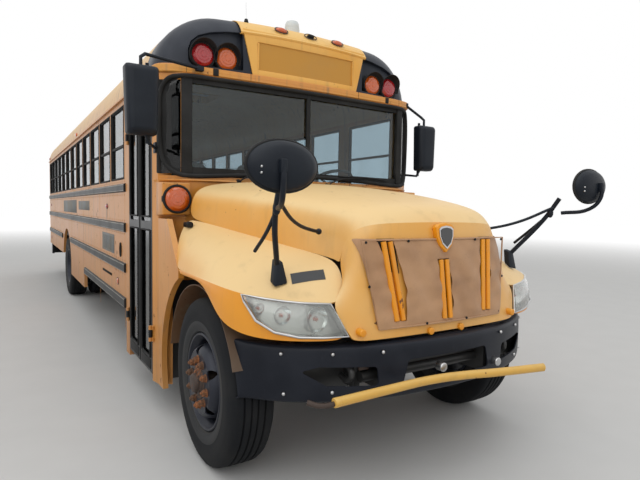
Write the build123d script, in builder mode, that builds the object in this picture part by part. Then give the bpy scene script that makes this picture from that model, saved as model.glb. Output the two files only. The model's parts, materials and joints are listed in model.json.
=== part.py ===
from build123d import *
from math import asin, cos, pi, sin
import os

os.makedirs("parts", exist_ok=True)

# Conventional school bus, millimetres. X is the bus's left, Y runs rearward, Z is up from the ground.
# Stations along the bus are measured rearward from the front axle.
FRONT_AXLE_Y = -4800
WHEELBASE = 7010
BODY_HALF = 1219
WALL = 40
SEAT_GAP = 0.3

# Stations of the body
BODY_FRONT = 700
DOOR_FRONT = 950
DOOR_REAR = 1780
BAYS_START = DOOR_REAR + 170
BAY_PITCH = 711.2
BAYS = 12
REAR_POST = 135.6
BODY_REAR = BAYS_START + BAYS * BAY_PITCH + REAR_POST
SKIRT_STEP = DOOR_REAR + 140
SKIRT_MID_START = WHEELBASE - 2220

# Heights of the body
CROWN = 3100
ROOF_RISE = 520
EAVES = CROWN - ROOF_RISE
CORNER_R = 500
WINDOW_HEAD = EAVES - 50
WINDOW_HEIGHT = 685
WINDOW_SILL = WINDOW_HEAD - WINDOW_HEIGHT
WINDOW_WIDTH = 640
SASH_BAR_Z = WINDOW_HEAD - 380
FLOOR_TOP = 1070
FLOOR_THICK = 40
SKIRT_FRONT = 640
SKIRT_MID = 440
SKIRT_REAR = 700
STEP_BOTTOM = 240
REAR_ARCH_R = 640
REAR_ARCH_Z = 540

# Wheels
TYRE_R = 518
TYRE_WIDTH = 279
TYRE_SIDES = 40
RIM_R = 286
FRONT_TYRE_FACE = 1167
REAR_TYRE_FACE = 1208
DUAL_SPACING = 343
KINGPIN_X = 900
AXLE_Z = TYRE_R
FRONT_WHEEL_X = FRONT_TYRE_FACE - TYRE_WIDTH / 2
REAR_OUTER_X = REAR_TYRE_FACE - TYRE_WIDTH / 2
REAR_INNER_X = REAR_OUTER_X - DUAL_SPACING
REAR_HUB_X = (REAR_OUTER_X + REAR_INNER_X) / 2
SPINDLE_R = 45

# Every hinge is a fixed pin with two end knuckles and a moving sleeve between them.
PIN_R = 8
KNUCKLE_R = 14
SLEEVE_LENGTH = 60
KNUCKLE_LENGTH = 30
RUNNING_GAP = 0.05
KNUCKLE_REACH = (SLEEVE_LENGTH + KNUCKLE_LENGTH) / 2 + SEAT_GAP


def at(station):
    """Place along Y of a station behind the front axle."""
    return FRONT_AXLE_Y + station


def cross(station):
    """Upright plane across the bus, local x to the bus's left and local y up."""
    return Plane(origin=(0, at(station), 0), x_dir=(1, 0, 0), z_dir=(0, -1, 0))


def side(x):
    """Upright plane along the bus, local x rearward and local y up, normal to the left."""
    return Plane(origin=(x, FRONT_AXLE_Y, 0), x_dir=(0, 1, 0), z_dir=(1, 0, 0))


def plan(z):
    """Level plane with its zero at the front axle."""
    return Plane.XY.offset(z).shift_origin((0, FRONT_AXLE_Y, z))


def mirrored(point):
    """The same point on the right of the bus."""
    return (-point[0], point[1])


with BuildPart() as hinge_pin:
    Cylinder(PIN_R, 2 * KNUCKLE_REACH)
    with Locations((0, 0, -KNUCKLE_REACH), (0, 0, KNUCKLE_REACH)):
        Cylinder(KNUCKLE_R, KNUCKLE_LENGTH)

with BuildPart() as hinge_sleeve:
    Cylinder(KNUCKLE_R, SLEEVE_LENGTH)
    Cylinder(PIN_R + RUNNING_GAP, SLEEVE_LENGTH, mode=Mode.SUBTRACT)

# Roof section: two corner arcs and a crown arc that meets them at a tangent.
CORNER_X = BODY_HALF - CORNER_R
CROWN_R = (CORNER_X ** 2 + ROOF_RISE ** 2 - CORNER_R ** 2) / (2 * (ROOF_RISE - CORNER_R))


def roof_face(inset, foot):
    """Closed roof section moved inward by inset, its sides brought down to the height foot."""
    corner_r = CORNER_R - inset
    tilt = asin(CORNER_X / (CROWN_R - CORNER_R))
    turn = (pi / 2 - tilt) / 2
    eaves = (CORNER_X + corner_r, EAVES)
    middle = (CORNER_X + corner_r * cos(turn), EAVES + corner_r * sin(turn))
    tangent = (CORNER_X + corner_r * sin(tilt), EAVES + corner_r * cos(tilt))
    with BuildSketch() as section:
        with BuildLine():
            if foot < EAVES:
                Polyline(mirrored(eaves), (-eaves[0], foot), (eaves[0], foot), eaves)
            else:
                Line(mirrored(eaves), eaves)
            ThreePointArc(eaves, middle, tangent)
            ThreePointArc(tangent, (0, CROWN - inset), mirrored(tangent))
            ThreePointArc(mirrored(tangent), mirrored(middle), mirrored(eaves))
        make_face()
    return section.sketch


roof_outside = roof_face(0, EAVES)
roof_inside = roof_face(WALL, EAVES)
rear_outline = roof_face(0, SKIRT_REAR)

# Roof with two hatch curbs
CAP_REAR = 1150
CAP_FRONT = 720
HATCH_STATIONS = {"front": 3730, "rear": 8000}
HATCH_HALF = 290
CURB_HEIGHT = 45
CURB_SINK = 50
CURB_WALL = 15
LID_THICK = 40
LID_LIP = 30
HATCH_HINGE_XS = (-180, 180)
HATCH_PIVOT_BACK = HATCH_HALF + LID_LIP + 22
HATCH_PIVOT_Z = CROWN + 40
STROBE_STATION = CAP_REAR + 200
STROBE_R = 75

with BuildPart() as roof_shell:
    with BuildSketch(cross(CAP_REAR)):
        add(roof_outside)
        add(roof_inside, mode=Mode.SUBTRACT)
    extrude(amount=-(BODY_REAR - WALL - CAP_REAR))
    for station in HATCH_STATIONS.values():
        with Locations((0, at(station), CROWN - CURB_SINK)):
            Box(2 * HATCH_HALF, 2 * HATCH_HALF, 4 * CURB_SINK, mode=Mode.SUBTRACT)
        with Locations((0, at(station), CROWN + (CURB_HEIGHT - CURB_SINK) / 2)):
            Box(2 * HATCH_HALF, 2 * HATCH_HALF, CURB_HEIGHT + CURB_SINK)
            Box(
                2 * (HATCH_HALF - CURB_WALL),
                2 * (HATCH_HALF - CURB_WALL),
                CURB_HEIGHT + CURB_SINK,
                mode=Mode.SUBTRACT,
            )
        pivots = [(x, at(station - HATCH_PIVOT_BACK), HATCH_PIVOT_Z) for x in HATCH_HINGE_XS]
        with Locations(*pivots):
            add(hinge_pin.part, rotation=(0, 90, 0))
        brackets = [(x + way * KNUCKLE_REACH, y + 6, CROWN + 12) for x, y, z in pivots for way in (-1, 1)]
        with Locations(*brackets):
            Box(KNUCKLE_LENGTH, 24, 56)
    with Locations((0, at(STROBE_STATION), CROWN + 10)):
        Cylinder(STROBE_R + 15, 50)
roof_shell.part.label = "roof_shell"
export_step(roof_shell.part, "parts/roof_shell.step")

# Front cap: rounded in plan, hollow behind, with a lamp pocket on each side and a sign frame
CAP_BULGE = 100
CAP_REACH = BODY_HALF + 80
WARNING_Z = EAVES + 157
LAMP_POCKET_X = BODY_HALF - 421
LAMP_POCKET_BACK = 760
POCKET_SIZE = (400, 200)
LENS_R = 89
LENS_DEPTH = 25
FRONT_LAMP_STATION = 735
WARNING_LAMPS = {"red": BODY_HALF - 327, "amber": BODY_HALF - 515}
VISOR_R = LENS_R + 14
VISOR_SHEET = 8
VISOR_STATION = 690
TRIM_Z = EAVES + 31
TRIM_HEIGHT = 56
MARKER_XS = (-300, 0, 300)
MARKER_Z = CROWN - 55

with BuildPart() as front_cap:
    with BuildSketch(cross(CAP_REAR)):
        add(roof_outside)
    extrude(amount=CAP_REAR - CAP_FRONT)
    with BuildSketch(plan(EAVES - 10)):
        with BuildLine():
            ThreePointArc(
                (-CAP_REACH, CAP_FRONT + CAP_BULGE), (0, CAP_FRONT), (CAP_REACH, CAP_FRONT + CAP_BULGE)
            )
            Polyline(
                (CAP_REACH, CAP_FRONT + CAP_BULGE),
                (CAP_REACH, CAP_REAR + 10),
                (-CAP_REACH, CAP_REAR + 10),
                (-CAP_REACH, CAP_FRONT + CAP_BULGE),
            )
        make_face()
    extrude(amount=CROWN, mode=Mode.INTERSECT)
    with BuildSketch(cross(CAP_REAR)):
        add(roof_inside)
    extrude(amount=CAP_REAR - CAP_FRONT - CAP_BULGE - WALL, mode=Mode.SUBTRACT)
    with BuildSketch(cross(LAMP_POCKET_BACK)):
        with Locations((-LAMP_POCKET_X, WARNING_Z), (LAMP_POCKET_X, WARNING_Z)):
            RectangleRounded(*POCKET_SIZE, 40)
    extrude(amount=200, mode=Mode.SUBTRACT)
front_cap.part.label = "front_cap"
export_step(front_cap.part, "parts/front_cap.step")

# Side walls, with windows, wheel arches and the door opening cut through
LEAF_GAP = 8
LEAF_PIVOT_X = -BODY_HALF - 16
LEAF_PIVOTS = {"front": DOOR_FRONT + LEAF_GAP / 2, "rear": DOOR_REAR - LEAF_GAP / 2}
DOOR_HEAD = WINDOW_HEAD - 30
LEAF_HINGE_HEIGHTS = (620, DOOR_HEAD - 300)
DRIVER_WINDOW = (1060, 1800)
BAY_CENTRES = [BAYS_START + BAY_PITCH * (i + 0.5) for i in range(BAYS)]
BAY_WINDOWS = [(c - WINDOW_WIDTH / 2, c + WINDOW_WIDTH / 2) for c in BAY_CENTRES]
WINDOWS = {"right": BAY_WINDOWS, "left": BAY_WINDOWS + [DRIVER_WINDOW]}
WINDOW_MID = (WINDOW_SILL + WINDOW_HEAD) / 2
SKIRT_LINE = [
    (SKIRT_STEP, SKIRT_FRONT),
    (SKIRT_MID_START, SKIRT_FRONT),
    (SKIRT_MID_START, SKIRT_MID),
    (WHEELBASE - REAR_ARCH_R, SKIRT_MID),
    (WHEELBASE - REAR_ARCH_R, SKIRT_REAR),
    (BODY_REAR - WALL, SKIRT_REAR),
    (BODY_REAR - WALL, EAVES),
]
RIGHT_OUTLINE = [
    (DOOR_FRONT, EAVES),
    (DOOR_FRONT, DOOR_HEAD),
    (DOOR_REAR, DOOR_HEAD),
    (DOOR_REAR, STEP_BOTTOM),
    (SKIRT_STEP, STEP_BOTTOM),
] + SKIRT_LINE
LEFT_OUTLINE = [(DOOR_FRONT, EAVES), (DOOR_FRONT, SKIRT_MID), (SKIRT_STEP, SKIRT_MID)] + SKIRT_LINE
STOP_PIVOT = (BODY_HALF + 50, 1960)
STOP_Z = WINDOW_SILL - 225

with BuildPart() as side_wall_right:
    with BuildSketch(side(-BODY_HALF)):
        with BuildLine():
            Polyline(*RIGHT_OUTLINE, close=True)
        make_face()
        with Locations((WHEELBASE, REAR_ARCH_Z)):
            Circle(REAR_ARCH_R, mode=Mode.SUBTRACT)
        with Locations((WHEELBASE, REAR_ARCH_Z - REAR_ARCH_R)):
            Rectangle(2 * REAR_ARCH_R, 2 * REAR_ARCH_R, mode=Mode.SUBTRACT)
        for start, end in WINDOWS["right"]:
            with Locations(((start + end) / 2, WINDOW_MID)):
                Rectangle(end - start, WINDOW_HEIGHT, mode=Mode.SUBTRACT)
    extrude(amount=WALL)
    for height in LEAF_HINGE_HEIGHTS:
        with Locations((LEAF_PIVOT_X, at(LEAF_PIVOTS["rear"]), height)):
            add(hinge_pin.part)
        for way in (-1, 1):
            with Locations((-BODY_HALF - 3, at(DOOR_REAR + 12), height + way * KNUCKLE_REACH)):
                Box(8, 40, KNUCKLE_LENGTH)
side_wall_right.part.label = "side_wall_right"
export_step(side_wall_right.part, "parts/side_wall_right.step")

with BuildPart() as side_wall_left:
    with BuildSketch(side(BODY_HALF - WALL)):
        with BuildLine():
            Polyline(*LEFT_OUTLINE, close=True)
        make_face()
        with Locations((WHEELBASE, REAR_ARCH_Z)):
            Circle(REAR_ARCH_R, mode=Mode.SUBTRACT)
        with Locations((WHEELBASE, REAR_ARCH_Z - REAR_ARCH_R)):
            Rectangle(2 * REAR_ARCH_R, 2 * REAR_ARCH_R, mode=Mode.SUBTRACT)
        for start, end in WINDOWS["left"]:
            with Locations(((start + end) / 2, WINDOW_MID)):
                Rectangle(end - start, WINDOW_HEIGHT, mode=Mode.SUBTRACT)
    extrude(amount=WALL)
    with Locations((STOP_PIVOT[0], at(STOP_PIVOT[1]), STOP_Z)):
        add(hinge_pin.part)
    for way in (-1, 1):
        with Locations((BODY_HALF + 25, at(STOP_PIVOT[1]), STOP_Z + way * KNUCKLE_REACH)):
            Box(50, 16, KNUCKLE_LENGTH)
side_wall_left.part.label = "side_wall_left"
export_step(side_wall_left.part, "parts/side_wall_left.step")

# Rear wall with the emergency door opening and a window on each side
REAR_DOOR_HALF = 450
REAR_DOOR_SILL = FLOOR_TOP
REAR_DOOR_HEAD = EAVES - 80
REAR_PIVOT = (-REAR_DOOR_HALF + LEAF_GAP / 2, BODY_REAR + 16)
REAR_HINGE_HEIGHTS = (FLOOR_TOP + 130, (FLOOR_TOP + REAR_DOOR_HEAD) / 2 - 45, REAR_DOOR_HEAD - 200)
REAR_WINDOW_X = BODY_HALF - 419
REAR_WINDOW_SIZE = (480, 620)
REAR_WINDOW_Z = EAVES - 430

with BuildPart() as rear_wall:
    with BuildSketch(cross(BODY_REAR - WALL)):
        add(rear_outline)
        with Locations((0, (REAR_DOOR_SILL + REAR_DOOR_HEAD) / 2)):
            Rectangle(2 * REAR_DOOR_HALF, REAR_DOOR_HEAD - REAR_DOOR_SILL, mode=Mode.SUBTRACT)
        with Locations((-REAR_WINDOW_X, REAR_WINDOW_Z), (REAR_WINDOW_X, REAR_WINDOW_Z)):
            RectangleRounded(*REAR_WINDOW_SIZE, 60, mode=Mode.SUBTRACT)
    extrude(amount=-WALL)
    for height in REAR_HINGE_HEIGHTS:
        with Locations((REAR_PIVOT[0], at(REAR_PIVOT[1]), height)):
            add(hinge_pin.part)
        for way in (-1, 1):
            with Locations((REAR_PIVOT[0] - 16, at(BODY_REAR + 5), height + way * KNUCKLE_REACH)):
                Box(34, 12, KNUCKLE_LENGTH)
rear_wall.part.label = "rear_wall"
export_step(rear_wall.part, "parts/rear_wall.step")

# Front frame: cowl below, windshield opening above, wheel arch halves at the lower corners
POST_X = BODY_HALF - 189
POST_STATION = 735
CORNER_STATION = 850
GLASS_BOTTOM = WINDOW_HEAD - 700
GLASS_TOP = WINDOW_HEAD
GLASS_CORNER_R = 60
COWL_BOTTOM = 250
COWL_CUT_HALF = BODY_HALF - 109
COWL_CUT_TOP = FLOOR_TOP - 20
COWL_ARCH_R = 700
COWL_ARCH = (60, 480)
COWL_SIDE_FRONT = 340
COWL_SHOULDER = (620, 1510)
COWL_LOW_SHOULDER = 1170
FRAME_LINE = [(0, BODY_FRONT), (POST_X, POST_STATION), (BODY_HALF - 19, CORNER_STATION), (BODY_HALF, DOOR_FRONT)]
INNER_LINE = [
    (0, BODY_FRONT + WALL),
    (POST_X - WALL, POST_STATION + WALL),
    (BODY_HALF - 19 - WALL, CORNER_STATION + WALL),
    (BODY_HALF - WALL, DOOR_FRONT),
]

with BuildPart() as front_frame:
    with BuildSketch(plan(COWL_BOTTOM)):
        with BuildLine():
            Polyline(
                *[mirrored(p) for p in FRAME_LINE[:0:-1]],
                *FRAME_LINE,
                *INNER_LINE[::-1],
                *[mirrored(p) for p in INNER_LINE[1:]],
                close=True,
            )
        make_face()
    extrude(amount=EAVES - COWL_BOTTOM)
    with BuildSketch(cross(BODY_FRONT - 100)):
        with Locations((0, (GLASS_BOTTOM + GLASS_TOP) / 2)):
            RectangleRounded(2 * (POST_X - 30), GLASS_TOP - GLASS_BOTTOM, GLASS_CORNER_R)
        with Locations((0, (COWL_BOTTOM - 100 + COWL_CUT_TOP) / 2)):
            Rectangle(2 * COWL_CUT_HALF, COWL_CUT_TOP - COWL_BOTTOM + 100)
    extrude(amount=-400, mode=Mode.SUBTRACT)
    with BuildSketch(side(-BODY_HALF - 100)):
        with Locations(((POST_STATION + CORNER_STATION) / 2 + 10, (GLASS_BOTTOM + GLASS_TOP) / 2)):
            Rectangle(CORNER_STATION - POST_STATION - 20, GLASS_TOP - GLASS_BOTTOM)
    extrude(amount=2 * BODY_HALF + 200, mode=Mode.SUBTRACT)
    for x in (19 - BODY_HALF, BODY_HALF - 19 - WALL):
        with BuildSketch(side(x)):
            with BuildLine():
                Polyline(
                    (DOOR_FRONT, COWL_SHOULDER[1]),
                    COWL_SHOULDER,
                    (COWL_SIDE_FRONT, COWL_LOW_SHOULDER),
                    (COWL_SIDE_FRONT, COWL_BOTTOM),
                    (DOOR_FRONT, COWL_BOTTOM),
                    close=True,
                )
            make_face()
            with Locations(COWL_ARCH):
                Circle(COWL_ARCH_R, mode=Mode.SUBTRACT)
        extrude(amount=WALL)
    for height in LEAF_HINGE_HEIGHTS:
        with Locations((LEAF_PIVOT_X, at(LEAF_PIVOTS["front"]), height)):
            add(hinge_pin.part)
        for way in (-1, 1):
            with Locations((-BODY_HALF - 3, at(DOOR_FRONT - 12), height + way * KNUCKLE_REACH)):
                Box(8, 40, KNUCKLE_LENGTH)
front_frame.part.label = "front_frame"
export_step(front_frame.part, "parts/front_frame.step")

# Floor with its wheel houses and the sills below it
SILL_DEPTH = 110
SILL_HALF = BODY_HALF - 69
SILL_WIDTH = 50
WHEEL_HOUSE_TOP = FLOOR_TOP + 160
WHEEL_HOUSE_X = 560
HOUSE_WALL = 10
HOUSE_LENGTH = 2 * REAR_ARCH_R
HOUSE_WIDTH = BODY_HALF - WALL - WHEEL_HOUSE_X
HOUSE_MID = WHEEL_HOUSE_X + HOUSE_WIDTH / 2
RAIL_TOP = FLOOR_TOP - FLOOR_THICK - SILL_DEPTH
FLOOR_REAR = BODY_REAR - WALL
WELL_X = BODY_HALF - 519
WELL_FRONT = 700
FOOT_FRONT = 780
FOOT_HALF = BODY_HALF - 239
HOUSE_LIFT = 15

with BuildPart() as floor_deck:
    with BuildSketch(plan(FLOOR_TOP - FLOOR_THICK)):
        with Locations((0, (DOOR_FRONT + FLOOR_REAR) / 2)):
            Rectangle(2 * (BODY_HALF - WALL), FLOOR_REAR - DOOR_FRONT)
        with Locations((0, (FOOT_FRONT + DOOR_FRONT) / 2)):
            Rectangle(2 * FOOT_HALF, DOOR_FRONT - FOOT_FRONT)
        with Locations((-(WELL_X + BODY_HALF) / 2, (WELL_FRONT + DOOR_REAR) / 2)):
            Rectangle(BODY_HALF - WELL_X, DOOR_REAR - WELL_FRONT, mode=Mode.SUBTRACT)
        with Locations((-HOUSE_MID, WHEELBASE), (HOUSE_MID, WHEELBASE)):
            Rectangle(HOUSE_WIDTH, HOUSE_LENGTH, mode=Mode.SUBTRACT)
    extrude(amount=FLOOR_THICK)
    for x in (-HOUSE_MID, HOUSE_MID):
        with Locations((x, at(WHEELBASE), (FLOOR_TOP - FLOOR_THICK + WHEEL_HOUSE_TOP) / 2)):
            Box(HOUSE_WIDTH, HOUSE_LENGTH, WHEEL_HOUSE_TOP - FLOOR_TOP + FLOOR_THICK)
        with Locations((x, at(WHEELBASE), (FLOOR_TOP - FLOOR_THICK + WHEEL_HOUSE_TOP) / 2 - HOUSE_WALL)):
            Box(
                HOUSE_WIDTH - 2 * HOUSE_WALL,
                HOUSE_LENGTH - 2 * HOUSE_WALL,
                WHEEL_HOUSE_TOP - FLOOR_TOP + FLOOR_THICK,
                mode=Mode.SUBTRACT,
            )
    for i in range(BAYS + 1):
        station = BAYS_START + BAY_PITCH * i - 20
        if abs(station - WHEELBASE) > REAR_ARCH_R + WALL:
            with Locations((0, at(station), FLOOR_TOP - FLOOR_THICK - SILL_DEPTH / 2)):
                Box(2 * SILL_HALF, SILL_WIDTH, SILL_DEPTH)
    with Locations((0, at(WHEELBASE), FLOOR_TOP - FLOOR_THICK)):
        Box(2 * (BODY_HALF - WALL), HOUSE_LENGTH - 2 * HOUSE_WALL, 2 * HOUSE_LIFT, mode=Mode.SUBTRACT)
    with Locations((0, at(WHEELBASE), FLOOR_TOP - FLOOR_THICK / 2)):
        Box(2 * WHEEL_HOUSE_X, HOUSE_LENGTH, FLOOR_THICK)
floor_deck.part.label = "floor_deck"
export_step(floor_deck.part, "parts/floor_deck.step")

# Entry steps inside the door opening, closed by a riser behind each tread and a wall at each end
TREADS = 4
STEP_RISE = (FLOOR_TOP - STEP_BOTTOM) / TREADS
STEP_SHEET = 25
WELL_CLEARANCE = 2
WELL_INNER = -WELL_X - SEAT_GAP
TREAD_EDGES = [44 - BODY_HALF, 209 - BODY_HALF, 369 - BODY_HALF, WELL_INNER]

with BuildPart() as step_well:
    with BuildSketch(cross(DOOR_FRONT + WELL_CLEARANCE)):
        for i, (edge, riser) in enumerate(zip(TREAD_EDGES, TREAD_EDGES[1:])):
            tread_z = STEP_BOTTOM + STEP_RISE * i
            with Locations(((edge + riser) / 2, tread_z + STEP_SHEET / 2)):
                Rectangle(riser - edge, STEP_SHEET)
            with Locations((riser - STEP_SHEET / 2, tread_z + (STEP_RISE + STEP_SHEET) / 2)):
                Rectangle(STEP_SHEET, STEP_RISE + STEP_SHEET)
    extrude(amount=-(DOOR_REAR - DOOR_FRONT - 2 * WELL_CLEARANCE))
    for station in (DOOR_FRONT + WELL_CLEARANCE, DOOR_REAR - WELL_CLEARANCE - STEP_SHEET):
        with BuildSketch(cross(station)):
            for i, edge in enumerate(TREAD_EDGES[:-1]):
                tread_z = STEP_BOTTOM + STEP_RISE * i
                with Locations(((edge + WELL_INNER) / 2, (tread_z + FLOOR_TOP) / 2)):
                    Rectangle(WELL_INNER - edge, FLOOR_TOP - tread_z)
        extrude(amount=-STEP_SHEET)
step_well.part.label = "step_well"
export_step(step_well.part, "parts/step_well.step")

# Rub rails on both sides, with bevelled edges
RAIL_PROUD = 20
RAIL_BEVEL = 8
RAILS_END = BODY_REAR - 60
RUB_RAILS = [
    {"top": WINDOW_SILL - 39, "height": 80, "end": RAILS_END},
    {"top": FLOOR_TOP + 371, "height": 90, "end": RAILS_END},
    {"top": FLOOR_TOP - 6, "height": 90, "end": RAILS_END},
    {"top": FLOOR_TOP - 331, "height": 95, "end": SKIRT_MID_START - 120},
]
RAILS_START = SKIRT_STEP + 5

with BuildPart() as rub_rails:
    for rail in RUB_RAILS:
        foot = rail["top"] - rail["height"]
        spans = [(RAILS_START, rail["end"])]
        if foot < REAR_ARCH_Z + REAR_ARCH_R and rail["end"] > WHEELBASE:
            spans = [(RAILS_START, WHEELBASE - REAR_ARCH_R - 20), (WHEELBASE + REAR_ARCH_R + 20, rail["end"])]
        for start, end in spans:
            for sign in (-1, 1):
                face = sign * BODY_HALF
                lip = sign * (BODY_HALF + RAIL_PROUD)
                with BuildSketch(cross(start)):
                    with BuildLine():
                        Polyline(
                            (face, foot),
                            (lip, foot + RAIL_BEVEL),
                            (lip, rail["top"] - RAIL_BEVEL),
                            (face, rail["top"]),
                            close=True,
                        )
                    make_face()
                extrude(amount=-(end - start))
rub_rails.part.label = "rub_rails"
export_step(rub_rails.part, "parts/rub_rails.step")

# Window sashes and glass; each pane's lower and upper edges
SASH = 22
SASH_DEPTH = 30
PANE = 6
PANES = [(WINDOW_SILL + SASH, SASH_BAR_Z), (SASH_BAR_Z + SASH, WINDOW_HEAD - SASH)]
SASH_PLANES = {"right": -BODY_HALF + WALL / 2, "left": BODY_HALF - WALL / 2}

with BuildPart() as window_sashes:
    for name, x in SASH_PLANES.items():
        with BuildSketch(side(x - SASH_DEPTH / 2)):
            for start, end in WINDOWS[name]:
                with Locations(((start + end) / 2, WINDOW_MID)):
                    Rectangle(end - start, WINDOW_HEIGHT)
                for low, high in PANES:
                    with Locations(((start + end) / 2, (low + high) / 2)):
                        Rectangle(end - start - 2 * SASH, high - low, mode=Mode.SUBTRACT)
        extrude(amount=SASH_DEPTH)
window_sashes.part.label = "window_sashes"
export_step(window_sashes.part, "parts/window_sashes.step")

with BuildPart() as window_glass:
    for name, x in SASH_PLANES.items():
        with BuildSketch(side(x - PANE / 2)):
            for start, end in WINDOWS[name]:
                for low, high in PANES:
                    with Locations(((start + end) / 2, (low + high) / 2)):
                        Rectangle(end - start - 2 * SASH, high - low)
        extrude(amount=PANE)
    with BuildSketch(cross(BODY_REAR - (WALL + PANE) / 2)):
        with Locations((-REAR_WINDOW_X, REAR_WINDOW_Z), (REAR_WINDOW_X, REAR_WINDOW_Z)):
            RectangleRounded(*REAR_WINDOW_SIZE, 60)
    extrude(amount=-PANE)
window_glass.part.label = "window_glass"
export_step(window_glass.part, "parts/window_glass.step")

# Windshield, two flat halves that meet at a slight angle
PANE_HALF = POST_X - 30
PANE_FRONT = BODY_FRONT + WALL / 2
PANE_EDGE = PANE_FRONT + (POST_STATION - BODY_FRONT) * PANE_HALF / POST_X

with BuildPart() as windshield:
    with BuildSketch(plan(GLASS_BOTTOM)):
        with BuildLine():
            Polyline(
                (-PANE_HALF, PANE_EDGE),
                (0, PANE_FRONT),
                (PANE_HALF, PANE_EDGE),
                (PANE_HALF, PANE_EDGE + PANE),
                (0, PANE_FRONT + PANE),
                (-PANE_HALF, PANE_EDGE + PANE),
                close=True,
            )
        make_face()
    extrude(amount=GLASS_TOP - GLASS_BOTTOM)
    with BuildSketch(cross(BODY_FRONT)):
        with Locations((0, (GLASS_BOTTOM + GLASS_TOP) / 2)):
            RectangleRounded(2 * PANE_HALF, GLASS_TOP - GLASS_BOTTOM, GLASS_CORNER_R)
    extrude(amount=-400, mode=Mode.INTERSECT)
windshield.part.label = "windshield"
export_step(windshield.part, "parts/windshield.step")

# Entry door, two leaves with two panes each
LEAF_THICK = 30
LEAF_BOTTOM = STEP_BOTTOM + 60
LEAF_TOP = DOOR_HEAD - LEAF_GAP
LEAF_X = -BODY_HALF + LEAF_THICK / 2
LEAF_WIDTH = (DOOR_REAR - DOOR_FRONT) / 2 - 1.5 * LEAF_GAP
LEAF_FRAME = 50
LEAF_BAR = 60
LEAF_BAR_Z = FLOOR_TOP + 380
LEAF_KICK = 110
LEAVES = [
    {"name": "front", "mid": DOOR_FRONT + LEAF_GAP + LEAF_WIDTH / 2, "way": 1},
    {"name": "rear", "mid": DOOR_REAR - LEAF_GAP - LEAF_WIDTH / 2, "way": -1},
]
LEAF_PANES = [
    (LEAF_BOTTOM + LEAF_KICK, LEAF_BAR_Z - LEAF_BAR / 2),
    (LEAF_BAR_Z + LEAF_BAR / 2, LEAF_TOP - LEAF_FRAME),
]

for row in LEAVES:
    pivot = LEAF_PIVOTS[row["name"]]
    with BuildPart() as leaf:
        with BuildSketch(side(LEAF_X - LEAF_THICK / 2)):
            with Locations((row["mid"], (LEAF_BOTTOM + LEAF_TOP) / 2)):
                Rectangle(LEAF_WIDTH, LEAF_TOP - LEAF_BOTTOM)
            for low, high in LEAF_PANES:
                with Locations((row["mid"], (low + high) / 2)):
                    RectangleRounded(LEAF_WIDTH - 2 * LEAF_FRAME, high - low, 25, mode=Mode.SUBTRACT)
        extrude(amount=LEAF_THICK)
        for height in LEAF_HINGE_HEIGHTS:
            with Locations((-BODY_HALF - 5, at(pivot + row["way"] * 24), height)):
                Box(10, 36, SLEEVE_LENGTH)
            with Locations((LEAF_PIVOT_X, at(pivot), height)):
                Cylinder(PIN_R + RUNNING_GAP, SLEEVE_LENGTH, mode=Mode.SUBTRACT)
                add(hinge_sleeve.part)
    leaf.part.label = "door_leaf_" + row["name"]
    export_step(leaf.part, f"parts/door_leaf_{row['name']}.step")
    with BuildPart() as leaf_glass:
        with BuildSketch(side(LEAF_X - PANE / 2)):
            for low, high in LEAF_PANES:
                with Locations((row["mid"], (low + high) / 2)):
                    RectangleRounded(LEAF_WIDTH - 2 * LEAF_FRAME, high - low, 25)
        extrude(amount=PANE)
    leaf_glass.part.label = "door_glass_" + row["name"]
    export_step(leaf_glass.part, f"parts/door_glass_{row['name']}.step")

# Emergency door in the rear wall
REAR_PANE_SIDE = 110
REAR_PANES = [(FLOOR_TOP + 160, FLOOR_TOP + 570), (FLOOR_TOP + 770, REAR_DOOR_HEAD - 100)]
REAR_HANDLE_Z = FLOOR_TOP + 670
REAR_HANDLE = (180, 40)

with BuildPart() as rear_door:
    with BuildSketch(cross(BODY_REAR - LEAF_THICK)):
        with Locations((0, (REAR_DOOR_SILL + REAR_DOOR_HEAD) / 2)):
            Rectangle(2 * (REAR_DOOR_HALF - LEAF_GAP), REAR_DOOR_HEAD - REAR_DOOR_SILL - 2 * LEAF_GAP)
        for low, high in REAR_PANES:
            with Locations((0, (low + high) / 2)):
                RectangleRounded(2 * (REAR_DOOR_HALF - REAR_PANE_SIDE), high - low, 50, mode=Mode.SUBTRACT)
    extrude(amount=-LEAF_THICK)
    with BuildSketch(cross(BODY_REAR)):
        with Locations((REAR_DOOR_HALF - REAR_PANE_SIDE, REAR_HANDLE_Z)):
            SlotOverall(*REAR_HANDLE)
    extrude(amount=-22)
    for height in REAR_HINGE_HEIGHTS:
        with Locations((REAR_PIVOT[0] + 22, at(BODY_REAR + 6), height)):
            Box(36, 12, SLEEVE_LENGTH)
        with Locations((REAR_PIVOT[0], at(REAR_PIVOT[1]), height)):
            Cylinder(PIN_R + RUNNING_GAP, SLEEVE_LENGTH, mode=Mode.SUBTRACT)
            add(hinge_sleeve.part)
rear_door.part.label = "rear_door"
export_step(rear_door.part, "parts/rear_door.step")

with BuildPart() as rear_door_glass:
    with BuildSketch(cross(BODY_REAR - (LEAF_THICK + PANE) / 2)):
        for low, high in REAR_PANES:
            with Locations((0, (low + high) / 2)):
                RectangleRounded(2 * (REAR_DOOR_HALF - REAR_PANE_SIDE), high - low, 50)
    extrude(amount=-PANE)
rear_door_glass.part.label = "rear_door_glass"
export_step(rear_door_glass.part, "parts/rear_door_glass.step")

# Roof hatches on their curbs, with a raised middle
LID_HALF = HATCH_HALF + LID_LIP
LID_POCKET = 25
LID_CLEARANCE = 5
LID_CROWN = 12

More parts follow.
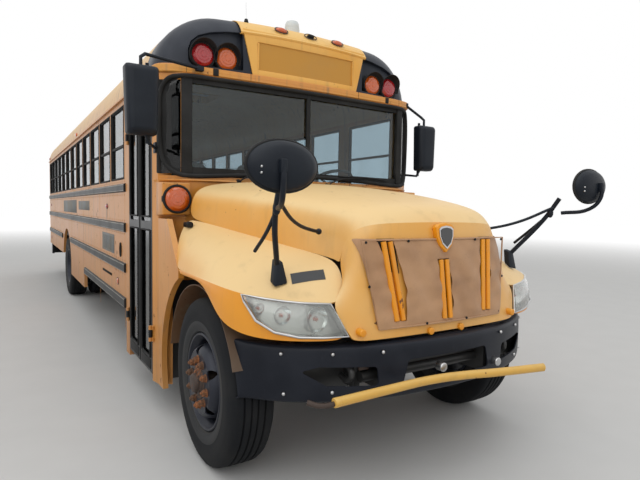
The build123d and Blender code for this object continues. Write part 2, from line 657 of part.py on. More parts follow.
for name, station in HATCH_STATIONS.items():
    with BuildPart() as hatch:
        with Locations((0, at(station), CROWN + CURB_HEIGHT + LID_THICK / 2)):
            Box(2 * LID_HALF, 2 * LID_HALF, LID_THICK)
        with BuildSketch(Plane.XY.offset(CROWN + CURB_HEIGHT + LID_THICK)):
            with Locations((0, at(station))):
                Rectangle(2 * LID_HALF - 80, 2 * LID_HALF - 80)
        extrude(amount=LID_CROWN, taper=45)
        with Locations((0, at(station), CROWN + CURB_HEIGHT)):
            Box(
                2 * (HATCH_HALF - CURB_WALL - LID_CLEARANCE),
                2 * (HATCH_HALF - CURB_WALL - LID_CLEARANCE),
                2 * LID_POCKET,
                mode=Mode.SUBTRACT,
            )
        pivots = [(x, at(station - HATCH_PIVOT_BACK), HATCH_PIVOT_Z) for x in HATCH_HINGE_XS]
        with Locations(*[(x, y + 16, CROWN + CURB_HEIGHT + 6) for x, y, z in pivots]):
            Box(SLEEVE_LENGTH, 40, 12)
        with Locations(*pivots):
            Cylinder(PIN_R + RUNNING_GAP, SLEEVE_LENGTH, rotation=(0, 90, 0), mode=Mode.SUBTRACT)
            add(hinge_sleeve.part, rotation=(0, 90, 0))
    hatch.part.label = f"roof_hatch_{name}"
    export_step(hatch.part, f"parts/roof_hatch_{name}.step")

# Lamps on the body: warning lamps under their visors, clearance lamps on the cap, the strobe and the tail lamps
TAIL_LAMPS = [BODY_HALF - 199, BODY_HALF - 419]
TAIL_Z = FLOOR_TOP + 470
REAR_WARNING_Z = WARNING_Z + 20
MARKER_SIZE = (110, 44)
MARKER_PROUD = 30

with BuildPart() as lamp_lenses:
    with BuildSketch(cross(LAMP_POCKET_BACK)):
        for x in WARNING_LAMPS.values():
            with Locations((-x, WARNING_Z), (x, WARNING_Z)):
                Circle(LENS_R)
    extrude(amount=LENS_DEPTH)
    with BuildSketch(cross(BODY_REAR)):
        for x in WARNING_LAMPS.values():
            with Locations((-x, REAR_WARNING_Z), (x, REAR_WARNING_Z)):
                Circle(LENS_R)
        for x in TAIL_LAMPS:
            with Locations((-x, TAIL_Z), (x, TAIL_Z)):
                Circle(LENS_R)
    extrude(amount=-LENS_DEPTH)
    with BuildSketch(cross(CAP_FRONT + 60)):
        with Locations(*[(x, MARKER_Z) for x in MARKER_XS]):
            Ellipse(MARKER_SIZE[0] / 2, MARKER_SIZE[1] / 2)
    extrude(amount=60 + MARKER_PROUD)
    with Locations((0, at(STROBE_STATION), CROWN + 35 + 55)):
        Cylinder(STROBE_R, 110)
    with BuildSketch(cross(LAMP_POCKET_BACK)):
        for x in WARNING_LAMPS.values():
            with Locations((-x, WARNING_Z), (x, WARNING_Z)):
                Circle(VISOR_R)
                Circle(VISOR_R - VISOR_SHEET, mode=Mode.SUBTRACT)
        with Locations((0, WARNING_Z - VISOR_R)):
            Rectangle(2 * BODY_HALF, 2 * VISOR_R, mode=Mode.SUBTRACT)
    extrude(amount=LAMP_POCKET_BACK - VISOR_STATION)
    add(front_cap.part, mode=Mode.SUBTRACT)
lamp_lenses.part.label = "lamp_lenses"
export_step(lamp_lenses.part, "parts/lamp_lenses.step")

# Blank sign boards over the windshield and the emergency door
SIGN_TOP_HALF = BODY_HALF - 634
SIGN_FOOT_HALF = SIGN_TOP_HALF - 85
SIGN_TOP = EAVES + 420
SIGN_FOOT = EAVES + 55
SIGN_PROUD = 18
SIGN_FRAME = 40
REAR_SIGN = (1040, 260)

with BuildPart() as sign_boards:
    with BuildSketch(cross(CAP_FRONT + 60)):
        with BuildLine():
            Polyline(
                (-SIGN_TOP_HALF, SIGN_TOP),
                (SIGN_TOP_HALF, SIGN_TOP),
                (SIGN_FOOT_HALF, SIGN_FOOT),
                (-SIGN_FOOT_HALF, SIGN_FOOT),
                close=True,
            )
        make_face()
    extrude(amount=60 + SIGN_PROUD)
    with BuildSketch(cross(CAP_FRONT - SIGN_PROUD)):
        with Locations((0, (SIGN_TOP + SIGN_FOOT) / 2)):
            RectangleRounded(2 * (SIGN_FOOT_HALF - SIGN_FRAME), SIGN_TOP - SIGN_FOOT - 3 * SIGN_FRAME, 30)
    extrude(amount=-8, mode=Mode.SUBTRACT)
    with BuildSketch(cross(BODY_REAR)):
        with Locations((0, EAVES + 180)):
            RectangleRounded(*REAR_SIGN, 30)
    extrude(amount=-20)
    add(front_cap.part, mode=Mode.SUBTRACT)
sign_boards.part.label = "sign_boards"
export_step(sign_boards.part, "parts/sign_boards.step")

# Tilting hood: ruled loft through half sections, measured inward from the fender's crease.
HOOD_HALF = BODY_HALF - 19
HOOD_REAR = COWL_SHOULDER[0]
HOOD_SKIN = 25
HOOD_GAP = 8
FENDER_BOTTOM = 920
HOOD_SECTIONS = [
    {"station": HOOD_REAR, "crease_z": 1185, "flank": (45, 1365), "crest": (120, 1470), "seam": (170, 1512),
     "shoulder": (188, 1680), "edge": (295, 1765), "ridge_z": 1810},
    {"station": 0, "crease_z": 1180, "flank": (50, 1285), "crest": (190, 1378), "seam": (380, 1419),
     "shoulder": (393, 1625), "edge": (495, 1706), "ridge_z": 1752},
    {"station": -400, "crease_z": 1172, "flank": (80, 1230), "crest": (245, 1305), "seam": (515, 1357),
     "shoulder": (530, 1575), "edge": (620, 1657), "ridge_z": 1700},
    {"station": -700, "crease_z": 1120, "flank": (190, 1140), "crest": (370, 1180), "seam": (590, 1250),
     "shoulder": (610, 1520), "edge": (690, 1605), "ridge_z": 1645},
    {"station": -960, "crease_z": 990, "flank": (260, 1000), "crest": (420, 1020), "seam": (590, 1060),
     "shoulder": (625, 1320), "edge": (720, 1400), "ridge_z": 1425},
]
NOSE_LEAN = (0, 0.11, 1)
NOSE_ROWS = [
    {"in": HOOD_HALF, "station": -915, "share_x": 0, "share_y": 1},
    {"in": 552, "station": -880, "share_x": 0.1, "share_y": 1},
    {"in": 300, "station": -795, "share_x": 0.4, "share_y": 0.9},
    {"in": 90, "station": -610, "share_x": 0.75, "share_y": 0.65},
    {"in": 0, "station": -310, "share_x": 1, "share_y": 0.1},
]
HOOD_FRONT_Z = 905


def nose_line(inset):
    """Points of the nose in plan from the middle outward, moved inward by inset."""
    return [
        (HOOD_HALF - row["in"] - row["share_x"] * inset, row["station"] + row["share_y"] * inset)
        for row in NOSE_ROWS
    ]


def nose_face(inset):
    """Plan of the hood, round at the nose and open wide at the back."""
    middle, front, corner, cheek, flank = nose_line(inset)
    with BuildSketch(plan(HOOD_FRONT_Z)) as face:
        with BuildLine():
            ThreePointArc(mirrored(front), middle, front)
            ThreePointArc(front, corner, cheek)
            Line(cheek, flank)
            Polyline(flank, (flank[0], HOOD_REAR + 100), (-flank[0], HOOD_REAR + 100), mirrored(flank))
            Line(mirrored(flank), mirrored(cheek))
            ThreePointArc(mirrored(cheek), mirrored(corner), mirrored(front))
        make_face()
    return face.sketch


def hood_line(row, inset):
    """Half points of one section of the hood from its foot to its ridge, moved inward by inset."""
    crease, ridge = HOOD_HALF - inset, row["ridge_z"] - inset
    flank, crest, seam, shoulder, edge = (row[key] for key in ("flank", "crest", "seam", "shoulder", "edge"))
    return [
        (crease, FENDER_BOTTOM - 200),
        (crease, row["crease_z"] - inset / 3),
        (HOOD_HALF - flank[0] - inset * 0.8, flank[1] - inset * 0.6),
        (HOOD_HALF - crest[0] - inset * 0.5, crest[1] - inset * 0.85),
        (HOOD_HALF - seam[0] - inset, seam[1] - inset),
        (HOOD_HALF - shoulder[0] - inset, shoulder[1] - inset / 2),
        (HOOD_HALF - edge[0] - inset / 2, edge[1] - inset),
        (0, ridge),
    ]


def hood_solid(inset):
    """Solid under the hood's skin at the depth inset."""
    with BuildPart() as body:
        for row in HOOD_SECTIONS:
            with BuildSketch(cross(row["station"])):
                with BuildLine():
                    half = hood_line(row, inset)
                    Polyline(*half, *[mirrored(p) for p in half[-2::-1]], close=True)
                make_face()
        loft(ruled=True)
        add(nose_faces[inset])
        extrude(amount=1000, dir=NOSE_LEAN, both=True, mode=Mode.INTERSECT)
    return body.part


nose_faces = {inset: nose_face(inset) for inset in (0, HOOD_SKIN)}
hood_outer = hood_solid(0)
hood_inner = hood_solid(HOOD_SKIN)

# The hood tips forward on two feet under the grille.
HOOD_PIVOT = (-930, 905)
HOOD_HINGE_X = 122
ARCH_R = 650
ARCH_CENTRE = (20, 500)
GRILLE_TOP_HALF = HOOD_HALF - 650
GRILLE_FOOT_HALF = GRILLE_TOP_HALF - 80
GRILLE_TOP = 1425
GRILLE_FOOT = 975
GRILLE_BARS = 12
GRILLE_BAR = 30
LAMP_INNER = HOOD_HALF - 462
LAMP_OUTER = HOOD_HALF - 62
LAMP_FOOT_INNER = HOOD_HALF - 532

with BuildSketch() as lamp_outline:
    with BuildLine():
        Polyline((LAMP_FOOT_INNER + 132, 938), (LAMP_FOOT_INNER, 938), (LAMP_INNER, 1104), (LAMP_OUTER, 1138))
        ThreePointArc((LAMP_OUTER, 1138), (LAMP_OUTER - 98, 975), (LAMP_FOOT_INNER + 132, 938))
    make_face()

with BuildPart() as hood_shell:
    add(hood_outer)
    add(hood_inner, mode=Mode.SUBTRACT)
    with BuildSketch(side(-HOOD_HALF - 100)):
        with BuildLine():
            Polyline(
                (HOOD_REAR + 100, COWL_SHOULDER[1] + 10),
                (HOOD_REAR - HOOD_GAP / 2, COWL_SHOULDER[1] + 10),
                (COWL_SIDE_FRONT - HOOD_GAP, COWL_LOW_SHOULDER),
                (COWL_SIDE_FRONT - HOOD_GAP, FENDER_BOTTOM - 300),
                (HOOD_REAR + 100, FENDER_BOTTOM - 300),
                close=True,
            )
        make_face()
        with Locations(ARCH_CENTRE):
            Circle(ARCH_R)
        with Locations((-400, FENDER_BOTTOM - 200)):
            Rectangle(1600, 400)
    extrude(amount=2 * HOOD_HALF + 200, mode=Mode.SUBTRACT)
    with BuildSketch(cross(-700)):
        for i in range(GRILLE_BARS + 1):
            left, right = i / (GRILLE_BARS + 1), (i + 1) / (GRILLE_BARS + 1)
            with BuildLine():
                Polyline(
                    ((2 * left - 1) * GRILLE_TOP_HALF + GRILLE_BAR / 2, GRILLE_TOP),
                    ((2 * right - 1) * GRILLE_TOP_HALF - GRILLE_BAR / 2, GRILLE_TOP),
                    ((2 * right - 1) * GRILLE_FOOT_HALF - GRILLE_BAR / 2, GRILLE_FOOT),
                    ((2 * left - 1) * GRILLE_FOOT_HALF + GRILLE_BAR / 2, GRILLE_FOOT),
                    close=True,
                )
            make_face()
    extrude(amount=400, mode=Mode.SUBTRACT)
    with BuildSketch(cross(-400)):
        add(lamp_outline.sketch)
        mirror(lamp_outline.sketch, about=Plane.YZ)
    extrude(amount=700, mode=Mode.SUBTRACT)
    for x in (-HOOD_HINGE_X, HOOD_HINGE_X):
        with Locations((x, at(HOOD_PIVOT[0] + KNUCKLE_R), HOOD_PIVOT[1] + 22)):
            Box(SLEEVE_LENGTH, 2 * KNUCKLE_R, 44)
        with Locations((x, at(HOOD_PIVOT[0]), HOOD_PIVOT[1])):
            Cylinder(PIN_R + RUNNING_GAP, SLEEVE_LENGTH, rotation=(0, 90, 0), mode=Mode.SUBTRACT)
            add(hinge_sleeve.part, rotation=(0, 90, 0))
hood_shell.part.label = "hood_shell"
export_step(hood_shell.part, "parts/hood_shell.step")

# Winter cover stretched over the grille, with three slots; slot places are at its top and foot
COVER_THICK = 8
COVER_TOP_HALF = HOOD_HALF - 623
COVER_FOOT_HALF = HOOD_HALF - 711
COVER_TOP = 1443
COVER_FOOT = 954
SLOT_HALF = 48
COVER_SLOTS = [
    {"top": (-414, 1432), "foot": (-346, 993)},
    {"top": (-8, 1322), "foot": (4, 976)},
    {"top": (374, 1432), "foot": (346, 993)},
]

cover_faces = {inset: nose_face(inset) for inset in (-SEAT_GAP, -SEAT_GAP - COVER_THICK)}
with BuildPart() as grille_cover:
    add(cover_faces[-SEAT_GAP - COVER_THICK])
    extrude(amount=700, dir=NOSE_LEAN)
    add(cover_faces[-SEAT_GAP])
    extrude(amount=700, dir=NOSE_LEAN, mode=Mode.SUBTRACT)
    with BuildSketch(cross(-700)):
        with BuildLine():
            Polyline(
                (-COVER_TOP_HALF, COVER_TOP),
                (COVER_TOP_HALF, COVER_TOP),
                (COVER_FOOT_HALF, COVER_FOOT),
                (-COVER_FOOT_HALF, COVER_FOOT),
                close=True,
            )
        make_face()
        for slot in COVER_SLOTS:
            (top_x, top_z), (foot_x, foot_z) = slot["top"], slot["foot"]
            with BuildSketch(mode=Mode.SUBTRACT):
                with BuildLine():
                    Polyline(
                        (top_x - SLOT_HALF, top_z),
                        (top_x + SLOT_HALF, top_z),
                        (foot_x + SLOT_HALF, foot_z),
                        (foot_x - SLOT_HALF, foot_z),
                        close=True,
                    )
                make_face()
    extrude(amount=400, mode=Mode.INTERSECT)
grille_cover.part.label = "grille_cover"
export_step(grille_cover.part, "parts/grille_cover.step")

# Headlights that fill their openings and follow the fender
with BuildPart() as headlights:
    add(hood_outer)
    add(hood_inner, mode=Mode.SUBTRACT)
    with BuildSketch(cross(-400)):
        with BuildSketch() as lamp_inside:
            offset(lamp_outline.sketch, amount=-SEAT_GAP)
        mirror(lamp_inside.sketch, about=Plane.YZ)
    extrude(amount=700, mode=Mode.INTERSECT)
headlights.part.label = "headlights"
export_step(headlights.part, "parts/headlights.step")

# Cross-view mirrors on tube arms that stand on the fenders
CROSS_MIRROR = (HOOD_HALF - 40, -1033, 1781)
CROSS_RADII = (222, 146)
CROSS_BACK_RADII = (150, 88)
CROSS_RIM = 20
CROSS_DEPTH = 62
CROSS_ARMS = [
    {"radius": 13, "line": [(1150, -1020, 1740), (1145, -1000, 1630), (1050, -800, 1550)]},
    {"radius": 15, "line": [(1090, -890, 1700), (1065, -800, 1560), (955, -590, 1180)]},
    {"radius": 10, "line": [(1060, -830, 1590), (1060, -700, 1480), (1060, -560, 1230)]},
    {"radius": 10, "line": [(1080, -860, 1640), (900, -700, 1530), (665, -560, 1300)]},
]
ARM_SIDES = 8
ARM_BEND_R = 40

with BuildPart() as crossview_mirrors:
    for sign in (-1, 1):
        with BuildSketch(cross(CROSS_MIRROR[1])):
            with Locations((sign * CROSS_MIRROR[0], CROSS_MIRROR[2])):
                Ellipse(*CROSS_RADII)
        extrude(amount=CROSS_RIM)
        with BuildSketch(cross(CROSS_MIRROR[1])):
            with Locations((sign * CROSS_MIRROR[0], CROSS_MIRROR[2])):
                Ellipse(*CROSS_RADII)
        with BuildSketch(cross(CROSS_MIRROR[1] + CROSS_DEPTH)):
            with Locations((sign * CROSS_MIRROR[0], CROSS_MIRROR[2])):
                Ellipse(*CROSS_BACK_RADII)
        loft()
        for arm in CROSS_ARMS:
            points = [(sign * x, at(station), z) for x, station, z in arm["line"]]
            with BuildLine() as path:
                FilletPolyline(*points, radius=ARM_BEND_R)
            with BuildSketch(Plane(origin=path.line @ 0, z_dir=path.line % 0)):
                RegularPolygon(arm["radius"], ARM_SIDES)
            sweep(path=path.line)
    add(hood_outer, mode=Mode.SUBTRACT)
crossview_mirrors.part.label = "crossview_mirrors"
export_step(crossview_mirrors.part, "parts/crossview_mirrors.step")

# Front bumper, a wrapped channel with lips, cut-outs, the hood's hinge feet and the gate's bracket
BUMPER_TOP = 885
BUMPER_FOOT = 575
BUMPER_SKIN = 10
BUMPER_LIP = 45
BUMPER_ROWS = [
    {"in": HOOD_HALF, "station": -968, "share_x": 0, "share_y": 1},
    {"in": 725, "station": -928, "share_x": 0.15, "share_y": 1},
    {"in": 463, "station": -833, "share_x": 0.45, "share_y": 0.9},
    {"in": 232, "station": -695, "share_x": 0.7, "share_y": 0.7},
    {"in": 125, "station": -575, "share_x": 0.9, "share_y": 0.4},
    {"in": 62, "station": -430, "share_x": 1, "share_y": 0},
]
BUMPER_END = BUMPER_ROWS[-1]["station"]
BUMPER_SLANT = 180
BUMPER_CENTRE_HOLE = (640, 130)
BUMPER_HOLE_Z = 728
BUMPER_SIDE_HOLE = [(490, 660), (760, 672), (870, 745), (800, 768), (500, 762)]
HORN_TOP = 800
HORN_FOOT = 680
CHASSIS_FRONT = -825
RAIL_HALF = 432
RAIL_FLANGE = 76
RAIL_MID = RAIL_HALF - RAIL_FLANGE / 2
GATE_PIVOT = (-1000, -800)
GATE_Z = 700
GATE_PIN_R = 12
GATE_KNUCKLE_R = 25


def bumper_line(inset):
    """Points of the bumper in plan from the middle outward, moved inward by inset."""
    return [
        (HOOD_HALF - row["in"] - row["share_x"] * inset, row["station"] + row["share_y"] * inset)
        for row in BUMPER_ROWS
    ]


def bumper_band(inset):
    """Plan of a band that follows the bumper's face and is inset deep."""
    with BuildSketch() as band:
        with BuildLine():
            for middle, front, turn, corner, cheek, end in (bumper_line(0), bumper_line(inset)):
                ThreePointArc(mirrored(front), middle, front)
                ThreePointArc(front, turn, corner)
                ThreePointArc(corner, cheek, end)
                ThreePointArc(mirrored(front), mirrored(turn), mirrored(corner))
                ThreePointArc(mirrored(corner), mirrored(cheek), mirrored(end))
            Line(bumper_line(0)[-1], bumper_line(inset)[-1])
            Line(mirrored(bumper_line(0)[-1]), mirrored(bumper_line(inset)[-1]))
        make_face()
    return band.sketch


bumper_skin = bumper_band(BUMPER_SKIN)
bumper_lip = bumper_band(BUMPER_LIP)
with BuildPart() as front_bumper:
    with BuildSketch(plan(BUMPER_FOOT)):
        add(bumper_skin)
    extrude(amount=BUMPER_TOP - BUMPER_FOOT)
    for z in (BUMPER_FOOT, BUMPER_TOP - BUMPER_SKIN):
        with BuildSketch(plan(z)):
            add(bumper_lip)
        extrude(amount=BUMPER_SKIN)
    with BuildSketch(side(-BODY_HALF)):
        with BuildLine():
            Polyline(
                (BUMPER_END, BUMPER_TOP),
                (BUMPER_END + 200, BUMPER_TOP),
                (BUMPER_END + 200, BUMPER_FOOT),
                (BUMPER_END - BUMPER_SLANT, BUMPER_FOOT),
                close=True,
            )
        make_face()
    extrude(amount=2 * BODY_HALF, mode=Mode.SUBTRACT)
    with BuildSketch(cross(BUMPER_END - 100)):
        with Locations((0, BUMPER_HOLE_Z)):
            RectangleRounded(*BUMPER_CENTRE_HOLE, 30)
        for way in (1, -1):
            with BuildLine():
                Polyline(*[(way * x, z) for x, z in BUMPER_SIDE_HOLE], close=True)
            make_face()
    extrude(amount=600, mode=Mode.SUBTRACT)
    for sign in (-1, 1):
        with Locations((sign * RAIL_MID, at((CHASSIS_FRONT - 932) / 2), (HORN_TOP + HORN_FOOT) / 2)):
            Box(RAIL_FLANGE, 932 + CHASSIS_FRONT, HORN_TOP - HORN_FOOT)
        with Locations((sign * HOOD_HINGE_X, at(HOOD_PIVOT[0]), HOOD_PIVOT[1])):
            add(hinge_pin.part, rotation=(0, 90, 0))
        for way in (-1, 1):
            with Locations((sign * HOOD_HINGE_X + way * KNUCKLE_REACH, at(-942), HOOD_PIVOT[1] - 65)):
                Box(KNUCKLE_LENGTH, 48, 120)
    with Locations((GATE_PIVOT[0], at(GATE_PIVOT[1]), GATE_Z)):
        Cylinder(GATE_PIN_R, 2 * KNUCKLE_REACH)
    for way in (-1, 1):
        with Locations((GATE_PIVOT[0], at(GATE_PIVOT[1]), GATE_Z + way * KNUCKLE_REACH)):
            Cylinder(GATE_KNUCKLE_R, KNUCKLE_LENGTH)
        with Locations((GATE_PIVOT[0], at(GATE_PIVOT[1] + 70), GATE_Z + way * KNUCKLE_REACH)):
            Box(2 * GATE_KNUCKLE_R - 4, 140, KNUCKLE_LENGTH)
front_bumper.part.label = "front_bumper"
export_step(front_bumper.part, "parts/front_bumper.step")

# Crossing gate: a bent yellow tube on a hinged rod
GATE_R = 22
GATE_ROD_R = 13
GATE_BEND_R = 60
GATE_ROD = [(-1000, -818), (-1000, -1030), (-860, -1066)]
GATE_TUBE = [(-875, -1066), (-250, -1050), (180, -1140), (513, -1215)]

with BuildPart() as crossing_gate:
    for radius, line in ((GATE_ROD_R, GATE_ROD), (GATE_R, GATE_TUBE)):
        points = [(x, at(station), GATE_Z) for x, station in line]
        with BuildLine() as path:
            FilletPolyline(*points, radius=GATE_BEND_R)
        with BuildSketch(Plane(origin=path.line @ 0, z_dir=path.line % 0)):
            Circle(radius)
        sweep(path=path.line)
    with Locations((GATE_PIVOT[0], at(GATE_PIVOT[1]), GATE_Z)):
        Cylinder(GATE_KNUCKLE_R, SLEEVE_LENGTH)
        Cylinder(GATE_PIN_R + RUNNING_GAP, SLEEVE_LENGTH, mode=Mode.SUBTRACT)
crossing_gate.part.label = "crossing_gate"
export_step(crossing_gate.part, "parts/crossing_gate.step")

# Rear bumper with its returns, its horns on the frame rails and a tow eye under each rail
REAR_BUMPER_HALF = BODY_HALF - 29
REAR_BUMPER_Z = 565
REAR_BUMPER_HEIGHT = 240
REAR_BUMPER_SHEET = 40
REAR_BUMPER_FACE = BODY_REAR + 100
REAR_RETURN = 240
CHASSIS_REAR = BODY_REAR - 50
TOW_EYE_R = 22
TOW_EYE_PLATE = (150, 120, 25)
TOW_EYE_STATION = REAR_BUMPER_FACE - 150
TOW_EYE_Z = REAR_BUMPER_Z - 60

with BuildPart() as rear_bumper:
    with BuildSketch(plan(REAR_BUMPER_Z - REAR_BUMPER_HEIGHT / 2)):
        with Locations((0, REAR_BUMPER_FACE - REAR_RETURN / 2)):
            Rectangle(2 * REAR_BUMPER_HALF, REAR_RETURN)
    extrude(amount=REAR_BUMPER_HEIGHT)
    fillet(rear_bumper.edges().filter_by(Axis.Z).group_by(Axis.Y)[-1], 60)
    with Locations((0, at(REAR_BUMPER_FACE - REAR_BUMPER_SHEET - REAR_RETURN / 2), REAR_BUMPER_Z)):
        Box(2 * (REAR_BUMPER_HALF - REAR_BUMPER_SHEET), REAR_RETURN, REAR_BUMPER_HEIGHT, mode=Mode.SUBTRACT)
    for x in (-RAIL_MID, RAIL_MID):
        with Locations((x, at((CHASSIS_REAR + REAR_BUMPER_FACE) / 2 - 10), REAR_BUMPER_Z + 65)):
            Box(RAIL_FLANGE, REAR_BUMPER_FACE - CHASSIS_REAR - 20, 80)
        with BuildSketch(side(x - TOW_EYE_PLATE[2] / 2)):
            with Locations((TOW_EYE_STATION, (TOW_EYE_Z + REAR_BUMPER_Z + 25) / 2)):
                Rectangle(TOW_EYE_PLATE[0], TOW_EYE_PLATE[1])
            with Locations((TOW_EYE_STATION, TOW_EYE_Z)):
                Circle(TOW_EYE_R, mode=Mode.SUBTRACT)
        extrude(amount=TOW_EYE_PLATE[2])
rear_bumper.part.label = "rear_bumper"
export_step(rear_bumper.part, "parts/rear_bumper.step")

# Stop arm, an octagon on a hinge
STOP_R = 228
STOP_REACH = 340
STOP_SHEET = 8

with BuildPart() as stop_arm:
    with BuildSketch(side(STOP_PIVOT[0] - STOP_SHEET / 2)):
        with Locations((STOP_PIVOT[1] + STOP_REACH, STOP_Z)):
            RegularPolygon(STOP_R, 8, major_radius=False, rotation=22.5)
        with Locations((STOP_PIVOT[1] + 70, STOP_Z)):
            Rectangle(120, SLEEVE_LENGTH)
    extrude(amount=STOP_SHEET)
    with Locations((STOP_PIVOT[0], at(STOP_PIVOT[1]), STOP_Z)):
        Cylinder(KNUCKLE_R, SLEEVE_LENGTH)
        Cylinder(PIN_R + RUNNING_GAP, SLEEVE_LENGTH, mode=Mode.SUBTRACT)
stop_arm.part.label = "stop_arm"
export_step(stop_arm.part, "parts/stop_arm.step")

# Long mirrors: a rounded head on two bent arms, one to the cap's foot and one to the post
MIRROR_DEPTH = 95
MIRROR_ARM_R = 12
MIRRORS = [
    {"side": -1, "x": BODY_HALF + 181, "station": 500, "z": EAVES - 290, "half": (108, 225)},
    {"side": 1, "x": BODY_HALF + 81, "station": 700, "z": EAVES - 380, "half": (100, 215)},
]

with BuildPart() as side_mirrors:
    for row in MIRRORS:
        x, station, z = row["side"] * row["x"], row["station"], row["z"]
        half_width, half_height = row["half"]
        with BuildSketch(cross(station + MIRROR_DEPTH / 2)):
            with Locations((x, z)):
                RectangleRounded(2 * half_width, 2 * half_height, 45)
        extrude(amount=MIRROR_DEPTH, taper=8)
        head_arms = [
            [(x, station, z + half_height - 10), (x, station, z + half_height + 55),
             (row["side"] * (BODY_HALF - 170), CAP_FRONT + 110, EAVES + 40)],
            [(x - row["side"] * 30, station, z - half_height + 10),
             (x - row["side"] * 30, station + 40, z - half_height - 50),
             (row["side"] * (BODY_HALF - 30), CORNER_STATION + 10, z - half_height - 30)],
        ]
        for arm in head_arms:
            points = [(px, at(py), pz) for px, py, pz in arm]
            with BuildLine() as path:
                FilletPolyline(*points, radius=25)
            with BuildSketch(Plane(origin=path.line @ 0, z_dir=path.line % 0)):
                RegularPolygon(MIRROR_ARM_R, ARM_SIDES)
            sweep(path=path.line)
    add(front_frame.part, mode=Mode.SUBTRACT)
    add(front_cap.part, mode=Mode.SUBTRACT)
side_mirrors.part.label = "side_mirrors"
export_step(side_mirrors.part, "parts/side_mirrors.step")

# Frame: two channel rails and their crossmembers, placed from the axles, with a mud flap behind each rear wheel
RAIL_HEIGHT = 254
RAIL_WEB = 10
RAIL_BOTTOM = RAIL_TOP - RAIL_HEIGHT
FLAP_BOTTOM = 260
FLAP_END = BODY_HALF - 59
FLAP_THICK = 12
FLAP_STATION = WHEELBASE + REAR_ARCH_R + 30
CROSSMEMBERS = [CHASSIS_FRONT + 45, 1300, 2600, 4300, WHEELBASE - 1110, WHEELBASE + 1290, CHASSIS_REAR - 170]

with BuildPart() as chassis_frame:
    for sign in (-1, 1):
        web, lip = sign * RAIL_HALF, sign * (RAIL_HALF - RAIL_FLANGE)
        inner = sign * (RAIL_HALF - RAIL_WEB)
        with BuildSketch(cross(CHASSIS_FRONT)):
            with BuildLine():
                Polyline(
                    (web, RAIL_BOTTOM),
                    (web, RAIL_TOP),
                    (lip, RAIL_TOP),
                    (lip, RAIL_TOP - RAIL_WEB),
                    (inner, RAIL_TOP - RAIL_WEB),
                    (inner, RAIL_BOTTOM + RAIL_WEB),
                    (lip, RAIL_BOTTOM + RAIL_WEB),
                    (lip, RAIL_BOTTOM),
                    close=True,
                )
            make_face()
        extrude(amount=-(CHASSIS_REAR - CHASSIS_FRONT))
    for station in CROSSMEMBERS:
        with Locations((0, at(station), RAIL_BOTTOM + 60)):
            Box(2 * (RAIL_HALF - RAIL_WEB), 90, 100)
    for x in (-(RAIL_HALF + FLAP_END) / 2, (RAIL_HALF + FLAP_END) / 2):
        with Locations((x, at(FLAP_STATION), (FLAP_BOTTOM + RAIL_TOP) / 2)):
            Box(FLAP_END - RAIL_HALF, FLAP_THICK, RAIL_TOP - FLAP_BOTTOM)
chassis_frame.part.label = "chassis_frame"
export_step(chassis_frame.part, "parts/chassis_frame.step")

# Leaf springs, bowed under load, each with stacked shorter leaves and a hanger at each end
SPRING_X = 390
SPRING_WIDTH = 76
LEAF_THICKNESS = 17
SPRING_LEAVES = 3
SPRING_SEAT = AXLE_Z + 70 + SEAT_GAP
HANGER = (60, 60)
SPRINGS = [{"station": 0, "length": 1300}, {"station": WHEELBASE, "length": 1500}]

with BuildPart() as leaf_springs:
    for row in SPRINGS:
        for sign in (-1, 1):
            with BuildSketch(side(sign * SPRING_X - SPRING_WIDTH / 2)):
                for i in range(SPRING_LEAVES):
                    length = row["length"] * (1 - 0.25 * i)
                    leaf_z = SPRING_SEAT + LEAF_THICKNESS * (SPRING_LEAVES - i - 0.5)
                    with Locations((row["station"], leaf_z)):
                        Rectangle(length, LEAF_THICKNESS)
                for end in (-1, 1):
                    eye = row["station"] + end * (row["length"] / 2 - HANGER[0] / 2)
                    with Locations((eye, (SPRING_SEAT + RAIL_BOTTOM - SEAT_GAP) / 2 + 20)):
                        Rectangle(HANGER[0], RAIL_BOTTOM - SEAT_GAP - SPRING_SEAT - 40)
            extrude(amount=SPRING_WIDTH)
leaf_springs.part.label = "leaf_springs"
export_step(leaf_springs.part, "parts/leaf_springs.step")

# Front axle beam between the kingpin eyes
EYE_HALF = 65
EYE_R = 45
KINGPIN_R = 20
BEAM_END = KINGPIN_X - 90

with BuildPart() as front_axle:
    with BuildSketch(cross(-50)):
        with BuildLine():
            Polyline(
                (-BEAM_END, AXLE_Z - 20),
                (-BEAM_END + 130, AXLE_Z - 20),
                (-SPRING_X - 130, AXLE_Z - 60),
                (SPRING_X + 130, AXLE_Z - 60),
                (BEAM_END - 130, AXLE_Z - 20),
                (BEAM_END, AXLE_Z - 20),
                (BEAM_END, AXLE_Z + 50),
                (SPRING_X + 60, AXLE_Z + 70),
                (SPRING_X - 60, AXLE_Z + 70),
                (SPRING_X - 160, AXLE_Z + 20),
                (160 - SPRING_X, AXLE_Z + 20),
                (60 - SPRING_X, AXLE_Z + 70),
                (-SPRING_X - 60, AXLE_Z + 70),
                (-BEAM_END, AXLE_Z + 50),
                close=True,
            )
        make_face()
    extrude(amount=-100)
    for sign in (-1, 1):
        with Locations((sign * (KINGPIN_X - 65), at(0), AXLE_Z + 10)):
            Box(90, 80, 80)
        with Locations((sign * KINGPIN_X, at(0), AXLE_Z)):
            Cylinder(EYE_R, 2 * EYE_HALF)
            Cylinder(KINGPIN_R + RUNNING_GAP, 2 * EYE_HALF, mode=Mode.SUBTRACT)
front_axle.part.label = "front_axle"
export_step(front_axle.part, "parts/front_axle.step")

# Steering knuckles: a fork over the eye, the kingpin and the spindle
FORK_PLATE = 30
FORK_Z = EYE_HALF + SEAT_GAP + FORK_PLATE / 2
SPINDLE_START = KINGPIN_X + 75
SPINDLE_LENGTH = 100

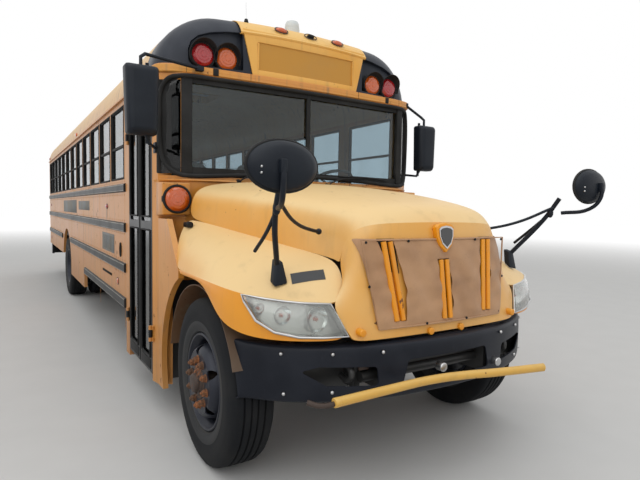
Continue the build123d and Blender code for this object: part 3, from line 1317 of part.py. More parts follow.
for name, sign in (("left", 1), ("right", -1)):
    with BuildPart() as knuckle:
        with Locations(*[(sign * KINGPIN_X, at(0), AXLE_Z + way * FORK_Z) for way in (-1, 1)]):
            Cylinder(EYE_R + 5, FORK_PLATE)
        with Locations(*[(sign * (KINGPIN_X + 45), at(0), AXLE_Z + way * FORK_Z) for way in (-1, 1)]):
            Box(70, 100, FORK_PLATE)
        with Locations((sign * (KINGPIN_X + 65), at(0), AXLE_Z)):
            Box(30, 110, 2 * FORK_Z + FORK_PLATE)
        with Locations((sign * KINGPIN_X, at(0), AXLE_Z)):
            Cylinder(KINGPIN_R, 2 * FORK_Z)
        with Locations((sign * (SPINDLE_START + SPINDLE_LENGTH / 2), at(0), AXLE_Z)):
            Cylinder(SPINDLE_R, SPINDLE_LENGTH, rotation=(0, 90, 0))
    knuckle.part.label = f"knuckle_{name}"
    export_step(knuckle.part, f"parts/knuckle_{name}.step")

# Rear axle: tube, banjo housing for the gears and the pinion nose
AXLE_TUBE_R = 70
AXLE_TUBE_HALF = REAR_INNER_X + 60
BANJO_R = 190
BANJO_DEPTH = 220
NOSE_R = 60
AXLE_NOSE = WHEELBASE - 350
REAR_SPINDLE_END = REAR_HUB_X - 30

with BuildPart() as rear_axle:
    with Locations((0, at(WHEELBASE), AXLE_Z)):
        Cylinder(AXLE_TUBE_R, 2 * AXLE_TUBE_HALF, rotation=(0, 90, 0))
        Cylinder(SPINDLE_R, 2 * REAR_SPINDLE_END, rotation=(0, 90, 0))
        Cylinder(BANJO_R, BANJO_DEPTH, rotation=(90, 0, 0))
        Cylinder(BANJO_R - 60, BANJO_DEPTH + 90, rotation=(90, 0, 0))
    with Locations((0, at((AXLE_NOSE + WHEELBASE) / 2), AXLE_Z + 30)):
        Cylinder(NOSE_R, WHEELBASE - AXLE_NOSE, rotation=(90, 0, 0))
rear_axle.part.label = "rear_axle"
export_step(rear_axle.part, "parts/rear_axle.step")

# Driveshaft from the gearbox to the axle's nose
GEARBOX_REAR = 1150
SHAFT_R = 45
YOKE_R = 58
YOKE_LENGTH = 80

with BuildPart() as driveshaft:
    with Locations((0, at((GEARBOX_REAR + AXLE_NOSE) / 2), AXLE_Z + 45)):
        Cylinder(SHAFT_R, AXLE_NOSE - GEARBOX_REAR - 2 * SEAT_GAP, rotation=(90, 0, 0))
    for station in (GEARBOX_REAR + SEAT_GAP + YOKE_LENGTH / 2, AXLE_NOSE - SEAT_GAP - YOKE_LENGTH / 2):
        with Locations((0, at(station), AXLE_Z + 45)):
            Cylinder(YOKE_R, YOKE_LENGTH, rotation=(90, 0, 0))
driveshaft.part.label = "driveshaft"
export_step(driveshaft.part, "parts/driveshaft.step")

# Engine as one plain block with its gearbox and mounts
ENGINE = {"station": 50, "z": 1060, "width": 600, "length": 1150, "height": 640}
GEARBOX = {"front": 600, "z": 710, "width": 360, "height": 300}
ENGINE_MOUNTS = (-300, 450)

with BuildPart() as engine_block:
    with Locations((0, at(ENGINE["station"]), ENGINE["z"])):
        Box(ENGINE["width"], ENGINE["length"], ENGINE["height"])
    with Locations((0, at((GEARBOX_REAR + GEARBOX["front"]) / 2), GEARBOX["z"])):
        Box(GEARBOX["width"], GEARBOX_REAR - GEARBOX["front"], GEARBOX["height"])
    for station in ENGINE_MOUNTS:
        with Locations((0, at(station), RAIL_TOP - 80)):
            Box(2 * (RAIL_HALF - RAIL_WEB - SEAT_GAP), 90, 60)
engine_block.part.label = "engine_block"
export_step(engine_block.part, "parts/engine_block.step")

# Fuel tank outside the right rail
TANK_WIDTH = 620
TANK_LENGTH = 1200
TANK_HEIGHT = 440
TANK_GAP_TO_WHEEL = 860
TANK_Z = RAIL_TOP - 230

with BuildPart() as fuel_tank:
    with Locations(
        (-(RAIL_HALF + SEAT_GAP + TANK_WIDTH / 2), at(WHEELBASE - TANK_GAP_TO_WHEEL - TANK_LENGTH / 2), TANK_Z)
    ):
        Box(TANK_WIDTH, TANK_LENGTH, TANK_HEIGHT)
    fillet(fuel_tank.edges().filter_by(Axis.Y), 60)
fuel_tank.part.label = "fuel_tank"
export_step(fuel_tank.part, "parts/fuel_tank.step")

# Tyre and disc wheel, drawn once about the origin with the outer side towards +X
TYRE_SECTIONS = [
    {"offset": -110, "radius": RIM_R + 14},
    {"offset": -TYRE_WIDTH / 2, "radius": TYRE_R - 120},
    {"offset": -TYRE_WIDTH / 2 + 8, "radius": TYRE_R - 45},
    {"offset": -TYRE_WIDTH / 2 + 35, "radius": TYRE_R},
    {"offset": TYRE_WIDTH / 2 - 35, "radius": TYRE_R},
    {"offset": TYRE_WIDTH / 2 - 8, "radius": TYRE_R - 45},
    {"offset": TYRE_WIDTH / 2, "radius": TYRE_R - 120},
    {"offset": 110, "radius": RIM_R + 14},
]
RIM_WIDTH = 220
RIM_SHEET = 12
DISC_SHEET = 14
DISH_DEPTH = 90
DISH_TAPER = 54
HAND_HOLES = 5
HAND_HOLE_R = 26
HAND_HOLE_CIRCLE = 192
STUDS = 10
STUD_CIRCLE = 138
NUT_R = 19
NUT_HEIGHT = 26
FRONT_DISC = 105
REAR_DISC = 160
HUB_R = 104


def wheel_plane(offset):
    """Upright plane across the wheel's axis with local x up."""
    return Plane(origin=(offset, 0, 0), x_dir=(0, 0, 1), z_dir=(1, 0, 0))


def tyre_polygon(radius, mode=Mode.ADD):
    """Polygon about the wheel's axis that stands on one of its flats."""
    RegularPolygon(radius, TYRE_SIDES, major_radius=False, rotation=180 / TYRE_SIDES, mode=mode)


def disc_wheel(face, nut_side):
    """Rim and dished disc about the origin; face is the disc's place, nut_side the side its nuts stand on."""
    with BuildPart() as wheel:
        with BuildSketch(wheel_plane(-RIM_WIDTH / 2)):
            tyre_polygon(RIM_R)
            tyre_polygon(RIM_R - RIM_SHEET, mode=Mode.SUBTRACT)
        extrude(amount=RIM_WIDTH)
        for depth, mode in ((0, Mode.ADD), (DISC_SHEET, Mode.SUBTRACT)):
            with BuildSketch(wheel_plane(face - DISH_DEPTH - depth)):
                tyre_polygon(RIM_R - RIM_SHEET / 2 - depth / 2)
            with BuildSketch(wheel_plane(face - depth)):
                tyre_polygon(RIM_R - DISH_TAPER - depth / 2)
            loft(ruled=True, mode=mode)
        with BuildSketch(wheel_plane(face - 2 * DISC_SHEET)):
            with PolarLocations(HAND_HOLE_CIRCLE, HAND_HOLES):
                RegularPolygon(HAND_HOLE_R, 8)
        extrude(amount=3 * DISC_SHEET, mode=Mode.SUBTRACT)
        with BuildSketch(wheel_plane(face if nut_side > 0 else face - DISC_SHEET)):
            with PolarLocations(STUD_CIRCLE, STUDS):
                RegularPolygon(NUT_R, 6)
        extrude(amount=nut_side * NUT_HEIGHT)
    return wheel.part


with BuildPart() as tyre:
    for row in TYRE_SECTIONS:
        with BuildSketch(wheel_plane(row["offset"])):
            tyre_polygon(row["radius"])
    loft(ruled=True)
    with BuildSketch(wheel_plane(-TYRE_WIDTH)):
        tyre_polygon(RIM_R + SEAT_GAP)
    extrude(amount=2 * TYRE_WIDTH, mode=Mode.SUBTRACT)


FRONT_HUB = (SPINDLE_START + 25, FRONT_TYRE_FACE + 23)
FRONT_BORE = (SPINDLE_START + 24, SPINDLE_START + SPINDLE_LENGTH + 5.3)
REAR_HUB = (AXLE_TUBE_HALF + 21, REAR_OUTER_X)
REAR_BORE = (AXLE_TUBE_HALF, REAR_SPINDLE_END + SEAT_GAP)
front_disc = disc_wheel(FRONT_DISC, 1)
rear_disc = disc_wheel(REAR_DISC, -1)

for name, sign, turn in (("left", 1, 0), ("right", -1, 180)):
    with BuildPart() as front_tyre:
        with Locations((sign * FRONT_WHEEL_X, at(0), AXLE_Z)):
            add(tyre.part)
    front_tyre.part.label = f"front_tyre_{name}"
    export_step(front_tyre.part, f"parts/front_tyre_{name}.step")
    with BuildPart() as front_wheel:
        with Locations((sign * FRONT_WHEEL_X, at(0), AXLE_Z)):
            add(front_disc, rotation=(0, 0, turn))
        with Locations((sign * sum(FRONT_HUB) / 2, at(0), AXLE_Z)):
            Cylinder(HUB_R, FRONT_HUB[1] - FRONT_HUB[0], rotation=(0, 90, 0))
        with Locations((sign * sum(FRONT_BORE) / 2, at(0), AXLE_Z)):
            Cylinder(
                SPINDLE_R + RUNNING_GAP, FRONT_BORE[1] - FRONT_BORE[0], rotation=(0, 90, 0), mode=Mode.SUBTRACT
            )
    front_wheel.part.label = f"front_wheel_{name}"
    export_step(front_wheel.part, f"parts/front_wheel_{name}.step")
    with BuildPart() as rear_tyres:
        with Locations(*[(sign * x, at(WHEELBASE), AXLE_Z) for x in (REAR_INNER_X, REAR_OUTER_X)]):
            add(tyre.part)
    rear_tyres.part.label = f"rear_tyres_{name}"
    export_step(rear_tyres.part, f"parts/rear_tyres_{name}.step")
    with BuildPart() as rear_wheels:
        with Locations((sign * REAR_INNER_X, at(WHEELBASE), AXLE_Z)):
            add(rear_disc, rotation=(0, 0, turn))
        with Locations((sign * REAR_OUTER_X, at(WHEELBASE), AXLE_Z)):
            add(rear_disc, rotation=(0, 0, 180 - turn))
        with Locations((sign * sum(REAR_HUB) / 2, at(WHEELBASE), AXLE_Z)):
            Cylinder(HUB_R, REAR_HUB[1] - REAR_HUB[0], rotation=(0, 90, 0))
        with Locations((sign * sum(REAR_BORE) / 2, at(WHEELBASE), AXLE_Z)):
            Cylinder(
                SPINDLE_R + RUNNING_GAP, REAR_BORE[1] - REAR_BORE[0], rotation=(0, 90, 0), mode=Mode.SUBTRACT
            )
    rear_wheels.part.label = f"rear_wheels_{name}"
    export_step(rear_wheels.part, f"parts/rear_wheels_{name}.step")

# Benches for the passengers and a seat for the driver, drawn from the side
SEAT_WIDTH = 960
SEAT_X = BODY_HALF - 69 - SEAT_WIDTH / 2
CUSHION_TOP = FLOOR_TOP + 450
SEAT_SETBACK = 500
DRIVER_X = 520
DRIVER_STATION = 1500
BENCHES = [
    {"x": sign * SEAT_X, "station": BAYS_START + SEAT_SETBACK + BAY_PITCH * i, "width": SEAT_WIDTH}
    for i in range(BAYS - 1)
    for sign in (-1, 1)
] + [{"x": DRIVER_X, "station": DRIVER_STATION, "width": 500}]

with BuildPart() as seat_pads:
    for bench in BENCHES:
        station = bench["station"]
        with BuildSketch(side(bench["x"] - bench["width"] / 2)):
            with BuildLine():
                Polyline(
                    (station - 190, CUSHION_TOP - 110),
                    (station + 190, CUSHION_TOP - 110),
                    (station + 190, CUSHION_TOP - 10),
                    (station - 150, CUSHION_TOP),
                    (station - 190, CUSHION_TOP - 35),
                    close=True,
                )
            make_face()
            with BuildLine():
                Polyline(
                    (station + 190 + SEAT_GAP, CUSHION_TOP - 90),
                    (station + 275, CUSHION_TOP - 90),
                    (station + 310, CUSHION_TOP + 560),
                    (station + 285, CUSHION_TOP + 585),
                    (station + 250, CUSHION_TOP + 570),
                    close=True,
                )
            make_face()
        extrude(amount=bench["width"])
seat_pads.part.label = "seat_pads"
export_step(seat_pads.part, "parts/seat_pads.step")

LEG_WIDTH = 30
with BuildPart() as seat_frames:
    for bench in BENCHES:
        reach = bench["width"] / 2 - 100
        for way in (-1, 1):
            leg_x = bench["x"] + way * reach
            over_house = abs(leg_x) > WHEEL_HOUSE_X and abs(bench["station"] - WHEELBASE) < REAR_ARCH_R + 160
            foot = WHEEL_HOUSE_TOP if over_house else FLOOR_TOP
            with Locations((leg_x, at(bench["station"]), (foot + CUSHION_TOP - 110) / 2)):
                Box(LEG_WIDTH, 300, CUSHION_TOP - 110 - foot)
seat_frames.part.label = "seat_frames"
export_step(seat_frames.part, "parts/seat_frames.step")

# Dash with its toe board
DASH_FRONT = 785
DASH_REAR = 955
DASH_PROFILE = [
    (DASH_FRONT, FLOOR_TOP),
    (DASH_FRONT + 70, FLOOR_TOP),
    (DASH_FRONT + 70, 1380),
    (DASH_REAR, 1460),
    (DASH_REAR, 1690),
    (DASH_REAR - 55, 1750),
    (DASH_FRONT, 1750),
]
WHEEL_TILT = 30
WHEEL_CENTRE = (DRIVER_X, at(1160), 1850)
COLUMN_R = 25
COLUMN_LENGTH = 450
STEERING_R = 236
STEERING_RIM = 30
STEERING_SIDES = 36
steering_plane = Location(WHEEL_CENTRE, (-WHEEL_TILT, 0, 0))

with BuildPart() as dash_panel:
    with BuildSketch(side(-FOOT_HALF)):
        with BuildLine():
            Polyline(*DASH_PROFILE, close=True)
        make_face()
    extrude(amount=2 * FOOT_HALF)
dash_panel.part.label = "dash_panel"
export_step(dash_panel.part, "parts/dash_panel.step")

with BuildPart() as steering_wheel:
    with BuildSketch(Plane(steering_plane)):
        RegularPolygon(STEERING_R, STEERING_SIDES)
        RegularPolygon(STEERING_R - STEERING_RIM, STEERING_SIDES, mode=Mode.SUBTRACT)
    extrude(amount=STEERING_RIM / 2, both=True)
    with Locations(steering_plane):
        Cylinder(50, 34)
        Box(2 * (STEERING_R - STEERING_RIM / 2), 32, 14)
    with Locations(steering_plane * Location((0, 0, -COLUMN_LENGTH / 2))):
        Cylinder(COLUMN_R, COLUMN_LENGTH)
    add(dash_panel.part, mode=Mode.SUBTRACT)
steering_wheel.part.label = "steering_wheel"
export_step(steering_wheel.part, "parts/steering_wheel.step")
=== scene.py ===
"""Looks of a parked yellow school bus, built around its fixed CAD frame."""

from __future__ import annotations

import json
import logging
import math
from contextlib import contextmanager
from dataclasses import dataclass
from enum import Enum
from typing import Any, Callable, Iterator, Sequence

import bmesh
import bpy
from mathutils import Matrix, Vector

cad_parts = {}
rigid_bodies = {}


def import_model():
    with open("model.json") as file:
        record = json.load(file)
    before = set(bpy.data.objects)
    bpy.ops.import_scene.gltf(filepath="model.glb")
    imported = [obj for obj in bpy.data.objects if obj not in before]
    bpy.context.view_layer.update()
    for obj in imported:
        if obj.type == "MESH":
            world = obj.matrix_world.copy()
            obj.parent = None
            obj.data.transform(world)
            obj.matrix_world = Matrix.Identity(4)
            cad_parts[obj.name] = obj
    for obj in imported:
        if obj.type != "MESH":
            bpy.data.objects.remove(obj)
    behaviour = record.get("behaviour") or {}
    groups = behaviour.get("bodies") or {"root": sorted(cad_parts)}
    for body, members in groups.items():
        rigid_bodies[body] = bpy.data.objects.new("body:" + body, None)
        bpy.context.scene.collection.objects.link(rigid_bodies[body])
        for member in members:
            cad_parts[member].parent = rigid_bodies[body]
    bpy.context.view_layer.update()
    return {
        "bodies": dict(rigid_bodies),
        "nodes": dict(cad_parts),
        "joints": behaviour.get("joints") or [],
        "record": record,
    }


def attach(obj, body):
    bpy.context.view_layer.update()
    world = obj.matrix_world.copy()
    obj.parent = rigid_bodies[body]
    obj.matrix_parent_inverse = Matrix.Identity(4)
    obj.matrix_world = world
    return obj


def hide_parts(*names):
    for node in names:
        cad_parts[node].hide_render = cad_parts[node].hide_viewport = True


log = logging.getLogger("school_bus")
Colour = tuple[float, float, float]
Point = tuple[float, float, float]
Rows = Sequence[Sequence[Point]]
Piece = bpy.types.Object
SIDE_NAMES = {-1: "right", 1: "left"}
SIDES = tuple(SIDE_NAMES.items())
AXLE_Y = -4.8


def at(station: float) -> float:
    """Place along Y of a station measured rearward from the front axle."""
    return AXLE_Y + station


class Tone:
    """A shader socket that takes part in Python arithmetic."""

    def __init__(self, shade: "Shade", socket: bpy.types.NodeSocket) -> None:
        """Wraps one output socket of a shade's node tree."""
        self.shade = shade
        self.socket = socket

    def _sum(self, operation: str, first: Any, second: Any) -> "Tone":
        """One Math node over two values."""
        return self.shade.node("Math", {"operation": operation}, {0: first, 1: second})

    def __add__(self, other: Any) -> "Tone":
        """Sum with a socket or a number."""
        return self._sum("ADD", self, other)

    __radd__ = __add__

    def __sub__(self, other: Any) -> "Tone":
        """Difference from a socket or a number."""
        return self._sum("SUBTRACT", self, other)

    def __rsub__(self, other: Any) -> "Tone":
        """A number less this socket."""
        return self._sum("SUBTRACT", other, self)

    def __mul__(self, other: Any) -> "Tone":
        """Product with a socket or a number."""
        return self._sum("MULTIPLY", self, other)

    __rmul__ = __mul__

    def ramp(self, low: float, high: float) -> "Tone":
        """Smooth mask that rises from nought at low to one at high.

        Args:
            low: Value at which the mask is nought; above high, the mask falls instead.
            high: Value at which the mask is one.

        Returns:
            The mask.
        """
        settings = {"interpolation_type": "SMOOTHSTEP"}
        return self.shade.node("MapRange", settings, {0: self, 1: low, 2: high})


class Shade:
    """One procedural material under construction."""

    def __init__(self, name: str) -> None:
        """Starts a material with a Principled surface."""
        self.material = bpy.data.materials.new(name)
        self.material.use_nodes = True
        self.tree = self.material.node_tree
        self.tree.nodes.clear()
        output = self.tree.nodes.new("ShaderNodeOutputMaterial")
        self.surface = self.tree.nodes.new("ShaderNodeBsdfPrincipled")
        self.tree.links.new(self.surface.outputs[0], output.inputs[0])
        self._coords: dict[str, Tone] = {}

    def feed(self, socket: bpy.types.NodeSocket, value: Any) -> None:
        """Links a tone to a socket, or sets the socket's own value."""
        if isinstance(value, Tone):
            self.tree.links.new(value.socket, socket)
        elif socket.type == "RGBA":
            flat = (value,) * 3 if isinstance(value, (int, float)) else tuple(value)
            socket.default_value = (*flat[:3], 1.0)
        else:
            socket.default_value = value

    def node(self, kind: str, settings: dict | None = None, inputs: dict | None = None,
             output: int | str = 0) -> Tone:
        """Makes any shader node.

        Args:
            kind: Node type after the ShaderNode prefix.
            settings: Attributes set before the sockets; "stops" fills a colour ramp.
            inputs: Values or tones by socket name or number.
            output: Which output to hand back.

        Returns:
            The chosen output as a tone.
        """
        made = self.tree.nodes.new("ShaderNode" + kind)
        for key, value in (settings or {}).items():
            if key == "stops":
                stops = made.color_ramp.elements
                stops.remove(stops[1])
                stops[0].position, stops[0].color = value[0][0], (*value[0][1], 1.0)
                for place, colour in value[1:]:
                    stops.new(place).color = (*colour, 1.0)
            else:
                setattr(made, key, value)
        for key, value in (inputs or {}).items():
            self.feed(made.inputs[key], value)
        return Tone(self, made.outputs[output])

    def coords(self) -> Tone:
        """Object coordinates, which on every piece are the bus's own metres."""
        if "object" not in self._coords:
            self._coords["object"] = self.node("TexCoord", output="Object")
        return self._coords["object"]

    def along(self, axis: int, normal: bool = False) -> Tone:
        """One coordinate of the place, or of the surface normal."""
        key = f"{axis}{normal}"
        if key not in self._coords:
            source = self.node("NewGeometry", output="Normal") if normal else self.coords()
            self._coords[key] = self.node("SeparateXYZ", None, {0: source}, axis)
        return self._coords[key]

    def noise(self, scale: float, detail: float = 3.0, stretch: Point = (1, 1, 1)) -> Tone:
        """Soft noise over the object's metres, stretched along its axes."""
        where = self.node("Mapping", None, {"Vector": self.coords(), "Scale": stretch})
        return self.node("TexNoise", None, {"Vector": where, "Scale": scale, "Detail": detail})

    def mix(self, factor: Any, first: Any, second: Any) -> Tone:
        """Blends two colours."""
        return self.node("Mix", {"data_type": "RGBA"}, {0: factor, 6: first, 7: second}, 2)

    def bump(self, height: Tone, strength: float, distance: float) -> None:
        """Adds relief to the surface."""
        inputs = {"Height": height, "Strength": strength, "Distance": distance}
        self.feed(self.surface.inputs["Normal"], self.node("Bump", None, inputs))

    def finish(self, **sockets: Any) -> bpy.types.Material:
        """Fills the surface's sockets and hands the material back.

        Args:
            sockets: Values by socket name, with underscores for spaces.

        Returns:
            The finished material.
        """
        for key, value in sockets.items():
            self.feed(self.surface.inputs[key.replace("_", " ")], value)
        return self.material


@dataclass(frozen=True)
class Enamel:
    """Weathered vehicle enamel that fades where it faces the sky."""

    name: str
    fresh: Colour
    faded: Colour
    side_fade: float = 0.25
    top_fade: float = 0.85
    rust: float = 0.5
    streaks: float = 0.5
    dirt: Colour = (0.16, 0.12, 0.08)
    rust_colour: Colour = (0.13, 0.045, 0.015)

    def make(self) -> bpy.types.Material:
        """Builds the paint with fading, run-off streaks, rust spots and road dirt."""
        s = Shade(self.name)
        up = s.along(2, normal=True).ramp(0.1, 0.85)
        cloud = s.noise(1.6, 4.0)
        fade = cloud.ramp(0.3, 0.75) * 0.35 + up * self.top_fade + self.side_fade
        colour = s.mix(fade.ramp(0.0, 1.25), self.fresh, self.faded)
        runs = s.noise(5.0, 4.0, (4.0, 4.0, 0.35)).ramp(0.52, 0.8) * (1 - up)
        colour = s.mix(runs * self.streaks, colour, self.dirt)
        grime = s.noise(9.0, 5.0).ramp(0.55, 0.85) * 0.3 + s.along(2).ramp(1.15, 0.35) * 0.45
        colour = s.mix(grime * 0.6, colour, self.dirt)
        spots = s.noise(26.0, 6.0, (1.0, 1.0, 0.6))
        patches = s.noise(2.3, 3.0).ramp(0.5, 0.72)
        rust = (spots + patches * 0.12).ramp(0.79 - 0.14 * self.rust, 0.83 - 0.12 * self.rust)
        colour = s.mix(rust, colour, self.rust_colour)
        peel = s.noise(160.0, 2.0)
        s.bump(peel * 0.35 - rust * 0.8 + s.noise(3.0, 2.0) * 1.5, 0.12, 0.004)
        rough = fade * 0.22 + grime * 0.3 + rust * 0.4 + 0.24
        return s.finish(Base_Color=colour, Roughness=rough, IOR=1.5)


@dataclass(frozen=True)
class Moulding:
    """Moulded plastic, rubber or satin black paint with dust in its grain."""

    name: str
    colour: Colour
    dust: Colour = (0.14, 0.14, 0.13)
    dusty: float = 0.35
    rough: float = 0.45
    grain: float = 300.0
    relief: float = 0.15
    metal: float = 0.0
    shine: float = 0.22

    def make(self) -> bpy.types.Material:
        """Builds the surface with grain, dust on upward faces and scuffs."""
        s = Shade(self.name)
        up = s.along(2, normal=True).ramp(0.2, 1.0)
        cloud = s.noise(4.0, 5.0)
        scuff = s.noise(30.0, 5.0, (1.0, 3.0, 0.5)).ramp(0.6, 0.8)
        layer = (cloud.ramp(0.4, 0.7) * 0.5 + up * 0.6 + scuff * 0.4) * self.dusty
        colour = s.mix(layer, self.colour, self.dust)
        fine = s.noise(self.grain, 3.0)
        s.bump(fine + scuff * 0.4, self.relief, 0.002)
        rough = layer * 0.4 + fine * 0.1 + (self.rough - 0.05)
        return s.finish(Base_Color=colour, Roughness=rough, Metallic=self.metal,
                        Specular_IOR_Level=self.shine)


@dataclass(frozen=True)
class Iron:
    """Bare, galvanised or rusting metal."""

    name: str
    colour: Colour
    rust: float = 0.5
    rough: float = 0.45
    metal: float = 0.9
    rust_colour: Colour = (0.17, 0.065, 0.025)

    def make(self) -> bpy.types.Material:
        """Builds the metal with rust that grows from blotches."""
        s = Shade(self.name)
        blotch = s.noise(7.0, 6.0)
        pits = s.noise(70.0, 4.0)
        rust = (blotch + pits * 0.35).ramp(1.05 - 0.75 * self.rust, 1.2 - 0.65 * self.rust)
        tone = s.mix(pits, self.rust_colour, tuple(c * 2.1 for c in self.rust_colour))
        colour = s.mix(rust, self.colour, tone)
        s.bump(pits + rust * blotch, 0.3, 0.002)
        return s.finish(Base_Color=colour, Roughness=rust * 0.4 + pits * 0.12 + self.rough - 0.06,
                        Metallic=(1 - rust) * self.metal)


@dataclass(frozen=True)
class Lens:
    """Moulded lamp lens with fine prisms."""

    name: str
    colour: Colour
    glow: float = 0.12
    clear: float = 0.35

    def make(self) -> bpy.types.Material:
        """Builds the lens, a little cloudy and crazed with age."""
        s = Shade(self.name)
        where = s.node("Mapping", None, {"Vector": s.coords(), "Scale": (90.0, 90.0, 90.0)})
        prisms = s.node("TexVoronoi", {"distance": "CHEBYCHEV"}, {"Vector": where, "Scale": 1.0})
        haze = s.noise(14.0, 5.0).ramp(0.4, 0.8)
        pale = tuple(min(1.0, c * 0.8 + 0.05) for c in self.colour)
        colour = s.mix(haze * 0.35, self.colour, pale)
        s.bump(prisms, 0.35, 0.003)
        return s.finish(Base_Color=colour, Roughness=haze * 0.2 + 0.12, Coat_Weight=1.0,
                        Transmission_Weight=self.clear, Emission_Color=colour,
                        Emission_Strength=self.glow)


@dataclass(frozen=True)
class Glass:
    """Tinted safety glass with patches of dust."""

    name: str
    tint: Colour
    dust: float = 0.25

    def make(self) -> bpy.types.Material:
        """Builds clear glass with run-off marks."""
        s = Shade(self.name)
        film = s.noise(3.0, 5.0, (1.0, 1.0, 0.4)).ramp(0.45, 0.85)
        colour = s.mix(film * self.dust, self.tint, tuple(c * 0.72 for c in self.tint))
        return s.finish(Base_Color=colour, Roughness=film * 0.05 + 0.01, IOR=1.45,
                        Transmission_Weight=1.0)


@dataclass(frozen=True)
class Cloth:
    """Coated cloth with a fine weave and broad stains."""

    name: str
    colour: Colour
    stain: Colour
    weave: float = 900.0
    rough: float = 0.6
    relief: float = 0.2

    def make(self) -> bpy.types.Material:
        """Builds the cloth with two crossing thread directions."""
        s = Shade(self.name)
        blot = s.noise(5.0, 5.0).ramp(0.35, 0.75)
        wrinkle = s.noise(14.0, 3.0, (1.0, 1.0, 0.6))
        colour = s.mix(blot * 0.6, self.colour, self.stain)
        colour = s.mix(s.noise(60.0, 4.0).ramp(0.55, 0.8) * 0.25, colour, self.stain)
        threads = s.noise(self.weave, 1.0, (1.0, 1.0, 0.25)) + s.noise(self.weave, 1.0, (0.25, 0.25, 1.0))
        s.bump(threads * 0.5 + wrinkle * 3.0, self.relief, 0.003)
        return s.finish(Base_Color=colour, Roughness=blot * 0.12 + self.rough, Sheen_Weight=0.25)


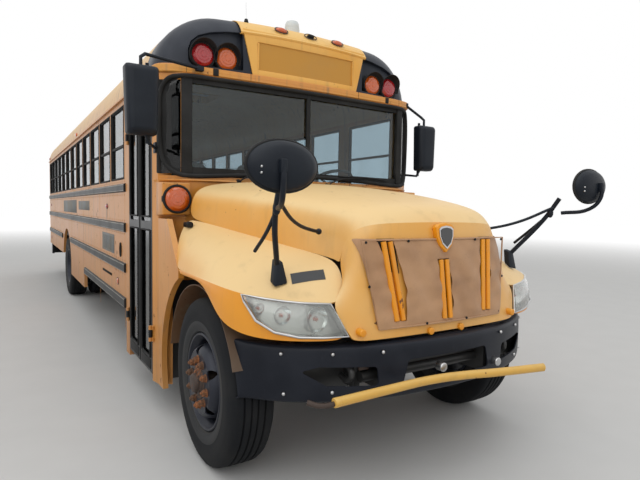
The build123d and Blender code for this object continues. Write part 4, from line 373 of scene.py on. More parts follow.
class Finish(Enum):
    """Every finish of the bus, by the part it belongs to."""

    BODY = Enamel("body_paint", (0.60, 0.215, 0.010), (0.66, 0.36, 0.13), 0.28, 0.5, 0.62, 0.45)
    SIDE = Enamel("side_paint", (0.54, 0.20, 0.034), (0.60, 0.31, 0.12), 0.45, 0.45, 0.62, 0.6)
    ROOF = Enamel("roof_paint", (0.62, 0.30, 0.06), (0.72, 0.50, 0.24), 0.35, 0.7, 0.55, 0.7)
    HOOD = Enamel("hood_paint", (0.76, 0.345, 0.035), (0.84, 0.60, 0.29), 0.22, 0.85, 0.22, 0.12)
    CREASE = Enamel("fender_side_paint", (0.82, 0.30, 0.004), (0.80, 0.40, 0.06), 0.05, 0.5, 0.2, 0.15)
    BLACK = Moulding("black_enamel", (0.008, 0.009, 0.011), (0.06, 0.06, 0.06), 0.2, 0.3)
    RAIL = Moulding("rail_black", (0.014, 0.016, 0.018), (0.12, 0.12, 0.11), 0.4, 0.4)
    BUMPER = Moulding("bumper_black", (0.006, 0.008, 0.014), (0.05, 0.055, 0.07), 0.3, 0.36)
    SHELL = Moulding("mirror_shell", (0.007, 0.010, 0.016), (0.04, 0.05, 0.06), 0.3, 0.42)
    RUBBER = Moulding("gasket_rubber", (0.012, 0.012, 0.012), (0.08, 0.08, 0.08), 0.4, 0.65)
    TYRE = Moulding("tyre_rubber", (0.007, 0.008, 0.010), (0.05, 0.047, 0.042), 0.4, 0.78, 120.0, 0.3)
    SIDEWALL = Moulding("sidewall_ring", (0.030, 0.031, 0.033), (0.09, 0.085, 0.075), 0.6, 0.7, 120.0, 0.3)
    DISC = Iron("wheel_disc", (0.016, 0.019, 0.030), 0.15, 0.42, 0.3)
    HUB = Iron("rusty_hub", (0.060, 0.042, 0.034), 0.45, 0.6, 0.4)
    CHASSIS = Iron("chassis_black", (0.022, 0.021, 0.020), 0.35, 0.6, 0.3)
    STEEL = Iron("bright_steel", (0.55, 0.55, 0.55), 0.12, 0.3, 1.0)
    SPRING = Iron("spring_leaf", (0.12, 0.10, 0.09), 0.6, 0.55, 0.7)
    CAST = Iron("cast_iron", (0.08, 0.07, 0.065), 0.5, 0.6, 0.6)
    TANK = Iron("tank_steel", (0.05, 0.05, 0.05), 0.3, 0.5, 0.4)
    GLASS = Glass("window_glass", (0.50, 0.57, 0.62))
    DOOR_GLASS = Glass("door_glass", (0.12, 0.15, 0.17))
    WINDSHIELD = Glass("windshield_glass", (0.50, 0.62, 0.66))
    RED = Lens("red_lens", (0.42, 0.008, 0.012), 0.06, 0.2)
    AMBER = Lens("amber_lens", (0.62, 0.10, 0.003), 0.06, 0.2)
    CLEAR = Lens("clear_lens", (0.80, 0.82, 0.78), 0.0, 0.95)
    # Ochre of the blank signs; its brown tone is partly painted shade of the recess under the brow.
    SIGN = Moulding("blank_sign", (0.52, 0.26, 0.05), (0.40, 0.24, 0.09), 0.5, 0.35)
    HATCH = Moulding("hatch_lid", (0.55, 0.52, 0.44), (0.25, 0.22, 0.17), 0.5, 0.5)
    COVER = Cloth("tan_cover", (0.46, 0.255, 0.125), (0.28, 0.145, 0.07))
    SEAT = Cloth("seat_vinyl", (0.045, 0.075, 0.065), (0.02, 0.035, 0.03), 500.0, 0.45)
    TUBE = Moulding("seat_tube", (0.03, 0.03, 0.03), (0.1, 0.1, 0.1), 0.3, 0.4)
    FLOOR = Moulding("floor_rubber", (0.02, 0.02, 0.02), (0.12, 0.11, 0.10), 0.7, 0.7)
    DASH = Moulding("dash_plastic", (0.03, 0.03, 0.032), (0.12, 0.12, 0.12), 0.5, 0.6)
    GATE = Enamel("gate_paint", (0.78, 0.42, 0.05), (0.82, 0.55, 0.17), 0.2, 0.4, 0.5, 0.2)
    STOP = Enamel("stop_red", (0.42, 0.02, 0.015), (0.45, 0.08, 0.05), 0.2, 0.3, 0.3, 0.3)
    CAP = Moulding("cap_moulding", (0.020, 0.024, 0.034), (0.10, 0.11, 0.13), 0.35, 0.34)
    CREST = Enamel("sign_frame_paint", (0.74, 0.33, 0.02), (0.80, 0.50, 0.16), 0.3, 0.6, 0.4, 0.25)
    TRIM = Enamel("trim_paint", (0.70, 0.34, 0.03), (0.62, 0.26, 0.07), 0.6, 0.9, 0.5, 0.8)
    # Near-black finish: painted shade in the empty marker hole, the panel slits and the latch dish, and the
    # black of the side reflector bars.
    SOOT = Moulding("dark_hollow", (0.006, 0.006, 0.006), (0.02, 0.02, 0.02), 0.3, 0.8)
    STROBE = Moulding("strobe_lens", (0.62, 0.66, 0.66), (0.42, 0.44, 0.42), 0.3, 0.2)
    SMOKE = Glass("corner_glass", (0.10, 0.11, 0.10))
    NUT = Iron("rusty_nut", (0.11, 0.060, 0.036), 0.55, 0.7, 0.3)
    # Pale painted highlight along the edges of the rub rails.
    WORN = Moulding("worn_edge", (0.34, 0.33, 0.30), (0.10, 0.10, 0.09), 0.8, 0.45)
    PATCH = Moulding("grey_patch", (0.16, 0.17, 0.17), (0.30, 0.24, 0.16), 0.7, 0.5)
    TAPE = Moulding("grey_tape", (0.055, 0.060, 0.065), (0.10, 0.10, 0.10), 0.4, 0.4)
    # Yellow paint darkened to brown as painted shade inside the front wheel arches.
    LINER = Enamel("arch_liner", (0.20, 0.075, 0.018), (0.10, 0.06, 0.035), 0.6, 0.8, 0.8, 0.9)
    PLATE = Iron("mirror_glass", (0.75, 0.78, 0.80), 0.0, 0.04, 1.0)

    def material(self) -> bpy.types.Material:
        """The finish's material, made the first time it is asked for."""
        found = bpy.data.materials.get(self.value.name)
        return found or self.value.make()


NODE_FINISHES: dict[Finish, tuple[str, ...]] = {
    Finish.BODY: ("front_frame", "rear_wall", "rear_door"),
    Finish.SIDE: ("side_wall_right", "side_wall_left"),
    Finish.ROOF: ("roof_shell",),
    Finish.BLACK: ("front_cap", "rear_bumper", "door_leaf_front", "door_leaf_rear"),
    Finish.RAIL: ("rub_rails",),
    Finish.BUMPER: ("front_bumper",),
    Finish.HOOD: ("hood_shell",),
    Finish.SHELL: ("crossview_mirrors", "side_mirrors"),
    Finish.RUBBER: ("window_sashes",),
    Finish.TYRE: ("front_tyre_left", "front_tyre_right", "rear_tyres_left", "rear_tyres_right"),
    Finish.DISC: ("front_wheel_left", "front_wheel_right", "rear_wheels_left", "rear_wheels_right"),
    Finish.CHASSIS: ("chassis_frame",),
    Finish.SPRING: ("leaf_springs", "driveshaft"),
    Finish.CAST: ("front_axle", "knuckle_left", "knuckle_right", "rear_axle", "engine_block"),
    Finish.TANK: ("fuel_tank",),
    Finish.GLASS: ("window_glass", "rear_door_glass"),
    Finish.DOOR_GLASS: ("door_glass_front", "door_glass_rear"),
    Finish.WINDSHIELD: ("windshield",),
    Finish.RED: ("lamp_lenses",),
    Finish.CLEAR: ("headlights",),
    Finish.SIGN: ("sign_boards",),
    Finish.HATCH: ("roof_hatch_front", "roof_hatch_rear"),
    Finish.COVER: ("grille_cover",),
    Finish.SEAT: ("seat_pads",),
    Finish.TUBE: ("seat_frames",),
    Finish.FLOOR: ("floor_deck", "step_well"),
    Finish.DASH: ("dash_panel", "steering_wheel"),
    Finish.GATE: ("crossing_gate",),
    Finish.STOP: ("stop_arm",),
}


def dress_nodes(nodes: dict[str, Piece]) -> None:
    """Gives every CAD node its finish."""
    for finish, names in NODE_FINISHES.items():
        for name in names:
            if name in nodes:
                mesh = nodes[name].data
                mesh.materials.clear()
                mesh.materials.append(finish.material())


class Bench:
    """Modelling bench, where pieces start as primitives and operators shape them."""

    def only(self, *pieces: Piece) -> None:
        """Selects these pieces alone, the first of them active."""
        for other in list(bpy.context.selected_objects):
            other.select_set(False)
        for piece in pieces:
            piece.select_set(True)
        bpy.context.view_layer.objects.active = pieces[0] if pieces else None

    def _new(self, name: str) -> Piece:
        """Names the primitive just added and puts its place in its mesh."""
        piece = bpy.context.object
        piece.name = name
        self.only(piece)
        bpy.ops.object.transform_apply(location=True, rotation=True, scale=True)
        return piece

    def box(self, name: str, low: Point, high: Point, soft: float = 0.0,
            segments: int = 2) -> Piece:
        """Block between two corners.

        Args:
            name: Name of the piece.
            low: Lowest corner.
            high: Highest corner.
            soft: Width of the bevel on its edges.
            segments: Faces across that bevel.

        Returns:
            The block.
        """
        middle = [(a + b) / 2 for a, b in zip(low, high)]
        bpy.ops.mesh.primitive_cube_add(size=1.0, location=middle)
        bpy.context.object.scale = [b - a for a, b in zip(low, high)]
        piece = self._new(name)
        if soft:
            self.modify(piece, "BEVEL", width=soft, segments=segments, limit_method="NONE")
        return piece

    def slab(self, name: str, x: float, half: float, stations: tuple[float, float],
             heights: tuple[float, float], soft: float = 0.0, segments: int = 2) -> Piece:
        """Block that lies evenly about one distance from the middle of the bus.

        Args:
            name: Name of the piece.
            x: Its middle across the bus.
            half: Half its width there.
            stations: Where it starts and ends along the bus.
            heights: Its foot and its top.
            soft: Width of the bevel on its edges.
            segments: Faces across that bevel.

        Returns:
            The block.
        """
        low, high = ((x + way * half, at(y), z) for way, y, z in zip((-1, 1), stations, heights))
        return self.box(name, low, high, soft, segments)

    def drum(self, name: str, centre: Point, axis: Point, radius: float, depth: float,
             sides: int = 32, tip: float | None = None, soft: float = 0.0) -> Piece:
        """Cylinder or cone about an axis.

        Args:
            name: Name of the piece.
            centre: Middle of its axis.
            axis: Direction of the axis.
            radius: Radius at the near end.
            depth: Length along the axis.
            sides: Number of sides.
            tip: Radius at the far end, where it differs.
            soft: Bevel on the two rims.

        Returns:
            The drum.
        """
        turn = Vector(axis).to_track_quat("Z", "Y").to_euler()
        far = radius if tip is None else tip
        bpy.ops.mesh.primitive_cone_add(vertices=sides, radius1=radius, radius2=far, depth=depth,
                                        location=centre, rotation=turn)
        piece = self._new(name)
        if soft:
            self.modify(piece, "BEVEL", width=soft, segments=3, limit_method="ANGLE",
                        angle_limit=math.radians(40))
        return piece

    def ball(self, name: str, centre: Point, radii: Point, segments: int = 24,
             rings: int = 14) -> Piece:
        """Ellipsoid with its own radius along each axis."""
        bpy.ops.mesh.primitive_uv_sphere_add(segments=segments, ring_count=rings, location=centre)
        bpy.context.object.scale = radii
        return self._new(name)

    def sweep(self, name: str, points: Sequence[Point], radius: float, smooth: bool = True,
              sides: int = 3, closed: bool = False) -> Piece:
        """Round tube along a line of points.

        Args:
            name: Name of the piece.
            points: Places that the tube passes.
            radius: Radius of the tube.
            smooth: Whether the line bends softly at its points.
            sides: Fineness of the tube's round.
            closed: Whether the line returns to its start.

        Returns:
            The tube as a mesh with closed ends.
        """
        data = bpy.data.curves.new(name, "CURVE")
        data.dimensions = "3D"
        data.bevel_depth, data.bevel_resolution = radius, sides
        data.use_fill_caps, data.resolution_u = not closed, 6
        spline = data.splines.new("BEZIER" if smooth else "POLY")
        target = spline.bezier_points if smooth else spline.points
        target.add(len(points) - 1)
        for knot, point in zip(target, points):
            knot.co = point if smooth else (*point, 1.0)
            if smooth:
                knot.handle_left_type = knot.handle_right_type = "AUTO"
        spline.use_cyclic_u = closed
        curve = bpy.data.objects.new(name, data)
        bpy.context.scene.collection.objects.link(curve)
        self.only(curve)
        bpy.ops.object.convert(target="MESH")
        return bpy.context.object

    def hoop(self, name: str, points: Sequence[Point], radius: float, sides: int = 2) -> Piece:
        """Round tube along a closed line."""
        return self.sweep(name, points, radius, False, sides, True)

    def skin(self, name: str, rows: Rows, outward: Point | None = None) -> Piece:
        """Sheet of faces through rows of points.

        Args:
            name: Name of the piece.
            rows: Rows of equally many points.
            outward: A direction that its faces look towards on the whole.

        Returns:
            The sheet.
        """
        across, deep = len(rows[0]), len(rows)
        bpy.ops.mesh.primitive_grid_add(x_subdivisions=across - 1, y_subdivisions=deep - 1)
        piece = self._new(name)
        for vertex, point in zip(piece.data.vertices, [p for row in rows for p in row]):
            vertex.co = point
        piece.data.update()
        if outward is not None:
            total = sum((p.normal * p.area for p in piece.data.polygons), Vector())
            if total.dot(Vector(outward)) < 0:
                with self.editing(piece):
                    bpy.ops.mesh.select_all(action="SELECT")
                    bpy.ops.mesh.flip_normals()
        return piece

    def plate(self, name: str, outline: Sequence[tuple[float, float]], axis: int, low: float,
              high: float) -> Piece:
        """Flat outline pulled out along one axis.

        Args:
            name: Name of the piece.
            outline: Points in the two other axes, in their order.
            axis: Axis along which the outline is pulled.
            low: Where it starts on that axis.
            high: Where it ends.

        Returns:
            The plate.
        """
        corners = []
        for point in outline:
            corner = list(point)
            corner.insert(axis, low)
            corners.append(tuple(corner))
        mesh = bpy.data.meshes.new(name)
        mesh.from_pydata(corners, [], [tuple(range(len(corners)))])
        piece = bpy.data.objects.new(name, mesh)
        bpy.context.scene.collection.objects.link(piece)
        shift = [0.0, 0.0, 0.0]
        shift[axis] = high - low
        with self.editing(piece):
            bpy.ops.mesh.select_all(action="SELECT")
            bpy.ops.mesh.extrude_region_move(TRANSFORM_OT_translate={"value": shift})
            bpy.ops.mesh.select_all(action="SELECT")
            bpy.ops.mesh.normals_make_consistent(inside=False)
        return piece

    def prism(self, name: str, front: Sequence[Point], back: Sequence[Point]) -> Piece:
        """Closed solid between two loops of equally many points."""
        count = len(front)
        faces = [tuple(range(count)), tuple(range(2 * count - 1, count - 1, -1))]
        faces += [(i, count + i, count + (i + 1) % count, (i + 1) % count) for i in range(count)]
        mesh = bpy.data.meshes.new(name)
        mesh.from_pydata([*front, *back], [], faces)
        piece = bpy.data.objects.new(name, mesh)
        bpy.context.scene.collection.objects.link(piece)
        with self.editing(piece):
            bpy.ops.mesh.select_all(action="SELECT")
            bpy.ops.mesh.normals_make_consistent(inside=False)
        return piece

    def plug(self, name: str, outline: Sequence[tuple[float, float]], near: float, far: float) -> Piece:
        """Solid between two stations with one upright outline."""
        return self.prism(name, *([(x, at(y), z) for x, z in outline] for y in (near, far)))

    def lathe(self, name: str, profile: Sequence[tuple[float, float]], centre: Point,
              outward: float = 1.0, steps: int = 48, closed: bool = False) -> Piece:
        """Profile spun round an axis that lies along X.

        Args:
            name: Name of the piece.
            profile: Pairs of radius and place along the axis.
            centre: Point of the axis from which those places count.
            outward: 1 or -1, the way along X in which they grow.
            steps: Number of faces round the axis.
            closed: Whether the profile's last point joins its first.

        Returns:
            The turned piece.
        """
        points = [(centre[0] + outward * w, centre[1], centre[2] + r) for r, w in profile]
        edges = [(i, i + 1) for i in range(len(points) - 1)]
        if closed:
            edges.append((len(points) - 1, 0))
        mesh = bpy.data.meshes.new(name)
        mesh.from_pydata(points, edges, [])
        piece = bpy.data.objects.new(name, mesh)
        bpy.context.scene.collection.objects.link(piece)
        with self.editing(piece):
            bpy.ops.mesh.select_all(action="SELECT")
            bpy.ops.mesh.spin(steps=steps, angle=math.tau, center=centre, axis=(1.0, 0.0, 0.0))
            bpy.ops.mesh.select_all(action="SELECT")
            bpy.ops.mesh.remove_doubles(threshold=0.0002)
            bpy.ops.mesh.normals_make_consistent(inside=False)
        return piece

    @contextmanager
    def editing(self, piece: Piece) -> Iterator[None]:
        """Opens a piece for editing with nothing selected."""
        self.only(piece)
        bpy.ops.object.mode_set(mode="EDIT")
        bpy.ops.mesh.select_all(action="DESELECT")
        try:
            yield
        finally:
            bpy.ops.object.mode_set(mode="OBJECT")

    def pick(self, piece: Piece, test: Callable[[Any], bool], kind: str = "FACE") -> None:
        """Selects faces, edges or vertices of the piece being edited by a test."""
        bpy.ops.mesh.select_mode(type=kind)
        mesh = bmesh.from_edit_mesh(piece.data)
        for part in {"FACE": mesh.faces, "EDGE": mesh.edges, "VERT": mesh.verts}[kind]:
            part.select = test(part)
        mesh.select_flush_mode()
        bmesh.update_edit_mesh(piece.data)

    def modify(self, piece: Piece, kind: str, **settings: Any) -> Piece:
        """Adds one modifier to a piece and applies it."""
        self.only(piece)
        modifier = piece.modifiers.new(kind.lower(), kind)
        for key, value in settings.items():
            setattr(modifier, key, value)
        bpy.ops.object.modifier_apply(modifier=modifier.name)
        return piece

    def wall(self, piece: Piece, thickness: float, offset: float = -1.0) -> Piece:
        """Gives a sheet its thickness."""
        return self.modify(piece, "SOLIDIFY", thickness=thickness, offset=offset)

    def bevel(self, piece: Piece, width: float, segments: int, angle: float = 30.0) -> Piece:
        """Rounds the edges that are sharper than an angle in degrees."""
        return self.modify(piece, "BEVEL", width=width, segments=segments, limit_method="ANGLE",
                           angle_limit=math.radians(angle))

    def soften(self, piece: Piece, levels: int = 2) -> Piece:
        """Rounds a piece by subdivision."""
        return self.modify(piece, "SUBSURF", levels=levels, render_levels=levels)

    def cut(self, piece: Piece, *cutters: Piece) -> Piece:
        """Cuts the cutters' volumes out of a piece and removes the cutters."""
        for cutter in cutters:
            self.modify(piece, "BOOLEAN", operation="DIFFERENCE", object=cutter, solver="EXACT")
            bpy.data.objects.remove(cutter)
        return piece

    def mirror(self, piece: Piece) -> Piece:
        """Adds the piece's image on the other side of the bus."""
        return self.modify(piece, "MIRROR", use_axis=(True, False, False), merge_threshold=0.0005)

    def paint(self, piece: Piece, finish: Finish) -> Piece:
        """Gives a piece one finish."""
        piece.data.materials.clear()
        piece.data.materials.append(finish.material())
        return piece

    def copy(self, piece: Piece, name: str, move: Point = (0, 0, 0),
             turn: Matrix | None = None) -> Piece:
        """Copies a piece with its own mesh, turned about the origin and then moved."""
        other = piece.copy()
        other.data = piece.data.copy()
        other.name = name
        if turn is not None:
            other.data.transform(turn.to_4x4())
        other.data.transform(Matrix.Translation(move))
        bpy.context.scene.collection.objects.link(other)
        return other

    def scatter(self, piece: Piece, name: str, places: Sequence[Point]) -> Piece:
        """Copies a small model to many places in one mesh and removes the model."""
        verts = [tuple(v.co) for v in piece.data.vertices]
        faces = [tuple(p.vertices) for p in piece.data.polygons]
        all_verts = [(x + a, y + b, z + c) for a, b, c in places for x, y, z in verts]
        all_faces = [tuple(i + n * len(verts) for i in f) for n in range(len(places)) for f in faces]
        mesh = bpy.data.meshes.new(name)
        mesh.from_pydata(all_verts, [], all_faces)
        for material in piece.data.materials:
            mesh.materials.append(material)
        bpy.data.objects.remove(piece)
        made = bpy.data.objects.new(name, mesh)
        bpy.context.scene.collection.objects.link(made)
        return made

    def join(self, name: str, pieces: Sequence[Piece]) -> Piece:
        """Makes several pieces one, each keeping its finish."""
        self.only(*pieces)
        if len(pieces) > 1:
            bpy.ops.object.join()
        joined = bpy.context.view_layer.objects.active
        joined.name = name
        return joined

    def fit(self, name: str, pieces: Sequence[Piece], look: Finish, body: str, slot: str,
            replaces: Sequence[str] = (), angle: float = 35.0) -> Piece:
        """Joins pieces of one finish under a name and finishes them as one piece."""
        return self.finish(self.paint(self.join(name, pieces), look), body, slot, replaces, angle)

    def finish(self, piece: Piece, body: str, slot: str, replaces: Sequence[str] = (),
               angle: float = 35.0) -> Piece:
        """Shades a finished piece, lets it ride on its body and reports it.

        Args:
            piece: The finished piece.
            body: The CAD body that carries it.
            slot: The record's material slot of its finish; it is not used.
            replaces: CAD nodes that it stands for.
            angle: Sharpest angle in degrees that still shades smoothly.

        Returns:
            The piece.
        """
        self.only(piece)
        bpy.ops.object.transform_apply(location=True, rotation=True, scale=True)
        bpy.ops.object.shade_smooth_by_angle(angle=math.radians(angle))
        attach(piece, body)
        if replaces:
            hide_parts(*replaces)
        log.info("%s: %d faces on %s", piece.name, len(piece.data.polygons), body)
        return piece


BENCH = Bench()


def placed(line: Sequence[Point], side: int = 1) -> list[Point]:
    """Points given by stations for the left side, as places on one side of the bus."""
    return [(side * x, at(y), z) for x, y, z in line]


def oval(middle: Point, across: Point, up: Point, count: int) -> list[Point]:
    """Points round an oval.

    Args:
        middle: Its middle.
        across: Its first half axis.
        up: Its second half axis.
        count: Number of points.

    Returns:
        The points, without the first one again at the end.
    """
    angles = [math.tau * i / count for i in range(count)]
    return [tuple(m + p * math.cos(a) + q * math.sin(a) for m, p, q in zip(middle, across, up))
            for a in angles]


def rectangle(x0: float, z0: float, x1: float, z1: float) -> list[tuple[float, float]]:
    """Corners of an upright rectangle, in order round it."""
    return [(x0, z0), (x1, z0), (x1, z1), (x0, z1)]


def lerp(a: Sequence[float], b: Sequence[float], t: float) -> tuple[float, ...]:
    """Point a share t of the way from a to b."""
    return tuple(p + (q - p) * t for p, q in zip(a, b))


def along(plan: Sequence[Sequence[float]], x: float) -> float:
    """Station of a plan's line at a distance from the middle."""
    for (x0, y0, *_), (x1, y1, *_) in zip(plan, plan[1:]):
        if abs(x) <= x1:
            return y0 + (y1 - y0) * (abs(x) - x0) / (x1 - x0)
    return plan[-1][1]


def moved(rows: Rows) -> list[list[Point]]:
    """Rows given by stations, as places in the bus's frame."""
    return [placed(row) for row in rows]


@dataclass
class Studio:
    """Pale floor, soft light and the photograph's camera."""

    camera_at: Point = (-2.187, -7.806, 1.600)
    yaw: float = 32.05
    pitch: float = -3.5
    roll: float = 0.98
    lens: float = 28.575
    floor_half: float = 60.0
    floor_colour: Colour = (0.62, 0.62, 0.61)
    sky: float = 0.70
    lamp_energy: float = 780.0
    lamp_size: tuple[float, float] = (14.0, 18.0)
    lamp_at: Point = (-5.0, -8.0, 11.0)
    lamp_aim: Point = (0.0, -2.0, 1.0)
    fade_from: float = 9.0
    fade_to: float = 34.0

    def build(self) -> None:
        """Sets the camera, the world, the lamps and the floor."""
        self._camera()
        self._world()
        self._lamps()
        self._floor()

    def _camera(self) -> None:
        """Stands the camera where the photograph was taken."""
        yaw, pitch, roll = (math.radians(a) for a in (self.yaw, self.pitch, self.roll))
        ahead = Vector((math.sin(yaw) * math.cos(pitch), math.cos(yaw) * math.cos(pitch), math.sin(pitch)))
        right = Vector((math.cos(yaw), -math.sin(yaw), 0.0))
        up = right.cross(ahead)
        turned_right = right * math.cos(roll) + up * math.sin(roll)
        turned_up = up * math.cos(roll) - right * math.sin(roll)
        data = bpy.data.cameras.new("camera")
        data.sensor_width, data.lens = 36.0, self.lens
        data.clip_end = 500.0
        camera = bpy.data.objects.new("camera", data)
        bpy.context.scene.collection.objects.link(camera)
        turn = Matrix((turned_right, turned_up, -ahead)).transposed().to_4x4()
        camera.matrix_world = Matrix.Translation(self.camera_at) @ turn
        bpy.context.scene.camera = camera

    def _world(self) -> None:
        """Even sky, white to the camera, in glass and in reflections."""
        world = bpy.data.worlds.new("sky")
        bpy.context.scene.world = world
        world.use_nodes = True
        tree = world.node_tree
        path = tree.nodes.new("ShaderNodeLightPath")
        back = tree.nodes["Background"]
        back.inputs["Color"].default_value = (1.0, 1.0, 1.0, 1.0)
        either = tree.nodes.new("ShaderNodeMath")
        either.operation = "MAXIMUM"
        tree.links.new(path.outputs["Is Camera Ray"], either.inputs[0])
        tree.links.new(path.outputs["Is Glossy Ray"], either.inputs[1])
        seen = tree.nodes.new("ShaderNodeMath")
        seen.operation = "MAXIMUM"
        tree.links.new(either.outputs[0], seen.inputs[0])
        tree.links.new(path.outputs["Is Transmission Ray"], seen.inputs[1])
        level = tree.nodes.new("ShaderNodeMapRange")
        level.inputs["To Min"].default_value = self.sky
        level.inputs["To Max"].default_value = 1.0
        tree.links.new(seen.outputs[0], level.inputs["Value"])
        tree.links.new(level.outputs[0], back.inputs["Strength"])

    def _lamps(self) -> None:
        """One broad soft lamp above and ahead of the bus."""
        data = bpy.data.lights.new("overcast", "AREA")
        data.shape = "RECTANGLE"
        data.size, data.size_y = self.lamp_size
        data.energy = self.lamp_energy
        lamp = bpy.data.objects.new("overcast", data)
        bpy.context.scene.collection.objects.link(lamp)
        place = Vector(self.lamp_at)
        aim = (Vector(self.lamp_aim) - place).to_track_quat("-Z", "Y")
        lamp.matrix_world = Matrix.Translation(place) @ aim.to_matrix().to_4x4()

    def _floor(self) -> None:
        """Lays the pale floor, which fades to white far off."""
        bpy.ops.mesh.primitive_plane_add(size=2 * self.floor_half)
        floor = bpy.context.object
        floor.name = "floor"
        s = Shade("floor_pale")
        grit = s.noise(3.0, 5.0)
        reach = s.node("VectorMath", {"operation": "LENGTH"}, {0: s.coords()}, "Value")
        far = reach.ramp(self.fade_from, self.fade_to)
        colour = s.mix(grit, self.floor_colour, tuple(c * 0.93 for c in self.floor_colour))
        colour = s.mix(far, colour, (0.85, 0.85, 0.85))
        floor.data.materials.append(s.finish(Base_Color=colour, Roughness=0.9,
                                             Emission_Color=s.mix(far, (0.0, 0.0, 0.0), (0.45, 0.45, 0.45)),
                                             Emission_Strength=1.0))


